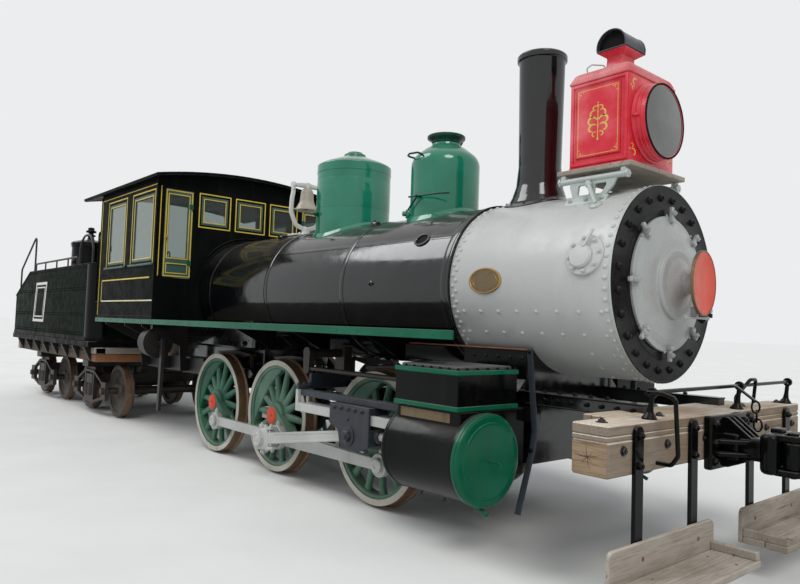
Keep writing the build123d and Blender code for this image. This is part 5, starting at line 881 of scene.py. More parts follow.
steel_guides = []
GUIDE_BACK = 0.956
guides = [slab((GUIDE_BACK, 1.04, 0.94), (CYL_BACK, 1.144, 0.997), 0.005)]
guides += [slab((GUIDE_BACK, 1.009, 0.997), (GUIDE_BACK + 0.044, 1.175, 1.037), 0.004)]
guides += [slab((GUIDE_BACK, 0.6, 1.001), (GUIDE_BACK + 0.044, 1.029, 1.147), 0.006)]
guides += [nuts([(GUIDE_BACK + 0.022, y, 1.037) for y in (1.03, 1.092, 1.154)], (0, 0, 1), 0.022, 0.02)]
guides += [nuts([(2.5, y, 0.997) for y in (1.062, 1.122)], (0, 0, 1), 0.018, 0.016)]
for y in (1.009, 1.133):
    steel_guides += [slab((GUIDE_BACK + 0.044, y, 0.791), (CYL_BACK, y + 0.042, 0.876), 0.005)]
    steel_guides += [slab((GUIDE_BACK, y, 0.791), (GUIDE_BACK + 0.044, y + 0.042, 1.0), 0.004)]
    steel_guides += [nuts(
        [(GUIDE_BACK + 0.1, y + 0.021, 0.791), (2.5, y + 0.021, 0.791)], (0, 0, -1), 0.016, 0.01
    )]
piece(
    "guide_bars", "locomotive", [(guide_blue, both(guides)), (rod_steel, both(steel_guides))],
    ["guides"],
)

# Cylinders, chests and their trimmings

barrel = [
    (0.0, CYL_BACK, 0), (0.331, CYL_BACK, 0.012), (0.331, 2.612, 0.002), (0.326, 2.614, 0.002),
    (0.326, 3.296, 0.002), (0.331, 3.298, 0.002), (0.331, 3.336, 0), (0.0, 3.336, 0),
]
cover = [
    (0.0, 3.332, 0), (0.335, 3.332, 0.004), (0.335, 3.36, 0.003), (0.329, 3.363, 0.002),
    (0.329, 3.37, 0.002), (0.333, 3.373, 0.003), (0.333, 3.384, 0.01), (0.312, 3.394, 0.004),
    (0.274, 3.397, 0.003), (0.27, 3.404, 0.003), (0.255, 3.406, 0.003), (0.0, 3.4, 0),
]
centre = (0, CYL_Y, CYL_Z)
black = [turned(eased(barrel, 4), "x", centre, 112)]
black += [slab((2.632, 0.6, 0.536), (3.305, CYL_Y, 1.046), 0.008)]
black += [slab((2.632, CYL_Y, 0.851), (3.305, 1.315, 1.046), 0.01)]
gland = [(0.0, 2.505, 0), (0.092, 2.505, 0.006), (0.092, 2.53, 0.004), (0.07, 2.534, 0.003)]
gland += [(0.07, 2.556, 0.003), (0.125, 2.56, 0.003), (0.125, 2.577, 0), (0, 2.577, 0)]
green = [turned(eased(cover, 4), "x", centre, 112)]
COVER_FACE = 3.4
peg = [(COVER_FACE, CYL_Y, CYL_Z), (3.49, CYL_Y, CYL_Z - 0.004), (3.5, CYL_Y, CYL_Z - 0.028)]
drain = [(3.3, CYL_Y, 0.385), (3.3, CYL_Y, 0.35), (3.345, CYL_Y, 0.336), (3.385, CYL_Y, 0.32)]
green += [bent(peg, 0.0065, 0.006, 10), drum(0.016, COVER_FACE, COVER_FACE + 0.007, "x", centre, 0.002, 20)]
green += [bent(drain, 0.016, 0.02), drum(0.028, 0.342, 0.378, "z", (3.3, CYL_Y, 0), 0.004, 20)]
steel = [turned(eased(gland, 3), "x", centre, 48)]
places = [(2.558, CYL_Y + 0.105 * cos(a), CYL_Z + 0.105 * sin(a)) for a in (0.5, 2.6, 3.7, 5.8)]
steel += [nuts(places, (-1, 0, 0), 0.017, 0.016)]
cocks = [drum(0.014, 0.33, 0.38, "z", (x, CYL_Y, 0), 0.003, 16) for x in (2.7, 2.95)]
cocks += [tube([(2.62, CYL_Y - 0.05, 0.352), (3.1, CYL_Y - 0.05, 0.352)], 0.007)]
strip = [plate(panel((2.676, 0.958), (3.21, 1.028), 0.006), 1.3145, 1.3185, "y", 0.001)]
strip += [surround((2.68, 0.962), (3.206, 1.024), 0.006, 1.3183, 1.32, "y", 0.004)]
strip += [rivets([(x, 1.3183, 0.993) for x in (2.694, 3.192)], (0, 1, 0), 0.005)]
piece(
    "cylinder_pair", "locomotive",
    [
        (chest_black, both(black)), (engine_green, both(green)), (rod_steel, both(steel)),
        (iron_black, both(cocks)), (dark_brass, both(strip)),
    ],
    ["cylinders"],
)

chest = [slab((2.632, 0.695, 1.046), (3.305, 1.345, 1.34), 0.006)]
bands = [slab((2.624, 0.687, low), (3.313, 1.353, low + 0.038), 0.006) for low in (1.046, 1.302)]
lid = [slab((2.665, 0.728, 1.335), (3.272, 1.312, 1.362), 0.005)]
RIB_HALF, RIB_LOW, RIB_HIGH = 0.0035, 1.36, 1.3645
ribs = [
    slab((x - RIB_HALF, 0.735, RIB_LOW), (x + RIB_HALF, 1.305, RIB_HIGH), 0.001)
    for x in np.linspace(2.68, 3.257, 24)
]
ribs += [
    slab((2.672, y - RIB_HALF, RIB_LOW), (3.265, y + RIB_HALF, RIB_HIGH), 0.001)
    for y in np.linspace(0.75, 1.29, 22)
]
studs = [(x, y, 1.34) for x in np.linspace(2.646, 3.291, 8) for y in (0.708, 1.332)]
studs += [(x, y, 1.34) for x in (2.646, 3.291) for y in np.linspace(0.8, 1.24, 5)]
bolts = [nuts(studs, (0, 0, 1), 0.013, 0.012)]
piece(
    "steam_chest_pair", "locomotive",
    [(chest_black, both(chest + bolts)), (engine_green, both(bands)), (tread_grey, both(lid + ribs))],
    ["steam_chests"],
)

# Boiler, smokebox and what stands on them

BOILER_Z, BOILER_R, SMOKEBOX_R = 2.019, 0.742, 0.732
BARREL = (0, 0, BOILER_Z)


def on_barrel(x, degrees, radius=BOILER_R):
    """Points on the barrel: X along it, and degrees round from the left horizontal."""
    x, angle = np.broadcast_arrays(np.asarray(x, float), np.radians(degrees))
    x, angle = x.ravel(), angle.ravel()
    return np.column_stack([x, radius * np.cos(angle), BOILER_Z + radius * np.sin(angle)])


def out_from(places):
    """The barrel's outward direction at each place."""
    return (np.asarray(places) - BARREL) * (0, 1, 1)


def barrel_band(x, wide, proud, radius, thick=0.01):
    """A hoop round the barrel, its edges eased."""
    corners = [(radius - thick, x, 0), (radius + proud, x, proud * 0.5)]
    corners += [(radius + proud, x + wide, proud * 0.5), (radius - thick, x + wide, 0)]
    return turned(eased(corners, 3), "x", BARREL, 160)


BAND_X = 0.96
jacket = [(0, -3.25, 0), (BOILER_R, -3.25, 0.02), (BOILER_R, CYL_BACK, 0.006), (0, CYL_BACK, 0)]
jacket = [turned(eased(jacket, 5), "x", BARREL, 180)]
jacket += [barrel_band(x, 0.062, 0.0045, BOILER_R) for x in (2.475, BAND_X + 0.05, -0.5, -1.98)]
jacket += [barrel_band(2.543, 0.032, 0.012, BOILER_R)]
jacket += [slab((-3.15, -0.64, 1.285), (-0.88, 0.64, 2.05), 0.03)]
jacket += [slab((-3.15, -0.48, 1.09), (-0.88, 0.48, 1.3), 0.01)]
seam_x = np.linspace(-0.86, 2.47, 60)
for degrees in (34.5, 145.5):
    line, outward = on_barrel(seam_x, degrees, BOILER_R + 0.0005), out_from(on_barrel([0], degrees))[0]
    jacket += [carried(panel((-0.02, -0.002), (0.02, 0.003), 0.0015, 3), line, outward)]
hole = on_barrel([2.1], 180 - 33.5, BOILER_R)
rim = [(0.052, -0.006), (0.07, -0.006), (0.07, 0.01), (0.064, 0.016), (0.056, 0.016), (0.052, 0.01)]
oval = turned(eased([(*c, 0.002) for c in rim], 3), "z", sides=40)
oval = scaled(oval, (1.35, 1.0, 1.0))
hand_hole = [scatter(oval, hole, out_from(hole))]
# painted shade: a dark disc inside the hand hole's rim stands in for the hole's shaded depth
dark = turned([(0, 0.0), (0.054, 0.0), (0.054, 0.004), (0, 0.004)], "z", sides=32)
shade_in_hole = [scatter(scaled(dark, (1.35, 1, 1)), hole, out_from(hole))]
clamps = []
stud = [(0, -0.01), (0.026, -0.01), (0.026, 0.006), (0.014, 0.012), (0.014, 0.03), (0.01, 0.034)]
stud += [(0, 0.034)]
for degrees in (1.5, 178.5):
    spot = on_barrel([1.525], degrees)
    clamps += [scatter(turned(stud, sides=20), spot, out_from(spot))]
for x in (BAND_X + 0.03, -0.9):
    top = on_barrel([x], 90 + 22, BOILER_R + 0.006)
    clamps += [scatter(slab((-0.035, -0.05, -0.01), (0.035, 0.05, 0.03), 0.008), top, out_from(top))]
    clamps += [scatter(
        turned([(0, -0.01), (0.012, -0.01), (0.012, 0.05), (0, 0.052)], sides=12), top, out_from(top)
    )]
stays = np.array([
    (x, s * 0.6405, z) for x in np.linspace(-3.02, -1.0, 15) for z in (1.4, 1.52) for s in (-1, 1)
])
wash = np.array([(x, s * 0.64, 1.36) for x in (-2.85, -1.1) for s in (-1, 1)])
jacket += [rivets(stays, stays * (0, 1, 0), 0.011), nuts(wash, wash * (0, 1, 0), 0.035, 0.03)]
pan = [slab((-2.15, -0.48, 0.78), (-1.3, 0.48, 1.095), 0.01)]
piece(
    "boiler_jacket", "locomotive", [(boiler_black, jacket + hand_hole + clamps), (soot_and_shade, shade_in_hole + pan)],
    ["boiler"],
)

shell = [
    (SMOKEBOX_R - 0.018, 2.577, 0), (SMOKEBOX_R, 2.577, 0.004), (SMOKEBOX_R, 4.102, 0),
    (SMOKEBOX_R - 0.018, 4.102, 0),
]
grey = [turned(eased(shell, 3), "x", BARREL, 180)]
wall = [(0, 2.577), (SMOKEBOX_R - 0.01, 2.577), (SMOKEBOX_R - 0.01, 2.595), (0, 2.595)]
grey += [turned(wall, "x", BARREL, 72)]
round_steps = np.arange(0, 360, 7.0)
columns = [on_barrel(2.612, round_steps, SMOKEBOX_R), on_barrel(2.648, round_steps + 3.5, SMOKEBOX_R)]
columns += [on_barrel(4.068, np.arange(0, 360, 6.0), SMOKEBOX_R)]
for degrees in (-18.9, -33.2, -161.1, -146.8):
    columns += [on_barrel(np.linspace(2.717, 4.024, 8), degrees, SMOKEBOX_R)]
for x, degrees in (
    (3.83, -47.0), (4.012, -46.8), (3.82, -60.8), (4.005, -60.2), (3.81, -75.0), (4.005, -74.0)
):
    columns += [on_barrel([x, x], [degrees, 180 - degrees], SMOKEBOX_R)]
columns = np.vstack(columns)
grey += [rivets(columns, out_from(columns), 0.0175, 0.011)]
disc_rim = [(0, -0.012), (0.152, -0.012), (0.152, 0.01), (0.145, 0.017), (0.1, 0.019), (0, 0.019)]
cap = [(0, 0.01), (0.088, 0.01), (0.09, 0.03), (0.078, 0.044), (0.03, 0.048), (0, 0.048)]
bolts = np.array([(0.124 * cos(a), 0.124 * sin(a), 0.018) for a in np.arange(8) * pi / 4 + 0.15])


def laid(one, x, degrees, radius):
    """A fitting drawn on a level sheet, laid on the barrel: its X stays along the barrel, its Y
    climbs the barrel's side, and its Z points out."""
    angle = radians(degrees)
    way = 1 if cos(angle) > 0 else -1
    side = np.array([(-way, 0, 0), (0, -way * sin(angle), way * cos(angle)), (0, cos(angle), sin(angle))])
    points = one.points @ side + (x, radius * cos(angle), BOILER_Z + radius * sin(angle))
    return Skin(points, one.fours, one.threes)


lever = merged([
    slab((-0.011, -0.006, 0.03), (0.011, 0.135, 0.046), 0.004), rivets([(0, 0.0, 0.046)], (0, 0, 1), 0.014)
])
fitting = [turned(eased([(*c, 0.003) for c in disc_rim], 3), sides=64)]
fitting += [moved(turned(cap, sides=48), (-0.022, -0.014, 0))]
fitting += [nuts(bolts, (0, 0, 1), 0.0165, 0.014), moved(tilted(lever, (0, 0, 1), -26), (0.0, 0.06, 0))]
fitting = merged(fitting)
oval_edge = [(0, -0.004), (1, -0.004), (1, 0.004), (0.965, 0.008), (0.905, 0.008), (0.88, 0.003)]
oval_edge += [(0, 0.003)]
oval_plate = turned(oval_edge, sides=72)
oval_plate = scaled(oval_plate, (0.172, 0.104, 1.0))
oval_field = turned([(0, 0.0), (1, 0.0), (1, 0.0048), (0, 0.0048)], sides=72)
oval_field = scaled(oval_field, (0.152, 0.0915, 1.0))
oval_rings = turned([(0.8, 0.003), (0.82, 0.0062), (0.84, 0.003)], sides=72)
oval_rings = scaled(oval_rings, (0.152, 0.0915, 1.0))
covers, plates, fields = [], [], []
for side in (-1, 1):
    covers += [laid(fitting, 3.895, 90 - side * 77.0, SMOKEBOX_R - 0.004)]
    spot = (2.975, 90 - side * 89.4, SMOKEBOX_R)
    screws = rivets([(-0.142, 0, 0.004), (0.142, 0, 0.004)], (0, 0, 1), 0.006)
    plates += [laid(one, *spot) for one in (oval_plate, oval_rings, screws)]
    fields += [laid(oval_field, *spot)]
piece(
    "smokebox_shell", "locomotive", [(smokebox_grey, grey + covers), (brass, plates), (dark_brass, fields)],
    ["smokebox"],
)

front_ring = [
    (0.482, 4.1021, 0), (0.738, 4.1021, 0.004), (0.738, 4.116, 0.003), (0.727, 4.12, 0.003),
    (0.722, 4.117, 0.002), (0.56, 4.117, 0.002), (0.556, 4.12, 0.002), (0.53, 4.12, 0.002),
    (0.482, 4.12, 0),
]
black = [turned(eased(front_ring, 3), "x", BARREL, 160)]
steps = np.radians(np.arange(24) * 15 + 7.5)
ring_nuts = np.column_stack([np.full(24, 4.117), 0.643 * np.cos(steps), BOILER_Z + 0.643 * np.sin(steps)])
black += [rivets(ring_nuts, (1, 0, 0), 0.031, 0.024)]
black += [nuts(ring_nuts + (0.018, 0, 0), (1, 0, 0), 0.013, 0.012, False)]
HINGE, HINGE_HEIGHTS = (4.166, 0.585, 0), (1.829, 2.209)
bright = [hoop(0.7355, 0.739, 4.1025, 4.1165, "x", BARREL, 0.0012, 160)]
for z in HINGE_HEIGHTS:
    black += [slab((4.1205, 0.551, z - 0.04), (4.166, 0.619, z - 0.006), 0.004)]
    black += [drum(0.034, z - 0.04, z - 0.006, "z", HINGE, 0.004, 28)]
    black += [drum(0.022, z - 0.04, z + 0.04, "z", HINGE, 0.004, 24)]
piece(
    "smokebox_front_ring", "locomotive", [(ring_black, black), (bracket_grey, bright)],
    ["smokebox_ring"],
)

DOOR = 4.1203
door = [
    (0.0, DOOR + 0.04, 0), (0.44, DOOR + 0.001, 0), (0.505, DOOR, 0.004), (0.505, DOOR + 0.024, 0.006),
    (0.47, DOOR + 0.026, 0.01), (0.415, DOOR + 0.046, 0.06), (0.335, DOOR + 0.064, 0.05),
    (0.268, DOOR + 0.072, 0.008), (0.262, DOOR + 0.094, 0.01), (0.24, DOOR + 0.106, 0.012),
    (0.19, DOOR + 0.108, 0.05), (0.12, DOOR + 0.139, 0.05), (0.078, DOOR + 0.176, 0.03),
    (0.07, DOOR + 0.272, 0), (0.0, DOOR + 0.272, 0),
]
grey = [turned(eased(door, 6), "x", BARREL, 144)]
for index in range(1, 8):
    angle = radians(index * 45)
    # local X is along the rim, local Y inwards to the hub, local Z out of the door
    bar = [slab((-0.017, -0.06, 0.0), (0.017, 0.058, 0.03), 0.006)]
    bar += [slab((-0.022, 0.022, 0.0), (0.022, 0.06, 0.04), 0.007)]
    bar += [nuts([(0, -0.012, 0.03)], (0, 0, 1), 0.02, 0.018)]
    bar += [rivets([(-0.05, 0.01, 0.002), (0.05, 0.01, 0.002)], (0, 0, 1), 0.01)]
    one = merged(bar)
    out = np.array([0, cos(angle), sin(angle)])
    along = np.array([0, -sin(angle), cos(angle)])
    frame_of = np.column_stack([along, -out, (1, 0, 0)])
    points = one.points @ frame_of.T + (DOOR + 0.024, 0, BOILER_Z) + 0.515 * out
    grey += [Skin(points, one.fours, one.threes)]
for z in HINGE_HEIGHTS:
    grey += [slab((DOOR + 0.012, 0.3, z + 0.001), (DOOR + 0.062, 0.585, z + 0.033), 0.005)]
    grey += [drum(0.034, z + 0.001, z + 0.033, "z", HINGE, 0.004, 28)]
    grey += [nuts([(DOOR + 0.062, y, z + 0.017) for y in (0.34, 0.43)], (1, 0, 0), 0.016, 0.012)]


def askew(profile):
    """A round of the number disc, which hangs a little out of square to the door."""
    one = turned([(r, h + DOOR) for r, h in profile], "x", BARREL, 112)
    return [moved(tilted(one, (0, 0, 1), 6.5, (DOOR + 0.25, 0, BOILER_Z)), (0.034, 0, 0))]


disc = [(0, 0.24), (0.226, 0.24), (0.226, 0.259), (0.215, 0.2605), (0.21, 0.2585), (0, 0.2585)]
rim = [(0.2262, 0.24), (0.236, 0.2405), (0.236, 0.26), (0.233, 0.262), (0.2262, 0.262)]
pegs = [tube([(DOOR + 0.235, -0.17, 1.772), (DOOR + 0.235, 0.17, 1.772)], 0.009)]
pegs += [slab((DOOR + 0.2, -0.02, 1.765), (DOOR + 0.245, 0.02, 1.85), 0.004)]
pegs += [drum(0.016, y - 0.01, y + 0.01, "y", (DOOR + 0.235, 0, 1.772), 0.004, 16) for y in (-0.17, 0.17)]
piece(
    "smokebox_door_casting", "smokebox_door",
    [(door_grey, grey + pegs), (disc_orange, askew(disc)), (dark_brass, askew(rim))],
    ["smokebox_door"],
)

CROWN = BOILER_Z + SMOKEBOX_R


def saddled(radius_inner, radius_outer, thick, x, drum_radius, sides=96, low_flare=0.0):
    """A flange that lies on the barrel round an upright post: each point at its own radius from the
    post is dropped to the barrel's round, at the height of the barrel plus the flange."""
    profile = eased(
        [
            (radius_inner, 0.0, 0), (radius_outer, -0.004, 0), (radius_outer, thick, thick * 0.4),
            (radius_inner, thick + low_flare, 0),
        ],
        4,
    )
    profile = np.vstack([profile, profile[:1]])
    angle = np.arange(sides) * 2 * pi / sides
    across_y = profile[:, :1] * np.sin(angle)
    lift = np.sqrt(drum_radius**2 - across_y**2)
    rows = np.stack(
        [x + profile[:, :1] * np.cos(angle), across_y, BOILER_Z + lift + profile[:, 1:]], axis=-1
    )
    return skin(rows, ends=False)


STACK_X = 2.925
STACK_AXIS = (STACK_X, 0, 0)
column = [
    (0.156, CROWN - 0.1, 0), (0.185, CROWN - 0.1, 0), (0.268, CROWN - 0.016, 0.02),
    (0.236, CROWN + 0.05, 0.06), (0.203, CROWN + 0.15, 0.14), (0.186, CROWN + 0.33, 0.25), (0.2, 4.006, 0),
    (0.203, 4.013, 0.002), (0.219, 4.022, 0.01), (0.22, 4.062, 0.012), (0.208, 4.075, 0.008),
    (0.188, 4.075, 0.005), (0.184, 4.04, 0),
]
black = [turned(eased(column, 8), "z", STACK_AXIS, 112)]
black += [saddled(0.2, 0.302, 0.012, STACK_X, SMOKEBOX_R, low_flare=0.045)]
bolt = np.arange(12) * pi / 6 + 0.2
foot_bolts = np.column_stack([STACK_X + 0.278 * np.cos(bolt), 0.278 * np.sin(bolt)])
foot_bolts = np.column_stack([
    foot_bolts, BOILER_Z + np.sqrt(SMOKEBOX_R**2 - foot_bolts[:, 1] ** 2) + 0.015
])
black += [nuts(foot_bolts, out_from(foot_bolts), 0.012, 0.01)]
lining = [(0.1555, CROWN - 0.3, 0), (0.1835, 4.04, 0), (0.1825, 4.04, 0), (0.1545, CROWN - 0.3, 0)]
sooty = [turned([c[:2] for c in lining], "z", STACK_AXIS, 72)]
sooty += [drum(0.17, CROWN + 0.002, CROWN + 0.006, "z", STACK_AXIS, 0.001, 48)]
piece("stack_pipe", "locomotive", [(boiler_black, black), (soot_and_shade, sooty)], ["stack"])

SAND_X, SAND_R = 1.735, 0.348
SAND_AXIS = (SAND_X, 0, 0)
body = [
    (0, 2.43, 0), (SAND_R - 0.002, 2.43, 0), (SAND_R - 0.002, 3.33, 0.15), (0.205, 3.442, 0.1),
    (0.16, 3.456, 0.02), (0.148, 3.474, 0.012), (0.144, 3.5, 0.01), (0.15, 3.522, 0.01),
    (0.176, 3.54, 0.012), (0.192, 3.548, 0.004), (0.193, 3.572, 0.005), (0.18, 3.582, 0.004),
    (0.174, 3.566, 0.004), (0, 3.56, 0),
]
green = [turned(eased([*body[:7], (0, 3.505, 0)], 7, False), "z", SAND_AXIS, 128, False)]
dish = [turned(eased([(0, 3.49, 0), *body[6:]], 6), "z", SAND_AXIS, 96)]
dish += [tube([(SAND_X + x, 0.155, 3.5), (SAND_X + x, 0.205, 3.575)], 0.012, 12) for x in (-0.04, 0.04)]
green += [saddled(SAND_R - 0.05, SAND_R + 0.03, 0.014, SAND_X, BOILER_R, 128, 0.085)]
black = [bent(
    [(SAND_X - 0.1, -0.395, 2.915), (SAND_X + 0.3, -0.385, 2.905), (SAND_X + 0.42, -0.35, 2.9)], 0.009, 0.05
)]
black += [drum(0.012, -0.41, -0.33, "y", (SAND_X + 0.02, 0, 2.912), 0.003, 16)]
black += [tube([(SAND_X + 0.02, -0.39, 2.912), (SAND_X - 0.16, -0.345, 2.8)], 0.009, 12)]
for s in (-1, 1):
    knob = turned(
        [
            (0, -0.03), (0.05, -0.03), (0.05, 0.014), (0.042, 0.022), (0.026, 0.024), (0.026, 0.06),
            (0.016, 0.066), (0, 0.066),
        ],
        sides=32,
    )
    ring = nuts(
        [(0.038 * cos(a), 0.038 * sin(a), 0.018) for a in np.arange(5) * 2 * pi / 5], (0, 0, 1), 0.009, 0.01
    )
    green += [scatter(merged([knob, ring]), [(SAND_X - 0.235, s * 0.268, 2.775)], (-0.5, s * 0.85, 0.0))]
hook = [bent(
    [
        (SAND_X - 0.15, -0.27, 3.33), (SAND_X - 0.215, -0.33, 3.352), (SAND_X - 0.12, -0.385, 3.352),
        (SAND_X + 0.01, -0.385, 3.345), (SAND_X + 0.01, -0.315, 3.325),
    ],
    0.01, 0.03,
)]
hook += [rivets([(SAND_X - 0.15, -0.275, 3.322), (SAND_X + 0.01, -0.318, 3.316)], (-0.1, -0.6, 0.6), 0.018)]
piece(
    "sand_dome_casing", "locomotive", [(lit_dome_green, green), (lid_green, dish + hook + black)],
    ["sand_dome"],
)

STEAM_X, STEAM_R = 0.2, 0.434
STEAM_AXIS = (STEAM_X, 0, 0)
body = [
    (0, 2.42, 0), (STEAM_R - 0.004, 2.42, 0), (STEAM_R - 0.004, 3.388, 0.002),
    (STEAM_R + 0.0005, 3.39, 0.001), (STEAM_R + 0.0005, 3.484, 0.012), (0.385, 3.516, 0.04),
    (0.14, 3.612, 0.02), (0.13, 3.62, 0.004), (0.128, 3.64, 0.006), (0.108, 3.652, 0.006), (0, 3.655, 0),
]
green = [turned(eased(body, 7), "z", STEAM_AXIS, 144)]
green += [hoop(STEAM_R - 0.01, STEAM_R - 0.0022, 2.965, 3.3, "z", STEAM_AXIS, 0.0015, 144)]
green += [saddled(STEAM_R - 0.05, STEAM_R + 0.022, 0.014, STEAM_X, BOILER_R, 144, 0.075)]
dark = [drum(0.09, 3.648, 3.668, "z", STEAM_AXIS, 0.006, 36)]
for s in (-1, 1):
    valve = np.array([(STEAM_X - 0.12, s * STEAM_R * 0.955, 2.9)])
    stem = turned(
        [(0, -0.02), (0.03, -0.02), (0.03, 0.03), (0.02, 0.04), (0.012, 0.06), (0, 0.062)], sides=20
    )
    handle = slab((-0.06, -0.008, 0.046), (0.06, 0.008, 0.056), 0.003)
    dark += [scatter(merged([stem, handle]), valve, (0, s, 0))]
piece(
    "steam_dome_casing", "locomotive", [(lit_dome_green, green), (deep_green, dark)],
    ["steam_dome"],
)

BELL_X, BELL_Z = -0.8, 3.395
BELL_AXIS, BEARING_Y = (BELL_X, 0, 0), 0.207
stand = [slab((BELL_X - 0.11, -0.205, 2.742), (BELL_X + 0.11, 0.205, 2.766), 0.006)]
post = [(0, 2.75, 0), (0.085, 2.75, 0.01), (0.05, 2.8, 0.03), (0.052, 2.86, 0.02), (0, 2.88, 0)]
stand += [turned(eased(post, 5), "z", BELL_AXIS, 32)]
for s in (-1, 1):
    # each arm swings out from the post below the bell and back in to its bearing, as a lyre does
    path = [(0.03, 2.845, 0.02), (0.155, 2.885, 0.09), (0.232, 3.05, 0.16), (0.222, 3.22, 0.12)]
    path += [(BEARING_Y, 3.3, 0.04), (BEARING_Y, BELL_Z - 0.02, 0)]
    path = [(BELL_X, s * y, z, ease) for y, z, ease in path]
    stand += [carried(panel((-0.028, -0.016), (0.028, 0.016), 0.012, 4), eased(path, 8, False))]
    y = s * BEARING_Y
    stand += [hoop(0.0205, 0.044, y - 0.0175, y + 0.0178, "y", (BELL_X, 0, BELL_Z), 0.004, 32)]
    stand += [drum(0.03, y - 0.017, y + 0.017, "y", (BELL_X, 0, BELL_Z - 0.046), 0.006, 24)]
stand += [nuts(
    [(BELL_X + x, y, 2.766) for x in (-0.08, 0.08) for y in (-0.14, 0.14)], (0, 0, 1), 0.018, 0.016
)]
piece("bell_frame", "locomotive", [(white_paint, stand)], ["bell_stand"])
lip = BELL_Z - 0.02 - 0.29
profile = [
    (0, lip + 0.272, 0), (0.05, lip + 0.268, 0.03), (0.066, lip + 0.1, 0.09), (0.132, lip, 0),
    (0.146, lip - 0.001, 0.004), (0.15, lip + 0.008, 0.005), (0.134, lip + 0.03, 0.01),
    (0.092, lip + 0.11, 0.09), (0.078, lip + 0.25, 0.05), (0.052, lip + 0.286, 0.03), (0, lip + 0.29, 0),
]
metal = [turned(eased(profile, 7), "z", BELL_AXIS, 72)]
path = [(-0.172, 0, 0.02), (-0.12, 0.012, 0.06), (0, 0.024, 0.2), (0.12, 0.012, 0.06), (0.172, 0, 0.02)]
path = [(BELL_X, y, BELL_Z + z, ease) for y, z, ease in path]
yoke = [carried(panel((-0.022, -0.024), (0.022, 0.024), 0.008, 3), eased(path, 5, False))]
yoke += [drum(0.02, -0.2245, 0.2245, "y", (BELL_X, 0, BELL_Z), 0.003, 28)]
yoke += [drum(0.032, BELL_Z - 0.03, BELL_Z + 0.052, "z", BELL_AXIS, 0.006, 24)]
ball = [(0, lip + 0.008, 0), (0.03, lip + 0.012, 0.02), (0.03, lip + 0.066, 0.02), (0, lip + 0.07, 0)]
clapper = [drum(0.012, lip + 0.03, lip + 0.26, "z", BELL_AXIS, 0.002, 14)]
clapper += [turned(eased(ball, 5), "z", BELL_AXIS, 20)]
piece(
    "bell_metal", "bell", [(bell_paint, metal), (white_paint, yoke), (iron_black, clapper)],
    ["bell"],
)

# Headlight: a panelled red box with a coved roof, a flared neck and a half-round hood

LAMP_BACK, LAMP_FRONT, LAMP_HALF, LAMP_LOW, LAMP_EAVE, LAMP_Z = 3.476, 3.986, 0.332, 2.899, 3.6, 3.256
LAMP_CROWN = 3.698
LAMP_AXIS = (0, 0, LAMP_Z)


def oblong(x_low, x_high, half, z, rounding, steps=4):
    """A level rounded oblong about the centre line, at one height."""
    outline = panel((x_low, -half), (x_high, half), rounding, steps)
    return np.column_stack([outline, np.full(len(outline), z)])


def scroll(centre, size, lean, way, near, far, axis):
    """One painted curl: a spiral whose radius falls evenly from its size, drawn with a brush
    that swells in the middle and thins to both ends."""
    share = np.linspace(0, 1, 24)
    turn = lean + way * 4.3 * share
    radius = size * (1 - 0.74 * share)
    line = np.asarray(centre) + radius[:, None] * np.column_stack([np.cos(turn), np.sin(turn)])
    run = np.gradient(line, axis=0)
    run /= np.linalg.norm(run, axis=1, keepdims=True)
    brush = (size * 0.17 * np.sin(pi * (0.85 * share + 0.12)) + 0.001)[:, None]
    off = np.column_stack([-run[:, 1], run[:, 0]]) * brush
    loop = np.vstack([line - off, (line + off)[::-1]])
    return plate(loop if way > 0 else loop[::-1], near, far, axis)


PORT, PORT_DEEP = 0.262, 0.1
box = [oblong(LAMP_BACK, LAMP_FRONT - PORT_DEEP, LAMP_HALF, z, 0.003) for z in (LAMP_LOW, LAMP_EAVE)]
above, below = LAMP_EAVE - LAMP_Z, LAMP_Z - LAMP_LOW
corner = [np.arctan2(z, s * LAMP_HALF) for z in (above, -below) for s in (1, -1)]
turn = np.unique(np.concatenate([np.linspace(-pi, pi, 96, endpoint=False), corner]))


def squared(x, inset):
    """The lamp's square outline at one depth: along each direction from the glass's centre, the
    point where it meets the nearest side."""
    over = np.where(np.sin(turn) > 0, above, below) / np.maximum(abs(np.sin(turn)), 1e-9)
    aside = (LAMP_HALF - inset) / np.maximum(abs(np.cos(turn)), 1e-9)
    reach = np.minimum(over, aside)
    return np.column_stack([np.full(len(turn), x), reach * np.cos(turn), LAMP_Z + reach * np.sin(turn)])


def rounded(x, radius):
    """A circle about the glass's centre with the same directions as the square outline."""
    return np.column_stack([np.full(len(turn), x), radius * np.cos(turn), LAMP_Z + radius * np.sin(turn)])


front = [
    squared(LAMP_FRONT - x, inset)
    for x, inset in ((PORT_DEEP + 0.001, 0.0), (0.012, 0.0), (0.0035, 0.0035), (0.0, 0.012))
]
front += [rounded(LAMP_FRONT - x, PORT - inset) for x, inset in ((0.0, 0.0), (PORT_DEEP - 0.004, 0.002))]
red = [skin(box), skin(front)]
dish = np.linspace(1, 0, 17)
bowl = [(0.256 * r, LAMP_FRONT - 0.007 - 0.08 * (1 - r * r)) for r in dish]
bowl += [(0.256 * r, LAMP_FRONT - 0.011 - 0.08 * (1 - r * r)) for r in dish[::-1]]
reflector = [turned(bowl, "x", LAMP_AXIS, 96)]
foot = ((0, 2.903), (0.006, 2.905), (0.006, 2.924), (0, 2.928))
red += [skin([oblong(LAMP_BACK - w, LAMP_FRONT + w, LAMP_HALF + w, z, 0.012) for w, z in foot])]
cove = np.linspace(0, pi / 2, 9)
roof = [(0.0, LAMP_EAVE - 0.016), (0.011, LAMP_EAVE - 0.012), (0.013, LAMP_EAVE)]
roof += [(0.009, LAMP_EAVE + 0.008)]
roof += [(0.004 - 0.056 * (1 - cos(a)), LAMP_EAVE + 0.01 + 0.072 * sin(a)) for a in cove]
roof += [(-0.11, LAMP_CROWN - 0.002), (-0.15, LAMP_CROWN + 0.022)]
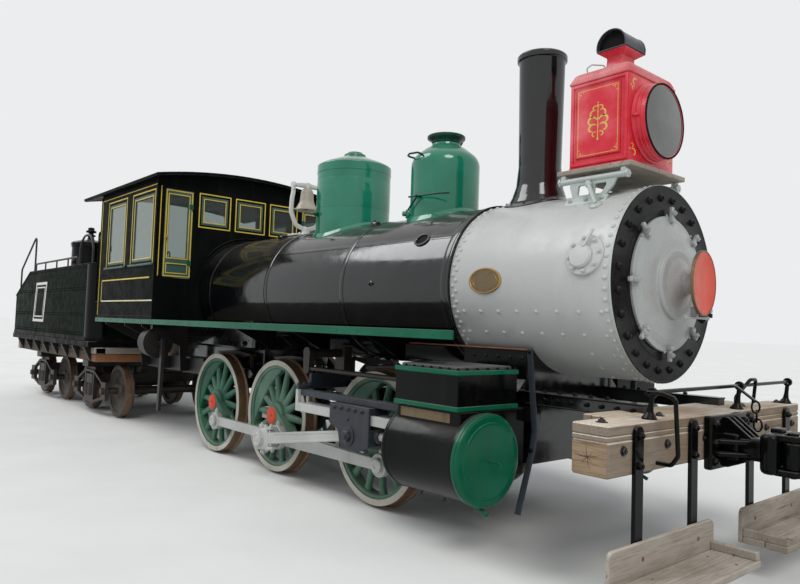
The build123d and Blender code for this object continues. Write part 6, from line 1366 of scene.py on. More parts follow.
tan_roof = [skin([
    oblong(LAMP_BACK - w, LAMP_FRONT + w, LAMP_HALF + w, z, 0.03 if w < 0 else 0.014) for w, z in roof
])]
gold = []
for s in (-1, 1):
    near, far = span(s, LAMP_HALF - 0.002, LAMP_HALF + 0.012)
    red += [surround(
        (LAMP_BACK + 0.006, LAMP_LOW + 0.03), (LAMP_FRONT - 0.006, LAMP_EAVE - 0.02), 0.026, near, far, "y",
        0.006, 0.005,
    )]
    near, far = span(s, LAMP_HALF - 0.001, LAMP_HALF + 0.008)
    raised = panel((LAMP_BACK + 0.056, LAMP_LOW + 0.086), (LAMP_FRONT - 0.062, LAMP_EAVE - 0.062), 0.004)
    red += [plate(raised, near, far, "y", 0.007)]
    near, far = span(s, LAMP_HALF + 0.006, LAMP_HALF + 0.0088)
    x_low, x_high, z_low, z_high = LAMP_BACK + 0.076, LAMP_FRONT - 0.082, LAMP_LOW + 0.106, LAMP_EAVE - 0.082
    gold += [surround((x_low, z_low), (x_high, z_high), 0.0042, near, far, "y", 0.003)]
    for x, x_way in ((x_low, 1), (x_high, -1)):
        for z, z_way in ((z_low, 1), (z_high, -1)):
            lean = np.arctan2(-z_way, -x_way)
            gold += [scroll((x + x_way * 0.022, z + z_way * 0.022), 0.013, lean, 1, near, far, "y")]
            gold += [plate(circle(0.0045, 8) + (x + x_way * 0.046, z + z_way * 0.011), near, far, "y")]
            gold += [plate(circle(0.0045, 8) + (x + x_way * 0.011, z + z_way * 0.046), near, far, "y")]
    # a painted spray: a stem, pairs of curls that open outwards, and drops that shrink to the tip
    mid_x, mid_z = (LAMP_BACK + LAMP_FRONT) / 2, (LAMP_LOW + LAMP_EAVE) / 2 + 0.01
    stem = [(mid_x - 0.004, mid_z - 0.125), (mid_x + 0.004, mid_z - 0.125), (mid_x + 0.003, mid_z + 0.125)]
    stem += [(mid_x - 0.003, mid_z + 0.125)]
    gold += [plate(np.array(stem), near, far, "y")]
    lift = s * 0.0003
    curl_near, curl_far = sorted((near + lift, far + lift))
    for level, size, lean in (
        (-0.105, 0.026, 2.2), (-0.06, 0.044, 2.4), (-0.004, 0.05, 2.9), (0.052, 0.037, 2.2),
        (0.098, 0.024, 2.4),
    ):
        gold += [scroll((mid_x + size * 1.15, mid_z + level), size, lean, -1, curl_near, curl_far, "y")]
        gold += [scroll(
            (mid_x - size * 1.15, mid_z + level), size, pi - lean, 1, curl_near + lift / 2,
            curl_far + lift / 2, "y",
        )]
    for level, tall in (
        (-0.138, 0.013), (-0.034, 0.011), (0.02, 0.012), (0.07, 0.01), (0.118, 0.013), (0.142, 0.008)
    ):
        gold += [plate(
            circle(1.0, 10) * (tall * 0.62, tall) + (mid_x, mid_z + level), near + 2 * lift, far + 2 * lift,
            "y",
        )]
for s in (-1, 1):
    for z, way in ((LAMP_LOW + 0.085, 1), (LAMP_EAVE - 0.085, -1)):
        for size, shift in ((0.036, 0.0), (0.022, 0.055)):
            centre = (s * (0.255 + shift * 0.4), z + way * shift * 0.9)
            gold += [scroll(
                centre, size, pi / 2 - s * way * 0.8, s * way, LAMP_FRONT - 0.001,
                LAMP_FRONT + 0.0016 + shift * 0.01, "x",
            )]
        gold += [plate(
            circle(0.007, 8) + (s * 0.308, z + way * 0.026), LAMP_FRONT - 0.001, LAMP_FRONT + 0.0028, "x"
        )]
NECK_LOW, NECK_HIGH, NECK_HALF = 3.6395, 3.7745, 0.092
HOOD_X, HOOD_R, HOOD_FLAT, HOOD_SILL, HOOD_HALF = 3.709, 0.128, 0.034, 3.88, 0.15
neck = [(0.05, 3.7), (0.04, 3.712), (0.014, 3.74), (0.004, 3.775), (0.0, 3.83), (0.004, 3.842)]
neck = [oblong(NECK_LOW - w, NECK_HIGH + w, NECK_HALF + w, z, 0.006 + w * 0.4) for w, z in neck]
neck += [oblong(
    HOOD_X - HOOD_R + 0.004, HOOD_X + HOOD_R - 0.004, HOOD_HALF - 0.01, HOOD_SILL - 0.004, 0.004
)]
neck += [oblong(HOOD_X - HOOD_R, HOOD_X + HOOD_R, HOOD_HALF - 0.006, HOOD_SILL + 0.004, 0.004)]
red += [skin(neck)]
turn = np.linspace(0, pi, 40)


def barn(radius, sill, spring):
    """The hood's end outline: a half round on two short upright sides."""
    top = np.column_stack([
        HOOD_X + radius * np.cos(turn), HOOD_SILL + HOOD_FLAT + spring + radius * np.sin(turn)
    ])
    return np.vstack([[(HOOD_X + radius, HOOD_SILL + sill)], top, [(HOOD_X - radius, HOOD_SILL + sill)]])


hood = [plate(
    np.vstack([barn(HOOD_R, 0.002, 0.0), barn(HOOD_R - 0.007, 0.002, 0.0)[::-1]]), -HOOD_HALF, HOOD_HALF,
    "y", 0.002,
)]
hood += [plate(
    panel((HOOD_X - HOOD_R, HOOD_SILL), (HOOD_X + HOOD_R, HOOD_SILL + 0.01), 0.002), -HOOD_HALF, HOOD_HALF,
    "y", 0.001,
)]
rims = []
for y in (0.004 - HOOD_HALF, HOOD_HALF - 0.004):
    rims += [tube(np.insert(barn(HOOD_R - 0.001, 0.006, 0.0), 1, y, axis=1), 0.0055, 10, closed=True)]
# soot and painted shade: a dark block fills the hood's inside, set back from its open ends
soot_and_shade_inside = [plate(barn(HOOD_R - 0.0075, 0.011, -0.002), -0.115, 0.115, "y")]
hinge = [slab((LAMP_FRONT, 0.305, z), (4.0045, 0.323, z + 0.028), 0.003) for z in (3.17, 3.292)]
hinge += [drum(0.005, 3.18, 3.31, "z", (3.9953, 0.314, 0), 0.001, 12)]
wire = [bent(
    [
        (3.56, -0.225, 3.68), (3.56, -0.25, 3.735), (3.59, -0.225, 3.765), (3.65, -0.15, 3.765),
        (3.67, -0.12, 3.715),
    ],
    0.0055, 0.02, 8,
)]
piece(
    "headlight_box", "locomotive",
    [
        (lamp_red, red + hinge), (lamp_roof, tan_roof), (gold_leaf, gold), (hood_grey, hood + rims),
        (soot_and_shade, soot_and_shade_inside), (bracket_grey, wire), (silvering, reflector),
    ],
    ["headlight_case"],
)

RING, BEZEL = LAMP_FRONT + 0.0003, 0.108
collar = [
    (0.262, 0.0, 0), (0.306, 0.0, 0.004), (0.306, 0.012, 0.004), (0.294, 0.018, 0.006),
    (0.29, 0.036, 0.004), (0.2935, 0.042, 0.003), (0.289, 0.048, 0.003), (0.287, 0.066, 0.004),
    (0.2905, 0.072, 0.003), (0.286, 0.078, 0.003), (0.286, BEZEL, 0.004), (0.276, BEZEL + 0.002, 0.002),
    (0.262, BEZEL - 0.004, 0),
]
red = [turned(eased([(r, RING + x, e) for r, x, e in collar], 5), "x", LAMP_AXIS, 144)]
red += [slab((RING + 0.001, 0.288, 3.2), (RING + 0.017, 0.316, 3.29), 0.003)]
red += [drum(0.0088, 3.2, 3.29, "z", (3.9953, 0.314, 0), 0.002, 20)]
dark = [hoop(0.272, 0.287, RING + BEZEL - 0.003, RING + BEZEL + 0.006, "x", LAMP_AXIS, 0.002, 128)]
knob = [drum(0.012, RING + 0.02, RING + 0.06, "x", (0, -0.299, LAMP_Z), 0.003, 16)]
piece(
    "headlight_collar", "headlight_front", [(lamp_red, red + knob), (soot_and_shade, dark)],
    ["headlight_door"],
)
bulge = np.linspace(1, 0, 9)
face = [(0.2735 * r, RING + BEZEL - 0.002 + 0.008 * (1 - r * r)) for r in bulge]
glass = [*face, (0, RING + BEZEL - 0.008), (0.2735, RING + BEZEL - 0.006)]
piece(
    "headlight_lens", "headlight_front", [(lamp_glass, [turned(glass, "x", LAMP_AXIS, 128)])],
    ["headlight_glass"],
)

planks = [slab((3.406, y, 2.862), (4.056, y + 0.196, 2.898), 0.004) for y in (-0.4, -0.199, 0.003, 0.204)]
planks += [slab((3.47, -0.338, 2.893), (3.998, 0.338, 2.9005), 0.003)]
under = []
for s in (-1, 1):
    y = s * 0.372
    under += [tube([(3.43, y, 2.81), (4.01, y, 2.81)], 0.024, 24)]
    for x in (3.46, 3.985):
        under += [slab((x - 0.022, y - 0.022, 2.81), (x + 0.022, y + 0.022, 2.862), 0.006)]
    under += [nuts([(4.008, y, 2.81)], (1, 0, 0), 0.034, 0.016)]
    under += [nuts([(3.432, y, 2.81)], (-1, 0, 0), 0.034, 0.016)]
    foot_z = BOILER_Z + sqrt(SMOKEBOX_R**2 - 0.4**2)
    cheek = [(3.52, 2.8, 0.01), (3.52, 2.76, 0.02), (3.56, foot_z, 0.01), (3.8, foot_z, 0.04)]
    cheek += [(3.9, 2.735, 0.06), (3.935, 2.8, 0.01)]
    holes = [eased([(3.59, 2.69, 0.01), (3.69, 2.69, 0.01), (3.7, 2.765, 0.012), (3.6, 2.765, 0.012)], 4)]
    holes += [eased(
        [(3.735, 2.69, 0.012), (3.8, 2.69, 0.03), (3.855, 2.765, 0.012), (3.745, 2.765, 0.012)], 4
    )]
    under += [plate(eased(cheek, 5), y - 0.012, y + 0.012, "y", 0.003, holes)]
    path = [(3.5, s * 0.4, foot_z + 0.004), (3.86, s * 0.4, foot_z + 0.004)]
    under += [strap(path, 0.085, 0.016, (0, -s * 0.55, 0.83))]
    spots = [(x, s * 0.405, foot_z + 0.014) for x in (3.54, 3.68, 3.82)]
    under += [nuts(spots, (0, s * 0.55, 0.83), 0.016, 0.014)]
    toe = np.array([(3.815, s * 0.47, BOILER_Z + sqrt(SMOKEBOX_R**2 - 0.47**2))])
    knee = (3.7, s * 0.4, 2.765)
    under += [tube([knee, tuple(toe[0] + (0, s * 0.006, 0.012))], 0.017, 20)]
    under += [nuts([knee], (0, s, 0), 0.03, 0.012, False)]
    disc = [(0, -0.012, 0), (0.046, -0.012, 0.003), (0.046, 0.01, 0.005), (0.026, 0.02, 0.008)]
    disc += [(0, 0.02, 0)]
    disc = turned(eased(disc, 4), sides=32)
    under += [scatter(disc, toe, out_from(toe))]
piece(
    "headlight_mount", "locomotive", [(board_wood, planks), (bracket_grey, under)],
    ["headlight_shelf"],
)

# Running boards and cab

edge = []
for s in (-1, 1):
    edge += [side_slab(s, (-4.566, 1.3475, 1.5545), (3.2555, 1.3645, 1.6225), 0.003)]
    edge += [rivets([(x, s * 1.3642, 1.588) for x in np.arange(-4.45, 3.22, 0.3)], (0, s, 0), 0.009)]
piece("board_edges", "locomotive", [(engine_green, edge)])
deck, under = [], []
for s in (-1, 1):
    outline = np.array([
        (-4.565, s * 0.645), (2.5, s * 0.645), (2.62, s * 0.74), (3.235, s * 1.348), (-4.565, s * 1.348)
    ])
    deck += [plate(outline, 1.5815, 1.6212, "z", 0.002)]
    under += [side_slab(s, (-4.563, 1.342, 1.5565), (3.253, 1.3478, 1.6205), 0.001)]
    for x in (-0.5, 0.7, 1.9):
        arm = eased(
            [
                (s * 0.62, 1.322, 0), (s * 0.62, 1.5825, 0), (s * 1.11, 1.5825, 0), (s * 1.11, 1.56, 0.01),
                (s * 0.68, 1.35, 0.03), (s * 0.66, 1.322, 0),
            ],
            4,
        )
        under += [plate(arm, x, x + 0.022, "x", 0.003)]
piece("board_plates", "locomotive", [(frame_black, deck + under)], ["running_boards"])


def round_the_boiler(x, radius, half_angle):
    """A line over the boiler at one station, as far down each side as the half angle."""
    angle = np.radians(np.linspace(-half_angle, half_angle, 50))
    return np.column_stack([np.full(50, x), radius * np.sin(angle), BOILER_Z + radius * np.cos(angle)])


CAB_FRONT_X = -2.266
SIDE_WINDOWS = ((-4.145, -3.44), (-3.14, -2.39))
yellow, cream, sashes, trim = [], [], [], []
for s in (-1, 1):
    near, far = span(s, 1.3635, 1.366)
    for low, high in SIDE_WINDOWS:
        yellow += [surround((low - 0.042, 2.36), (high + 0.042, 3.368), 0.018, near, far, "y", 0.01)]
        sash_near, sash_far = span(s, 1.333, 1.362)
        sashes += [surround(
            (low + 0.003, 2.403), (high - 0.003, 3.317), 0.046, sash_near, sash_far, "y", 0.002, 0.004
        )]
        line_near, line_far = span(s, 1.3615, 1.3633)
        yellow += [surround(
            (low + 0.036, 2.436), (high - 0.036, 3.284), 0.014, line_near, line_far, "y", 0.004
        )]
        sashes += [side_slab(s, (low - 0.05, 1.32, 2.345), (high + 0.05, 1.398, 2.372))]
    yellow += [slab((-4.345, near, 2.172), (-2.447, far, 2.19), 0.0005)]
    yellow += [slab((-4.345, near, 1.866), (-4.329, far, 2.19), 0.0005)]
    cream += [slab((-4.345, near, 1.862), (-2.3, far, 1.88), 0.0005)]
    for x in (-4.47, -2.296):
        yellow += [slab((x - 0.01, near, 1.66), (x + 0.01, far, 3.43), 0.0005)]
    yellow += [slab((-4.466, near, 3.415), (-2.3, far, 3.428), 0.0005)]
    trim += [
        side_slab(s, (x - 0.014, 1.362, 1.624), (x + 0.014, 1.374, 3.475), 0.004) for x in (-4.494, -2.281)
    ]
    trim += [side_slab(s, (-4.512, 1.362, 1.624), (-2.264, 1.372, 1.664), 0.004)]
    places = np.array([(x, s * 1.374, z) for z in np.arange(1.7, 3.45, 0.14) for x in (-4.494, -2.281)])
    trim += [rivets(places, (0, s, 0), 0.007)]
    trim += [bent(
        [(-4.56, s * 1.36, 1.85), (-4.6, s * 1.36, 1.85), (-4.6, s * 1.36, 2.95), (-4.5, s * 1.36, 2.95)],
        0.014, 0.05,
    )]
front = CAB_FRONT_X
for low, high in ((-0.755, -0.35), (-0.205, 0.205), (0.35, 0.755)):
    yellow += [surround(
        (low - 0.037, 2.903), (high + 0.037, 3.382), 0.016, front - 0.001, front + 0.002, "x", 0.008
    )]
    sashes += [surround(
        (low + 0.002, 2.942), (high - 0.002, 3.343), 0.04, front - 0.034, front - 0.005, "x", 0.002, 0.004
    )]
    yellow += [surround(
        (low + 0.034, 2.974), (high - 0.034, 3.311), 0.012, front - 0.006, front - 0.0035, "x", 0.003
    )]
for s in (-1, 1):
    yellow += [side_slab(s, (front - 0.001, 1.318, 2.2), (front + 0.002, 1.33, 3.4), 0.0005)]
bead = round_the_boiler(front + 0.004, 0.8, 52)
trim += [tube(bead, 0.009, 8)]
lap = round_the_boiler(front, BOILER_R + 0.01, 115)
trim += [carried(panel((-0.012, -0.012), (0.012, 0.012), 0.004, 3), lap)]
piece(
    "cab_trim", "locomotive",
    [(line_yellow, yellow), (line_cream, cream), (sash_green, sashes), (cab_black, trim)],
)

ROOF_RISE = 0.154
ROOF_RADIUS = (1.45**2 + ROOF_RISE**2) / (2 * ROOF_RISE)


def roof_height(y):
    """The roof's underside: a flat arc that falls from the crown to the eaves."""
    return 3.644 - ROOF_RADIUS + np.sqrt(ROOF_RADIUS**2 - np.asarray(y) ** 2)


y = np.linspace(-1.436, 1.436, 60)
top = np.column_stack([y, roof_height(y) + 0.046])
bottom = np.column_stack([y, roof_height(y)])[::-1]
edge_left = arc((1.436, roof_height(1.436) + 0.023), 0.023, 80, -80, 8)
edge_right = arc((-1.436, roof_height(1.436) + 0.023), 0.023, 260, 100, 8)
sheet = np.vstack([top, edge_left, bottom, edge_right])
roofing = [plate(sheet[::-1], -5.15, -2.12, "x", 0.006)]
for x in np.linspace(-5.02, -2.25, 6):
    rib = np.column_stack([np.full(50, x), y[5:-5], roof_height(y[5:-5]) + 0.0465])
    roofing += [carried(panel((-0.012, -0.002), (0.012, 0.007), 0.003, 3), rib, (0, 0, 1))]
mould = []
for s in (-1, 1):
    for z, out in ((3.5, 1.4475), (3.524, 1.4495)):
        mould += [tube([(-5.149, s * out, z), (-2.121, s * out, z)], 0.0085, 8)]
for x in (-5.145, -2.125):
    line = np.column_stack([np.full(60, x), y, roof_height(y) + 0.004])
    mould += [tube(line, 0.0095, 8), tube(line + (0, 0, 0.03), 0.0085, 8)]
wall_top = float(roof_height(1.362)) + 0.004
plates = [side_slab(s, (-4.508, 1.322, 3.44), (-2.268, 1.362, wall_top), 0.002) for s in (-1, 1)]
piece(
    "cab_roofing", "locomotive", [(cab_black, roofing + plates), (frame_black, mould)],
    ["cab_roof"],
)

fittings = [side_slab(s, (-4.375, 0.765, 1.625), (-3.485, 1.312, 1.96), 0.012) for s in (-1, 1)]
cushions = []
for s in (-1, 1):
    y_mid = s * 1.04
    u, v = np.meshgrid(np.linspace(-1, 1, 21), np.linspace(0, 2 * pi, 33)[:-1], indexing="ij")
    crown = 0.004 + (1 - u**6) * 0.044
    across = 0.255 * np.sign(np.cos(v)) * np.abs(np.cos(v)) ** 0.4 * (1 - 0.02 * u**8)
    rise = crown * np.sign(np.sin(v)) * np.abs(np.sin(v)) ** 0.6
    rows = np.stack([-3.93 + 0.42 * u, y_mid + across, 2.006 + rise], axis=-1)
    cushions += [skin(rows)]
backhead = [slab((-3.29, -0.21, 1.7), (-3.248, 0.21, 2.0), 0.01)]
backhead += [slab((-3.296, -0.15, 1.74), (-3.288, 0.15, 1.96), 0.004)]
backhead += [drum(0.034, -3.4, -3.25, "x", (0, 0, 2.5), 0.004, 24)]
backhead += [slab((-3.43, -0.03, 2.48), (-3.4, 0.42, 2.52), 0.006)]
backhead += [drum(0.075, -3.3, -3.25, "x", (0, y, 2.62), 0.01, 32) for y in (-0.28, 0.26)]
backhead += [tube([(-3.33, -0.52, z), (-3.25, -0.52, z)], 0.018) for z in (2.08, 2.2, 2.32)]
steps = np.radians(np.arange(-20, 201, 10.0))
places = [(-3.252, 0.66 * cos(a), BOILER_Z + 0.66 * sin(a)) for a in steps]
backhead += [nuts(places, (-1, 0, 0), 0.016, 0.014)]
glow = [drum(0.068, -3.302, -3.299, "x", (0, y, 2.62), 0.001, 32) for y in (-0.28, 0.26)]
lever = eased([(-3.42, 1.625, 0), (-3.36, 1.625, 0), (-3.52, 2.64, 0.01), (-3.57, 2.64, 0.01)], 3)
backhead += [plate(lever, -0.72, -0.69, "y", 0.004)]
backhead += [drum(0.022, 2.54, 2.66, "z", (-3.545, -0.705, 0), 0.01, 16)]
piece(
    "cab_inside", "locomotive",
    [(cab_black, fittings), (seat_brown, cushions), (iron_black, backhead), (white_paint, glow)],
    ["cab_fittings"],
)

for side, name in ((-1, "right"), (1, "left")):
    leaf_x = CAB_FRONT_X - 0.018
    near, far = 0.874, 1.264
    holes = [panel((0.94, low), (1.205, high), 0.004) for low, high in ((2.46, 3.295), (2.262, 2.362))]
    leaf = [plate(
        panel((near, 2.191), (far, 3.374), 0.003), CAB_FRONT_X - 0.036, CAB_FRONT_X, "x", 0.003, holes
    )]
    fill = [plate(
        panel((0.938, 2.26), (1.207, 2.364), 0.002), CAB_FRONT_X - 0.026, CAB_FRONT_X - 0.012, "x", 0.001
    )]
    lines = [
        surround(low, high, width, CAB_FRONT_X - 0.001, CAB_FRONT_X + 0.0018, "x", 0.004)
        for low, high, width in (
            ((near + 0.008, 2.201), (far - 0.008, 3.364), 0.015), ((0.92, 2.44), (1.225, 3.315), 0.013),
            ((0.92, 2.242), (1.225, 2.382), 0.012),
        )
    ]
    pane = [slab((leaf_x - 0.004, 0.938, 2.458), (leaf_x + 0.004, 1.207, 3.297), 0.001)]
    knob = [(0, 0), (0.01, 0), (0.01, 0.02), (0.02, 0.03), (0.02, 0.042), (0, 0.048)]
    knob = [turned(knob, "x", (CAB_FRONT_X, 1.236, 2.72), 20)]
    hinges = []
    for low in (2.365, 3.13):
        hinges += [drum(0.01, low, low + 0.07, "z", (CAB_FRONT_X + 0.01, 0.884, 0), 0.002, 16)]
        hinges += [slab((CAB_FRONT_X - 0.002, 0.885, low), (CAB_FRONT_X + 0.004, 0.93, low + 0.07), 0.001)]
    node = "cab_door_" + name
    piece(
        node + "_leaf", node,
        [
            (sash_green, sided(side, leaf + fill)), (line_yellow, sided(side, lines)),
            (brass, sided(side, knob)), (deep_green, sided(side, hinges)),
            (window_glass, sided(side, pane)),
        ],
        [node],
    )

# Front end

beam = [slab((4.298, -1.404, 0.818), (4.544, 1.404, 1.022), 0.01)]
beam += [slab((4.3, -1.404, 1.0225), (4.542, 1.404, 1.052), 0.005)]
beam += [slab((4.298, -1.404, 1.0535), (4.544, 1.404, 1.116), 0.008)]
checks = []
for s in (-1, 1):
    low_y, high_y = span(s, 1.403, 1.4046)
    checks += [plate(panel((4.306, 0.826), (4.536, 1.016), 0.006), low_y, high_y, "y")]
split = np.linspace(0, 1, 40)
for z, start, stop, lean in (
    (0.928, -1.1, 0.2, 0.01), (0.985, 0.55, 1.3, -0.008), (0.88, -0.3, 0.52, 0.006)
):
    wander = z + lean * split + 0.004 * np.sin(11 * split + z * 40)
    path = np.column_stack([start + (stop - start) * split, wander])
    thin = np.column_stack([0 * split, 0.0022 * np.sin(pi * split) + 0.0002])
    cracks = np.vstack([path - thin, (path + thin)[::-1]])
    checks += [plate(cracks, 4.5435, 4.5447, "x")]
DRYING_SPLITS = (
    (17, 0.085, 1.2), (49, 0.05, 0.8), (96, 0.072, 1.3), (139, 0.044, 0.7), (172, 0.095, 1.5),
    (231, 0.06, 0.9), (287, 0.078, 1.1), (338, 0.04, 0.7),
)
rays = []
for s in (-1, 1):
    for degrees, reach, thick in DRYING_SPLITS:
        tip = np.array([cos(radians(degrees)), sin(radians(degrees))])
        aside = np.array([-tip[1], tip[0]])
        off = aside * 0.001 * thick
        knee = tip * reach * 0.5 + aside * 0.006 * sin(degrees)
        wedge = np.array([(4.41, 0.925)]) + np.array([-off, off, knee + off, tip * reach, knee - off])
        low_y, high_y = span(s, 1.404, 1.4052)
        rays += [plate(wedge, low_y, high_y, "y")]
planks = []
for x, lift in ((4.108, 0.0), (4.171, -0.002), (4.234, 0.0)):
    planks += [slab((x, -1.01, 1.064), (x + 0.06, 1.01, 1.116 + lift), 0.005)]

irons = []
for y in np.arange(-1.25, 1.3, 0.5):
    irons += [nuts([(4.544, y, 0.966)], (1, 0, 0), 0.024, 0.018)]
    irons += [drum(0.03, 4.543, 4.548, "x", (0, y, 0.966), 0.002, 24)]
for y in (-1.28, -0.62, 0.62, 1.28):
    irons += [nuts([(4.42, y, 1.116)], (0, 0, 1), 0.022, 0.018)]
    irons += [drum(0.036, 1.112, 1.12, "z", (4.42, y, 0), 0.002, 24)]
piece(
    "front_beam_timbers", "locomotive",
    [(old_wood, beam + planks), (end_wood, checks), (soot_and_shade, rays), (iron_black, irons)],
    ["front_beam"],
)

straps = []
for s in (-1, 1):
    for y in (0.435, 1.11):
        low_y, high_y = sorted((s * y - 0.046, s * y + 0.046))
        outline = eased(
            [(low_y, 0.19, 0), (high_y, 0.19, 0), (high_y, 1.102, 0.044), (low_y, 1.102, 0.044)], 7
        )
        straps += [plate(outline, 4.544, 4.57, "x", 0.004)]
        straps += [slab((4.56, low_y, 0.186), (4.84, high_y, 0.202), 0.004)]
        straps += [nuts([(4.57, s * y, z) for z in (0.87, 1.045)], (1, 0, 0), 0.024, 0.02)]
        straps += [slab((4.566, low_y, 0.3), (4.573, high_y, 0.41), 0.002)]
stanchion_z = {-0.85: 1.285, 0.39: 1.29, 1.3: 1.295}
for y, top in stanchion_z.items():
    foot = [(0, 1.112, 0), (0.05, 1.112, 0.004), (0.046, 1.126, 0.006), (0.022, 1.16, 0.03)]
    foot += [(0.016, 1.2, 0.01), (0.015, top - 0.02, 0), (0, top - 0.02, 0)]
    straps += [tilted(turned(eased(foot, 5), "z", (4.48, y, 0), 24), (0, 1, 0), 6, (4.48, y, 1.116))]
    eye = (4.48 + (top - 1.116) * 0.1, y, top - 0.004)
    ring = [(0.014, -0.014, 0.004), (0.034, -0.014, 0.006), (0.034, 0.014, 0.006), (0.014, 0.014, 0.004)]
    straps += [turned(eased(ring, 4), "y", eye, 24)]
lift_bar = [(4.499, -0.93, 1.283), (4.499, 1.36, 1.293)]
straps += [tube(lift_bar, 0.0135, 14)]
straps += [bent(
    [
        (4.499, -0.9, 1.283), (4.6, -0.93, 1.29), (4.69, -0.93, 1.265), (4.71, -0.93, 0.93),
        (4.67, -0.93, 0.872), (4.575, -0.93, 0.872),
    ],
    0.0135, 0.035, 14,
)]
straps += [strap(
    [(4.499, 0.05, 1.286), (4.62, 0.045, 1.305), (4.76, 0.04, 1.21)], 0.034, 0.012, (0, 1, 0), 0.05
)]
steps = np.arange(20) * pi / 10
link = np.column_stack([0.024 * np.cos(steps), np.zeros(20), 0.04 * np.sin(steps)])
link = tube(link, 0.0065, 8, closed=True)
for number in range(3):
    one = tilted(link, (0, 0, 1), 90 * (number % 2) + 20)
    straps += [moved(one, (4.762 + 0.014 * number, 0.02 - 0.016 * number, 1.178 - 0.058 * number))]
straps += [bent(
    [(4.455, 0.43, 1.125), (4.455, 0.43, 1.2), (4.52, 0.52, 1.33), (4.52, 0.62, 1.33), (4.47, 0.7, 1.15)],
    0.013, 0.03,
)]
piece("beam_ironwork", "locomotive", [(chest_black, straps)], ["beam_irons"])

boards, cleats, nails = [], [], []
for s in (-1, 1):
    near, far = span(s, 0.216, 1.46)
    boards += [slab((4.601, near, 0.203), (4.747, far, 0.249), 0.006)]
    boards += [slab((4.751, near, 0.202), (4.899, far, 0.248), 0.006)]
    outline = eased(
        [(near, 0.203, 0.004), (far, 0.203, 0.004), (far, 0.439, 0.045), (near, 0.439, 0.045)], 7
    )
    boards += [plate(outline, 4.571, 4.599, "x", 0.004)]
    y = s * 0.246
    cleats += [slab((4.6, y - 0.024, 0.2485), (4.892, y + 0.024, 0.302), 0.005)]
    nails += [rivets(
        [(x, s * y, 0.2485) for x in (4.66, 4.84) for y in (0.435, 1.11)], (0, 0, 1), 0.01, 0.003
    )]
    nails += [rivets([(4.599, s * y, 0.345) for y in (0.435, 1.11)], (1, 0, 0), 0.015, 0.004)]
piece(
    "footboard_planks", "locomotive", [(board_wood, boards), (board_wood, cleats), (rust_edge, nails)],
    ["footboards"],
)


def rounded_block(low, high, ease=0.02, steps=5):
    """A casting's block: a rounded outline seen from above, its top and bottom edges eased by an
    arc that steps the outline in as it nears each face."""
    low, high = np.asarray(low, float), np.asarray(high, float)
    outline = panel(low[:2], high[:2], ease * 1.2, steps)
    turn = np.linspace(0, pi / 2, steps)
    drop = np.concatenate([ease * (1 - np.sin(turn)), ease * (1 - np.sin(turn[::-1]))])
    rise = np.concatenate([low[2] + ease * (1 - np.cos(turn)), high[2] - ease * (1 - np.cos(turn[::-1]))])
    rows = [np.column_stack([inset(outline, d), np.full(len(outline), z)]) for d, z in zip(drop, rise)]
    return skin(rows)


def drawhead(face, nose, forward):
    """A coupler's drawhead and its knuckle, as skins of rounded castings, the knuckle apart."""
    head, pivot_y = nose - forward * 0.3, -forward * 0.095
    pivot_x = head + forward * 0.178

    def ahead(x_near, x_far, y_low, y_high, z_low, z_high, ease=0.02):
        """A rounded block between two stations, whichever way the coupler faces."""
        y_low, y_high = sorted((y_low, y_high))
        return rounded_block((min(x_near, x_far), y_low, z_low), (max(x_near, x_far), y_high, z_high), ease)

    made = [ahead(face, face + forward * 0.058, -0.27, 0.27, 0.757, 1.114, 0.016)]
    made += [ahead(face + forward * 0.05, head, -0.085, 0.085, 0.83, 0.98, 0.028)]
    made += [ahead(head, head + forward * 0.11, -0.19, 0.19, 0.775, 1.035, 0.036)]
    made += [ahead(
        head + forward * 0.05, nose - forward * 0.03, forward * 0.1, forward * 0.19, 0.777, 1.033, 0.034
    )]
    made += [ahead(face + forward * 0.02, face + forward * 0.16, -0.1, 0.1, 0.815, 0.995, 0.02)]
    for low in (0.775, 0.995):
        made += [ahead(
            head + forward * 0.08, pivot_x, pivot_y - 0.062, pivot_y + 0.062, low, low + 0.04, 0.01
        )]
        made += [drum(0.062, low, low + 0.04, "z", (pivot_x, pivot_y, 0), 0.01, 36)]
    made += [drum(0.02, 0.765, 1.055, "z", (pivot_x, pivot_y, 0), 0.004, 20)]
    made += [drum(0.034, 1.035, 1.052, "z", (pivot_x, pivot_y, 0), 0.006, 24)]
    made += [ahead(head + forward * 0.02, head + forward * 0.09, -0.05, 0.05, 1.02, 1.062, 0.012)]
    rib_near, rib_far = face + forward * 0.05, face + forward * 0.235
    for s, base, reach in ((1, 0.975, 0.125), (-1, 0.835, 0.07)):
        rib = [(rib_near, base, 0), (rib_far, base, 0)]
        rib += [(rib_near + forward * 0.03, base + s * reach, 0.03), (rib_near, base + s * reach, 0)]
        rib = eased(rib, 5)
        made += [plate(rib, y - 0.013, y + 0.013, "y", 0.004) for y in (-0.07, 0.0, 0.07)]
    for s in (-1, 1):
        rib = [(rib_near, s * 0.08, 0), (rib_far, s * 0.08, 0)]
        rib += [(rib_near + forward * 0.03, s * 0.205, 0.03), (rib_near, s * 0.205, 0)]
        rib = eased(rib, 5)
        made += [plate(rib, z - 0.013, z + 0.013, "z", 0.004) for z in (0.862, 0.945)]
    places = [(face + forward * 0.058, y, z) for y in (-0.225, 0.225) for z in (0.81, 0.935, 1.06)]
    made += [nuts(places, (forward, 0, 0), 0.026, 0.022)]
    low, high = 0.821, 0.989
    jaw = [drum(0.058, low, high, "z", (pivot_x, pivot_y, 0), 0.012, 44)]
    jaw += [ahead(pivot_x, nose, pivot_y - 0.04, pivot_y + 0.04, low, high, 0.018)]
    jaw += [ahead(
        nose - forward * 0.07, nose, pivot_y - forward * 0.04, pivot_y + forward * 0.13, low, high, 0.026
    )]
    return made, jaw


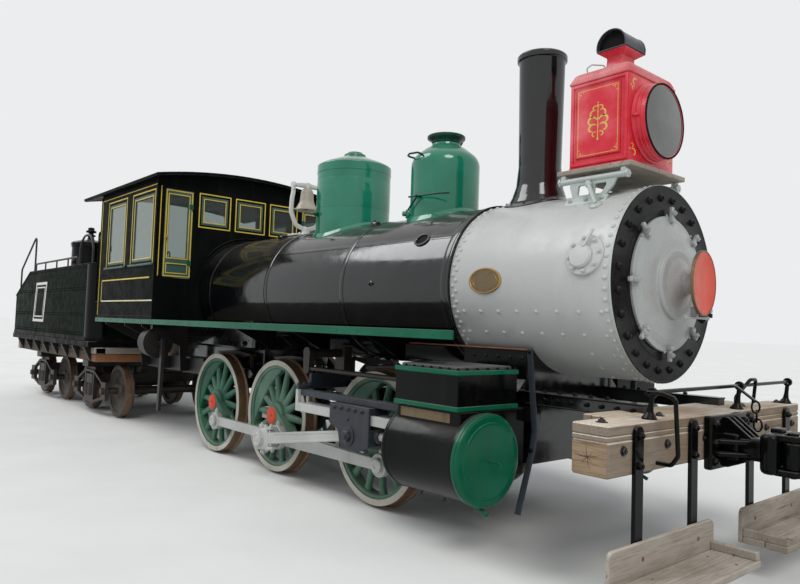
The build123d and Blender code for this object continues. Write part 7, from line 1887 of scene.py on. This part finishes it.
front_head, front_jaw = drawhead(4.544, 5.16, 1)
piece("coupler_front_casting", "locomotive", [(chest_black, front_head)], ["coupler_front"])
piece("knuckle_front_casting", "knuckle_front", [(chest_black, front_jaw)], ["knuckle_front"])
rear_head, rear_jaw = drawhead(-9.755, -10.33, -1)
piece("coupler_rear_casting", "tender", [(iron_black, rear_head)], ["coupler_rear"])
piece("knuckle_rear_casting", "knuckle_rear", [(iron_black, rear_jaw)], ["knuckle_rear"])

# Strut from the smokebox to the footboard level, ledges and bolts along the front rails, the saddle

struts, joints, ledges, rusty = [], [], [], []
for s in (-1, 1):
    line = [(3.455, s * 0.745, 1.5), (3.455, s * 0.7, 1.17), (3.455, s * 0.662, 0.88)]
    line += [(3.455, s * 0.69, 0.74), (3.455, s * 0.84, 0.3)]
    struts += [strap(line, 0.05, 0.014, (1, 0, 0), 0.06)]
    joints += [nuts([(3.455, s * 0.7, 0.75)], (0, s, 0.2), 0.018, 0.016)]
    joints += [nuts([(3.455, s * 0.75, 1.48)], (0, s, 0), 0.016, 0.014)]
    ledges += [side_slab(s, (3.31, 0.5, 1.16), (4.3, 0.612, 1.174))]
    ledges += [side_slab(s, (3.31, 0.5, 1.074), (4.296, 0.612, 1.086))]
    joints += [nuts([(x, s * 0.606, 1.125) for x in np.linspace(3.5, 4.22, 7)], (0, s, 0), 0.017, 0.015)]
    joints += [nuts([(x, s * 0.56, 1.174) for x in np.linspace(3.46, 4.0, 5)], (0, 0, 1), 0.017, 0.015)]
    outline = [(s * 0.54, 1.5), (s * 0.6, 1.5), (s * 0.6, 1.478), (s * 0.54, 1.478)]
    ledges += [plate(outline, 2.625, 3.315, "x", 0.003)]
    rusty += [side_slab(s, (1.95, 0.598, 1.486), (3.316, 0.608, 1.4985), 0.002)]
    ledges += [side_slab(s, (2.636, 0.548, 1.176), (3.306, 0.592, 1.481), 0.006)]
    joints += [nuts(
        [(x, s * 0.591, 1.425) for x in (2.75, 2.88, 3.01, 3.14, 3.26)], (0, s, 0), 0.016, 0.01, False
    )]
piece(
    "front_struts", "locomotive",
    [(guide_blue, struts), (chest_black, ledges + joints), (rust_edge, rusty)],
)

# Tender

TANK_FRONT, TANK_BACK, TANK_HALF, TANK_LOW, TANK_HIGH = -4.69, -9.755, 1.4, 1.24, 2.475
SLOPE_X, SLOPE_Z = -8.6, 1.985
TANK_ROUND, BUNKER_BACK, BUNKER_HALF = 0.24, -6.15, 0.69


def tank_top(x):
    """The tank's top edge: level, then falling in a straight line to the rear."""
    fall = (SLOPE_X - np.asarray(x)) / (SLOPE_X - TANK_BACK) * (TANK_HIGH - SLOPE_Z)
    return np.where(np.asarray(x) > SLOPE_X, TANK_HIGH, TANK_HIGH - fall)


def inserted(outline, x):
    """An outline with a point added wherever it crosses a station."""
    ahead = np.roll(outline, -1, axis=0)
    share = (x - outline[:, 0]) / np.where(ahead[:, 0] == outline[:, 0], 1e9, ahead[:, 0] - outline[:, 0])
    at = np.nonzero((share > 1e-6) & (share < 1 - 1e-6))[0]
    extra = outline[at] + (ahead[at] - outline[at]) * share[at][:, None]
    return np.insert(outline, at + 1, extra, axis=0)


plan = eased(
    [
        (TANK_BACK, -TANK_HALF, 0.12), (TANK_FRONT, -TANK_HALF, TANK_ROUND),
        (TANK_FRONT, TANK_HALF, TANK_ROUND), (TANK_BACK, TANK_HALF, 0.12),
    ],
    14,
)
plan = inserted(plan, SLOPE_X)
outside = plan[~((np.abs(plan[:, 1]) < 0.7) & (plan[:, 0] > -5.0))]
front_run = np.array([
    (TANK_FRONT, -BUNKER_HALF), (BUNKER_BACK, -BUNKER_HALF), (BUNKER_BACK, BUNKER_HALF),
    (TANK_FRONT, BUNKER_HALF),
])
turn_at = int(np.argmax((outside[:, 1] < 0) & (np.roll(outside[:, 1], -1) > 0) & (outside[:, 0] > -5.5)))
ring = np.vstack([outside[: turn_at + 1], front_run, outside[turn_at + 1 :]])
heights = tank_top(ring[:, 0])
rows = [np.column_stack([ring, TANK_LOW + (heights - TANK_LOW) * share]) for share in (0.0, 1.0)]
walls = [skin(rows, ends=False)]


def sheet_over(outline, height):
    """A sheet over an outline, each point at the height that its X gives."""
    caps = np.array(tessellate_polygon([[Vector((*corner, 0.0)) for corner in outline]]), int)
    return Skin(np.column_stack([outline, height(outline[:, 0])]), threes=caps)


level_ring = ring[ring[:, 0] >= SLOPE_X - 1e-9]
start = int(np.argmax((np.abs(level_ring[:, 0] - SLOPE_X) < 1e-6) & (level_ring[:, 1] < 0)))
level_ring = np.roll(level_ring, -start, axis=0)
slope_ring = ring[ring[:, 0] <= SLOPE_X + 1e-9]
start = int(np.argmax((np.abs(slope_ring[:, 0] - SLOPE_X) < 1e-6) & (slope_ring[:, 1] > 0)))
slope_ring = np.roll(slope_ring, -start, axis=0)
walls += [sheet_over(level_ring, tank_top), sheet_over(slope_ring, tank_top)]
walls += [sheet_over(ring, lambda x: np.full(len(x), TANK_LOW))]
tank_shell = merged(walls)
tank_shell = welded(tank_shell.points, tank_shell.fours, tank_shell.threes)
bunker_floor = [slab((-6.149, -0.69, 1.3), (TANK_FRONT + 0.002, 0.69, 1.5), 0.004)]
near_edge = [tube(
    np.column_stack([level_ring, np.full(len(level_ring), TANK_HIGH + 0.001)]), 0.011, 8, closed=True
)]
slope_edge = np.column_stack([slope_ring[1:-1], tank_top(slope_ring[1:-1, 0]) + 0.001])
near_edge += [tube(
    np.vstack([[(*slope_ring[0], TANK_HIGH)], slope_edge, [(*slope_ring[-1], TANK_HIGH)]]), 0.011, 8
)]
angle_strip = np.column_stack([inset(plan, -0.001), np.full(len(plan), TANK_LOW + 0.032)])
strips = [carried(panel((-0.004, -0.03), (0.006, 0.03), 0.002, 3), angle_strip, (0, 0, 1), closed=True)]
PITCH, RIVET_R = 0.055, 0.0085
studs = []
for s in (-1, 1):
    x = np.arange(-9.6, -4.95, PITCH)
    for z in (1.33, 1.365):
        studs += [(a, s * TANK_HALF, z) for a in x]
    studs += [(a, s * TANK_HALF, float(tank_top(a)) - 0.045) for a in x]
    for z in (1.642, 1.678, 2.064, 2.1):
        studs += [(a, s * TANK_HALF, z) for a in x if z < float(tank_top(a)) - 0.08]
    for a in (-6.4, -6.35, -4.985, -4.935, -9.6):
        studs += [(a, s * TANK_HALF, z) for z in np.arange(1.4, float(tank_top(a)) - 0.07, PITCH)]
studs = np.array(studs)
columns = [rivets(studs, studs * (0, 1, 0), RIVET_R)]
back_studs = [(TANK_BACK, y, z) for y in np.arange(-1.26, 1.27, PITCH) for z in (1.33, 1.365, 1.93)]
back_studs += [(TANK_BACK, y, z) for y in (-0.45, -0.4, 0.4, 0.45) for z in np.arange(1.42, 1.9, PITCH)]
columns += [rivets(back_studs, (-1, 0, 0), RIVET_R)]
front_studs = [
    (TANK_FRONT, s * y, z) for s in (-1, 1) for y in (0.735, 1.1) for z in np.arange(1.3, 2.42, PITCH)
]
columns += [rivets(front_studs, (1, 0, 0), RIVET_R)]
top_studs = [(x, s * 1.345, TANK_HIGH) for s in (-1, 1) for x in np.arange(-8.5, -5.0, PITCH)]
columns += [rivets(top_studs, (0, 0, 1), RIVET_R)]
corners = []
for s in (-1, 1):
    angle = np.radians(np.linspace(-4, 94, 24))
    x, y = TANK_FRONT - TANK_ROUND, TANK_HALF - TANK_ROUND
    outer, inner = (
        np.column_stack([x + r * np.cos(angle), s * (y + r * np.sin(angle))]) for r in (0.2445, 0.238)
    )
    corners += [plate(np.vstack([outer, inner[::-1]]), 1.246, TANK_HIGH - 0.004, "z")]
herald = []
for s in (-1, 1):
    near, far = span(s, TANK_HALF - 0.001, TANK_HALF + 0.0022)
    outer = np.array([(-8.195, 1.5), (-7.44, 1.5), (-7.3, 2.245), (-8.055, 2.245)])
    herald += [plate(outer, near, far, "y", 0.0005, [inset(outer, 0.05)])]
    herald += [plate(inset(outer, 0.088), near, far, "y", 0.0005, [inset(outer, 0.112)])]
piece(
    "tank_plates", "tender",
    [
        (tender_green, [tank_shell] + columns), (frame_black, near_edge + strips + bunker_floor),
        (chest_black, corners), (white_paint, herald),
    ],
    ["tender_tank"],
)

TURRET_X, TURRET_Y, LID_Z = -6.55, -0.9, 2.915
TURRET_AXIS = (TURRET_X, TURRET_Y, 0)
pot = [
    (0.28, TANK_HIGH + 0.02, 0), (0.305, TANK_HIGH - 0.002, 0), (0.335, TANK_HIGH, 0.004),
    (0.335, TANK_HIGH + 0.014, 0.004), (0.306, TANK_HIGH + 0.018, 0.006), (0.306, LID_Z - 0.045, 0.003),
    (0.318, LID_Z - 0.04, 0.004), (0.318, LID_Z - 0.01, 0.006), (0.306, LID_Z, 0.002), (0.28, LID_Z, 0.002),
]
black = [turned(eased(pot, 4), "z", TURRET_AXIS, 80)]
black += [drum(0.285, TANK_HIGH, TANK_HIGH + 0.022, "z", TURRET_AXIS, 0.002, 48)]
ring_turn = np.arange(20) * pi / 10
rim = [TURRET_X + 0.322 * np.cos(ring_turn), TURRET_Y + 0.322 * np.sin(ring_turn)]
black += [rivets(np.column_stack([*rim, np.full(20, TANK_HIGH + 0.014)]), (0, 0, 1), 0.009)]
LID_HINGE_Y, LID_HINGE_Z = TURRET_Y + 0.347, LID_Z + 0.016
LID_HINGE = (0, LID_HINGE_Y, LID_HINGE_Z)
for x in (TURRET_X - 0.07, TURRET_X + 0.044):
    black += [slab(
        (x, TURRET_Y + 0.29, LID_Z - 0.07), (x + 0.026, LID_HINGE_Y + 0.016, LID_HINGE_Z - 0.004), 0.003
    )]
    black += [drum(0.016, x, x + 0.026, "x", LID_HINGE, 0.002, 20)]
black += [drum(0.008, TURRET_X - 0.06, TURRET_X + 0.06, "x", LID_HINGE, 0.001, 12)]
piece("turret_pot", "tender", [(chest_black, black)], ["filling_turret"])
CAP = LID_Z + 0.11
dome = [
    (0, LID_Z + 0.0003, 0), (0.325, LID_Z + 0.0003, 0.003), (0.325, LID_Z + 0.03, 0.006),
    (0.312, LID_Z + 0.05, 0.03), (0.18, LID_Z + 0.094, 0.15), (0.072, CAP, 0.02),
    (0.06, CAP + 0.002, 0.004), (0.06, CAP + 0.03, 0.008), (0.05, CAP + 0.044, 0.01),
    (0.05, CAP + 0.056, 0.01), (0.078, CAP + 0.064, 0.008), (0.078, CAP + 0.09, 0.008),
    (0.044, CAP + 0.1, 0.01), (0.04, CAP + 0.124, 0.01), (0.088, CAP + 0.134, 0.006),
    (0.088, CAP + 0.166, 0.006), (0.056, CAP + 0.174, 0.006), (0.056, CAP + 0.218, 0.02),
    (0.026, CAP + 0.23, 0.01), (0, CAP + 0.23, 0),
]
lid = [turned(eased(dome, 5), "z", TURRET_AXIS, 80)]
lid += [slab(
    (TURRET_X - 0.038, TURRET_Y + 0.29, LID_Z + 0.002),
    (TURRET_X + 0.038, LID_HINGE_Y, LID_HINGE_Z + 0.012), 0.003,
)]
lid += [drum(0.0155, TURRET_X - 0.038, TURRET_X + 0.038, "x", LID_HINGE, 0.002, 20)]
piece("turret_cap", "turret_lid", [(chest_black, lid)], ["turret_lid"])

deck, sills, brackets, end_sills = [], [], [], []
for s in (-1, 1):
    for near, far in ((1.12, 1.28), (0.18, 0.34)):
        sills += [side_slab(s, (TANK_BACK, near, 0.917), (-4.72, far, 1.138), 0.01)]
    for x in np.arange(-9.3, -4.9, 0.62):
        brace = [(s * 1.282, 0.935), (s * 1.3, 0.935), (s * 1.392, 1.125), (s * 1.392, 1.14)]
        brace += [(s * 1.282, 1.14)]
        brackets += [plate(brace, x - 0.03, x + 0.03, "x", 0.003)]
        brackets += [nuts([(x, s * 1.282, 0.99)], (0, s, 0), 0.02, 0.02)]
    brackets += [side_slab(s, (-9.0, 1.288, 1.05), (-5.2, 1.3, 1.07), 0.002)]
deck += [slab((TANK_BACK, -1.4, 1.142), (-4.72, 1.4, 1.238), 0.008)]
end_sills += [slab((-4.895, -1.284, 0.912), (-4.717, 1.284, 1.036), 0.014)]
grey_sills = [slab((-4.905, -1.3, 1.04), (-4.72, 1.3, 1.1415), 0.012)]
grey_sills += [slab((TANK_BACK - 0.001, -1.284, 0.912), (TANK_BACK + 0.18, 1.284, 1.1415), 0.012)]
for x in (-5.735, -8.735):
    brackets += [slab((x - 0.15, -1.12, 0.781), (x + 0.15, 1.12, 0.92), 0.01)]
    brackets += [drum(0.17, 0.7, 0.785, "z", (x, 0, 0), 0.004, 40)]
    brackets += [drum(0.04, 0.61, 0.705, "z", (x, 0, 0), 0.004, 20)]
drawbar = [slab((-4.76, -0.07, 0.955), (-4.545, 0.07, 1.015), 0.006)]
drawbar += [hoop(0.0421, 0.1, 0.955, 1.015, "z", (-4.545, 0, 0), 0.006, 40)]
piece(
    "tender_underframe", "tender",
    [
        (dark_timber, sills), (frame_black, deck), (sill_timber, end_sills), (board_wood, grey_sills),
        (iron_black, brackets + drawbar),
    ],
    ["tender_frame"],
)

TENDER_AXLES, TENDER_WHEEL_R = (-5.01, -6.46, -8.01, -9.46), 0.419
for number, axle_x in enumerate(TENDER_AXLES, 1):
    centre = (axle_x, 0, TENDER_WHEEL_R)
    profile = [
        (0, WHEEL_BACK + 0.034, 0), (0.1, WHEEL_BACK + 0.03, 0.01), (0.2, WHEEL_BACK + 0.044, 0.05),
        (0.341, WHEEL_BACK + 0.034, 0.02), (0.345, WHEEL_BACK, 0.004), (0.43, WHEEL_BACK, 0.01),
        (0.444, WHEEL_BACK + 0.012, 0.009), (0.441, WHEEL_BACK + 0.024, 0.009),
        (0.42, WHEEL_BACK + 0.036, 0.012), (0.417, WHEEL_OUT - 0.004, 0.005), (0.355, WHEEL_OUT, 0.006),
        (0.341, WHEEL_OUT - 0.034, 0.02), (0.24, WHEEL_OUT - 0.052, 0.06), (0.15, WHEEL_OUT - 0.03, 0.03),
        (0.12, WHEEL_OUT + 0.008, 0.008), (0, WHEEL_OUT + 0.008, 0),
    ]
    discs = both([turned(eased(profile, 4), "y", centre, 96)])
    shaft = [drum(0.068, -WHEEL_OUT, WHEEL_OUT, "y", centre, 0.004, 32)]
    shaft += [drum(0.056, -1.085, 1.085, "y", centre, 0.006, 28)]
    node = f"tender_wheels_{number}"
    tread = [(0.4, WHEEL_BACK + 0.04), (0.4208, WHEEL_BACK + 0.04), (0.4182, WHEEL_OUT - 0.006)]
    tread += [(0.4, WHEEL_OUT - 0.006)]
    treads = both([turned(tread, "y", centre, 96)])
    piece(
        node + "_iron", node, [(wheel_face, discs), (worn_tread, treads), (brown_iron, shaft)],
        [node],
    )

# Camera, light and floor, as at the photograph's place


def look_from_kerb():
    """The camera, from its yaw towards the rear, its slight climb and its roll."""
    yaw, climb, roll = radians(40.888), radians(2.884), radians(1.978)
    ahead = Vector((-cos(yaw) * cos(climb), sin(yaw) * cos(climb), sin(climb)))
    level = Vector((sin(yaw), cos(yaw), 0.0))
    above = level.cross(ahead)
    right = cos(roll) * level + sin(roll) * above
    up = cos(roll) * above - sin(roll) * level
    data = bpy.data.cameras.new("kerb_camera")
    sensor, focal_px, picture_px = 36.0, 693.608, 800.0
    data.sensor_width, data.lens = sensor, sensor * focal_px / picture_px
    data.clip_start, data.clip_end = 0.1, 400.0
    camera = bpy.data.objects.new("kerb_camera", data)
    turn = Matrix((right, up, -ahead)).transposed().to_4x4()
    camera.matrix_world = Matrix.Translation((9.31, -4.873, 1.658)) @ turn
    bpy.context.scene.collection.objects.link(camera)
    bpy.context.scene.camera = camera


def soft_light():
    """A pale sky for the eye and for reflections, a plainer one for the light, and a broad sun."""
    world = bpy.data.worlds.new("pale_sky")
    bpy.context.scene.world = world
    world.use_nodes = True
    tree = world.node_tree
    shown, lit = tree.nodes["Background"], tree.nodes.new("ShaderNodeBackground")
    shown.inputs["Color"].default_value = tone(236, 237, 238)
    shown.inputs["Strength"].default_value = 1.0
    lit.inputs["Color"].default_value = (0.92, 0.96, 1.0, 1.0)
    lit.inputs["Strength"].default_value = 0.52
    path, mix = tree.nodes.new("ShaderNodeLightPath"), tree.nodes.new("ShaderNodeMixShader")
    seen = path.outputs["Is Camera Ray"]
    for other in ("Is Glossy Ray", "Is Transmission Ray"):
        more = tree.nodes.new("ShaderNodeMath")
        more.operation = "MAXIMUM"
        tree.links.new(seen, more.inputs[0])
        tree.links.new(path.outputs[other], more.inputs[1])
        seen = more.outputs[0]
    tree.links.new(seen, mix.inputs["Fac"])
    tree.links.new(lit.outputs[0], mix.inputs[1])
    tree.links.new(shown.outputs[0], mix.inputs[2])
    tree.links.new(mix.outputs[0], tree.nodes["World Output"].inputs["Surface"])
    for name, strength, spread, tint, coming in (
        ("key_light", 1.25, 26.0, (1.0, 0.985, 0.95), (0.66, -0.42, 0.72)),
        ("sky_panel", 1.15, 30.0, (0.96, 0.98, 1.0), (-0.58, -0.46, 0.72)),
    ):
        lamp = bpy.data.lights.new(name, "SUN")
        lamp.energy, lamp.angle, lamp.color = strength, radians(spread), tint
        sun = bpy.data.objects.new(name, lamp)
        sun.rotation_euler = Vector(coming).to_track_quat("Z", "Y").to_euler()
        bpy.context.scene.collection.objects.link(sun)


def pale_floor():
    """A wide round floor, flat, pale and faintly mottled."""
    made = Finish("pale_floor")
    mottle = made.spread(made.noise(0.7, 5.0), 0.3, 0.7, 0.0, 1.0)
    made.set(Base_Color=made.mix(mottle, tone(226, 226, 224), tone(232, 232, 230)), Roughness=0.9)
    radius = np.array([0.0, 20.0, 90.0, 300.0])[:, None]
    angle = np.arange(64) * pi / 32
    rows = np.stack([radius * np.cos(angle), radius * np.sin(angle), 0 * radius * angle], axis=-1)
    ground = skin(rows, ends=False)
    mesh = bpy.data.meshes.new("floor")
    mesh.from_pydata(ground.points.tolist(), [], ground.fours.tolist() + ground.threes.tolist())
    mesh.materials.append(made.material)
    floor = bpy.data.objects.new("floor", mesh)
    bpy.context.scene.collection.objects.link(floor)


look_from_kerb()
soft_light()
pale_floor()
bpy.context.scene.view_settings.view_transform = "Standard"
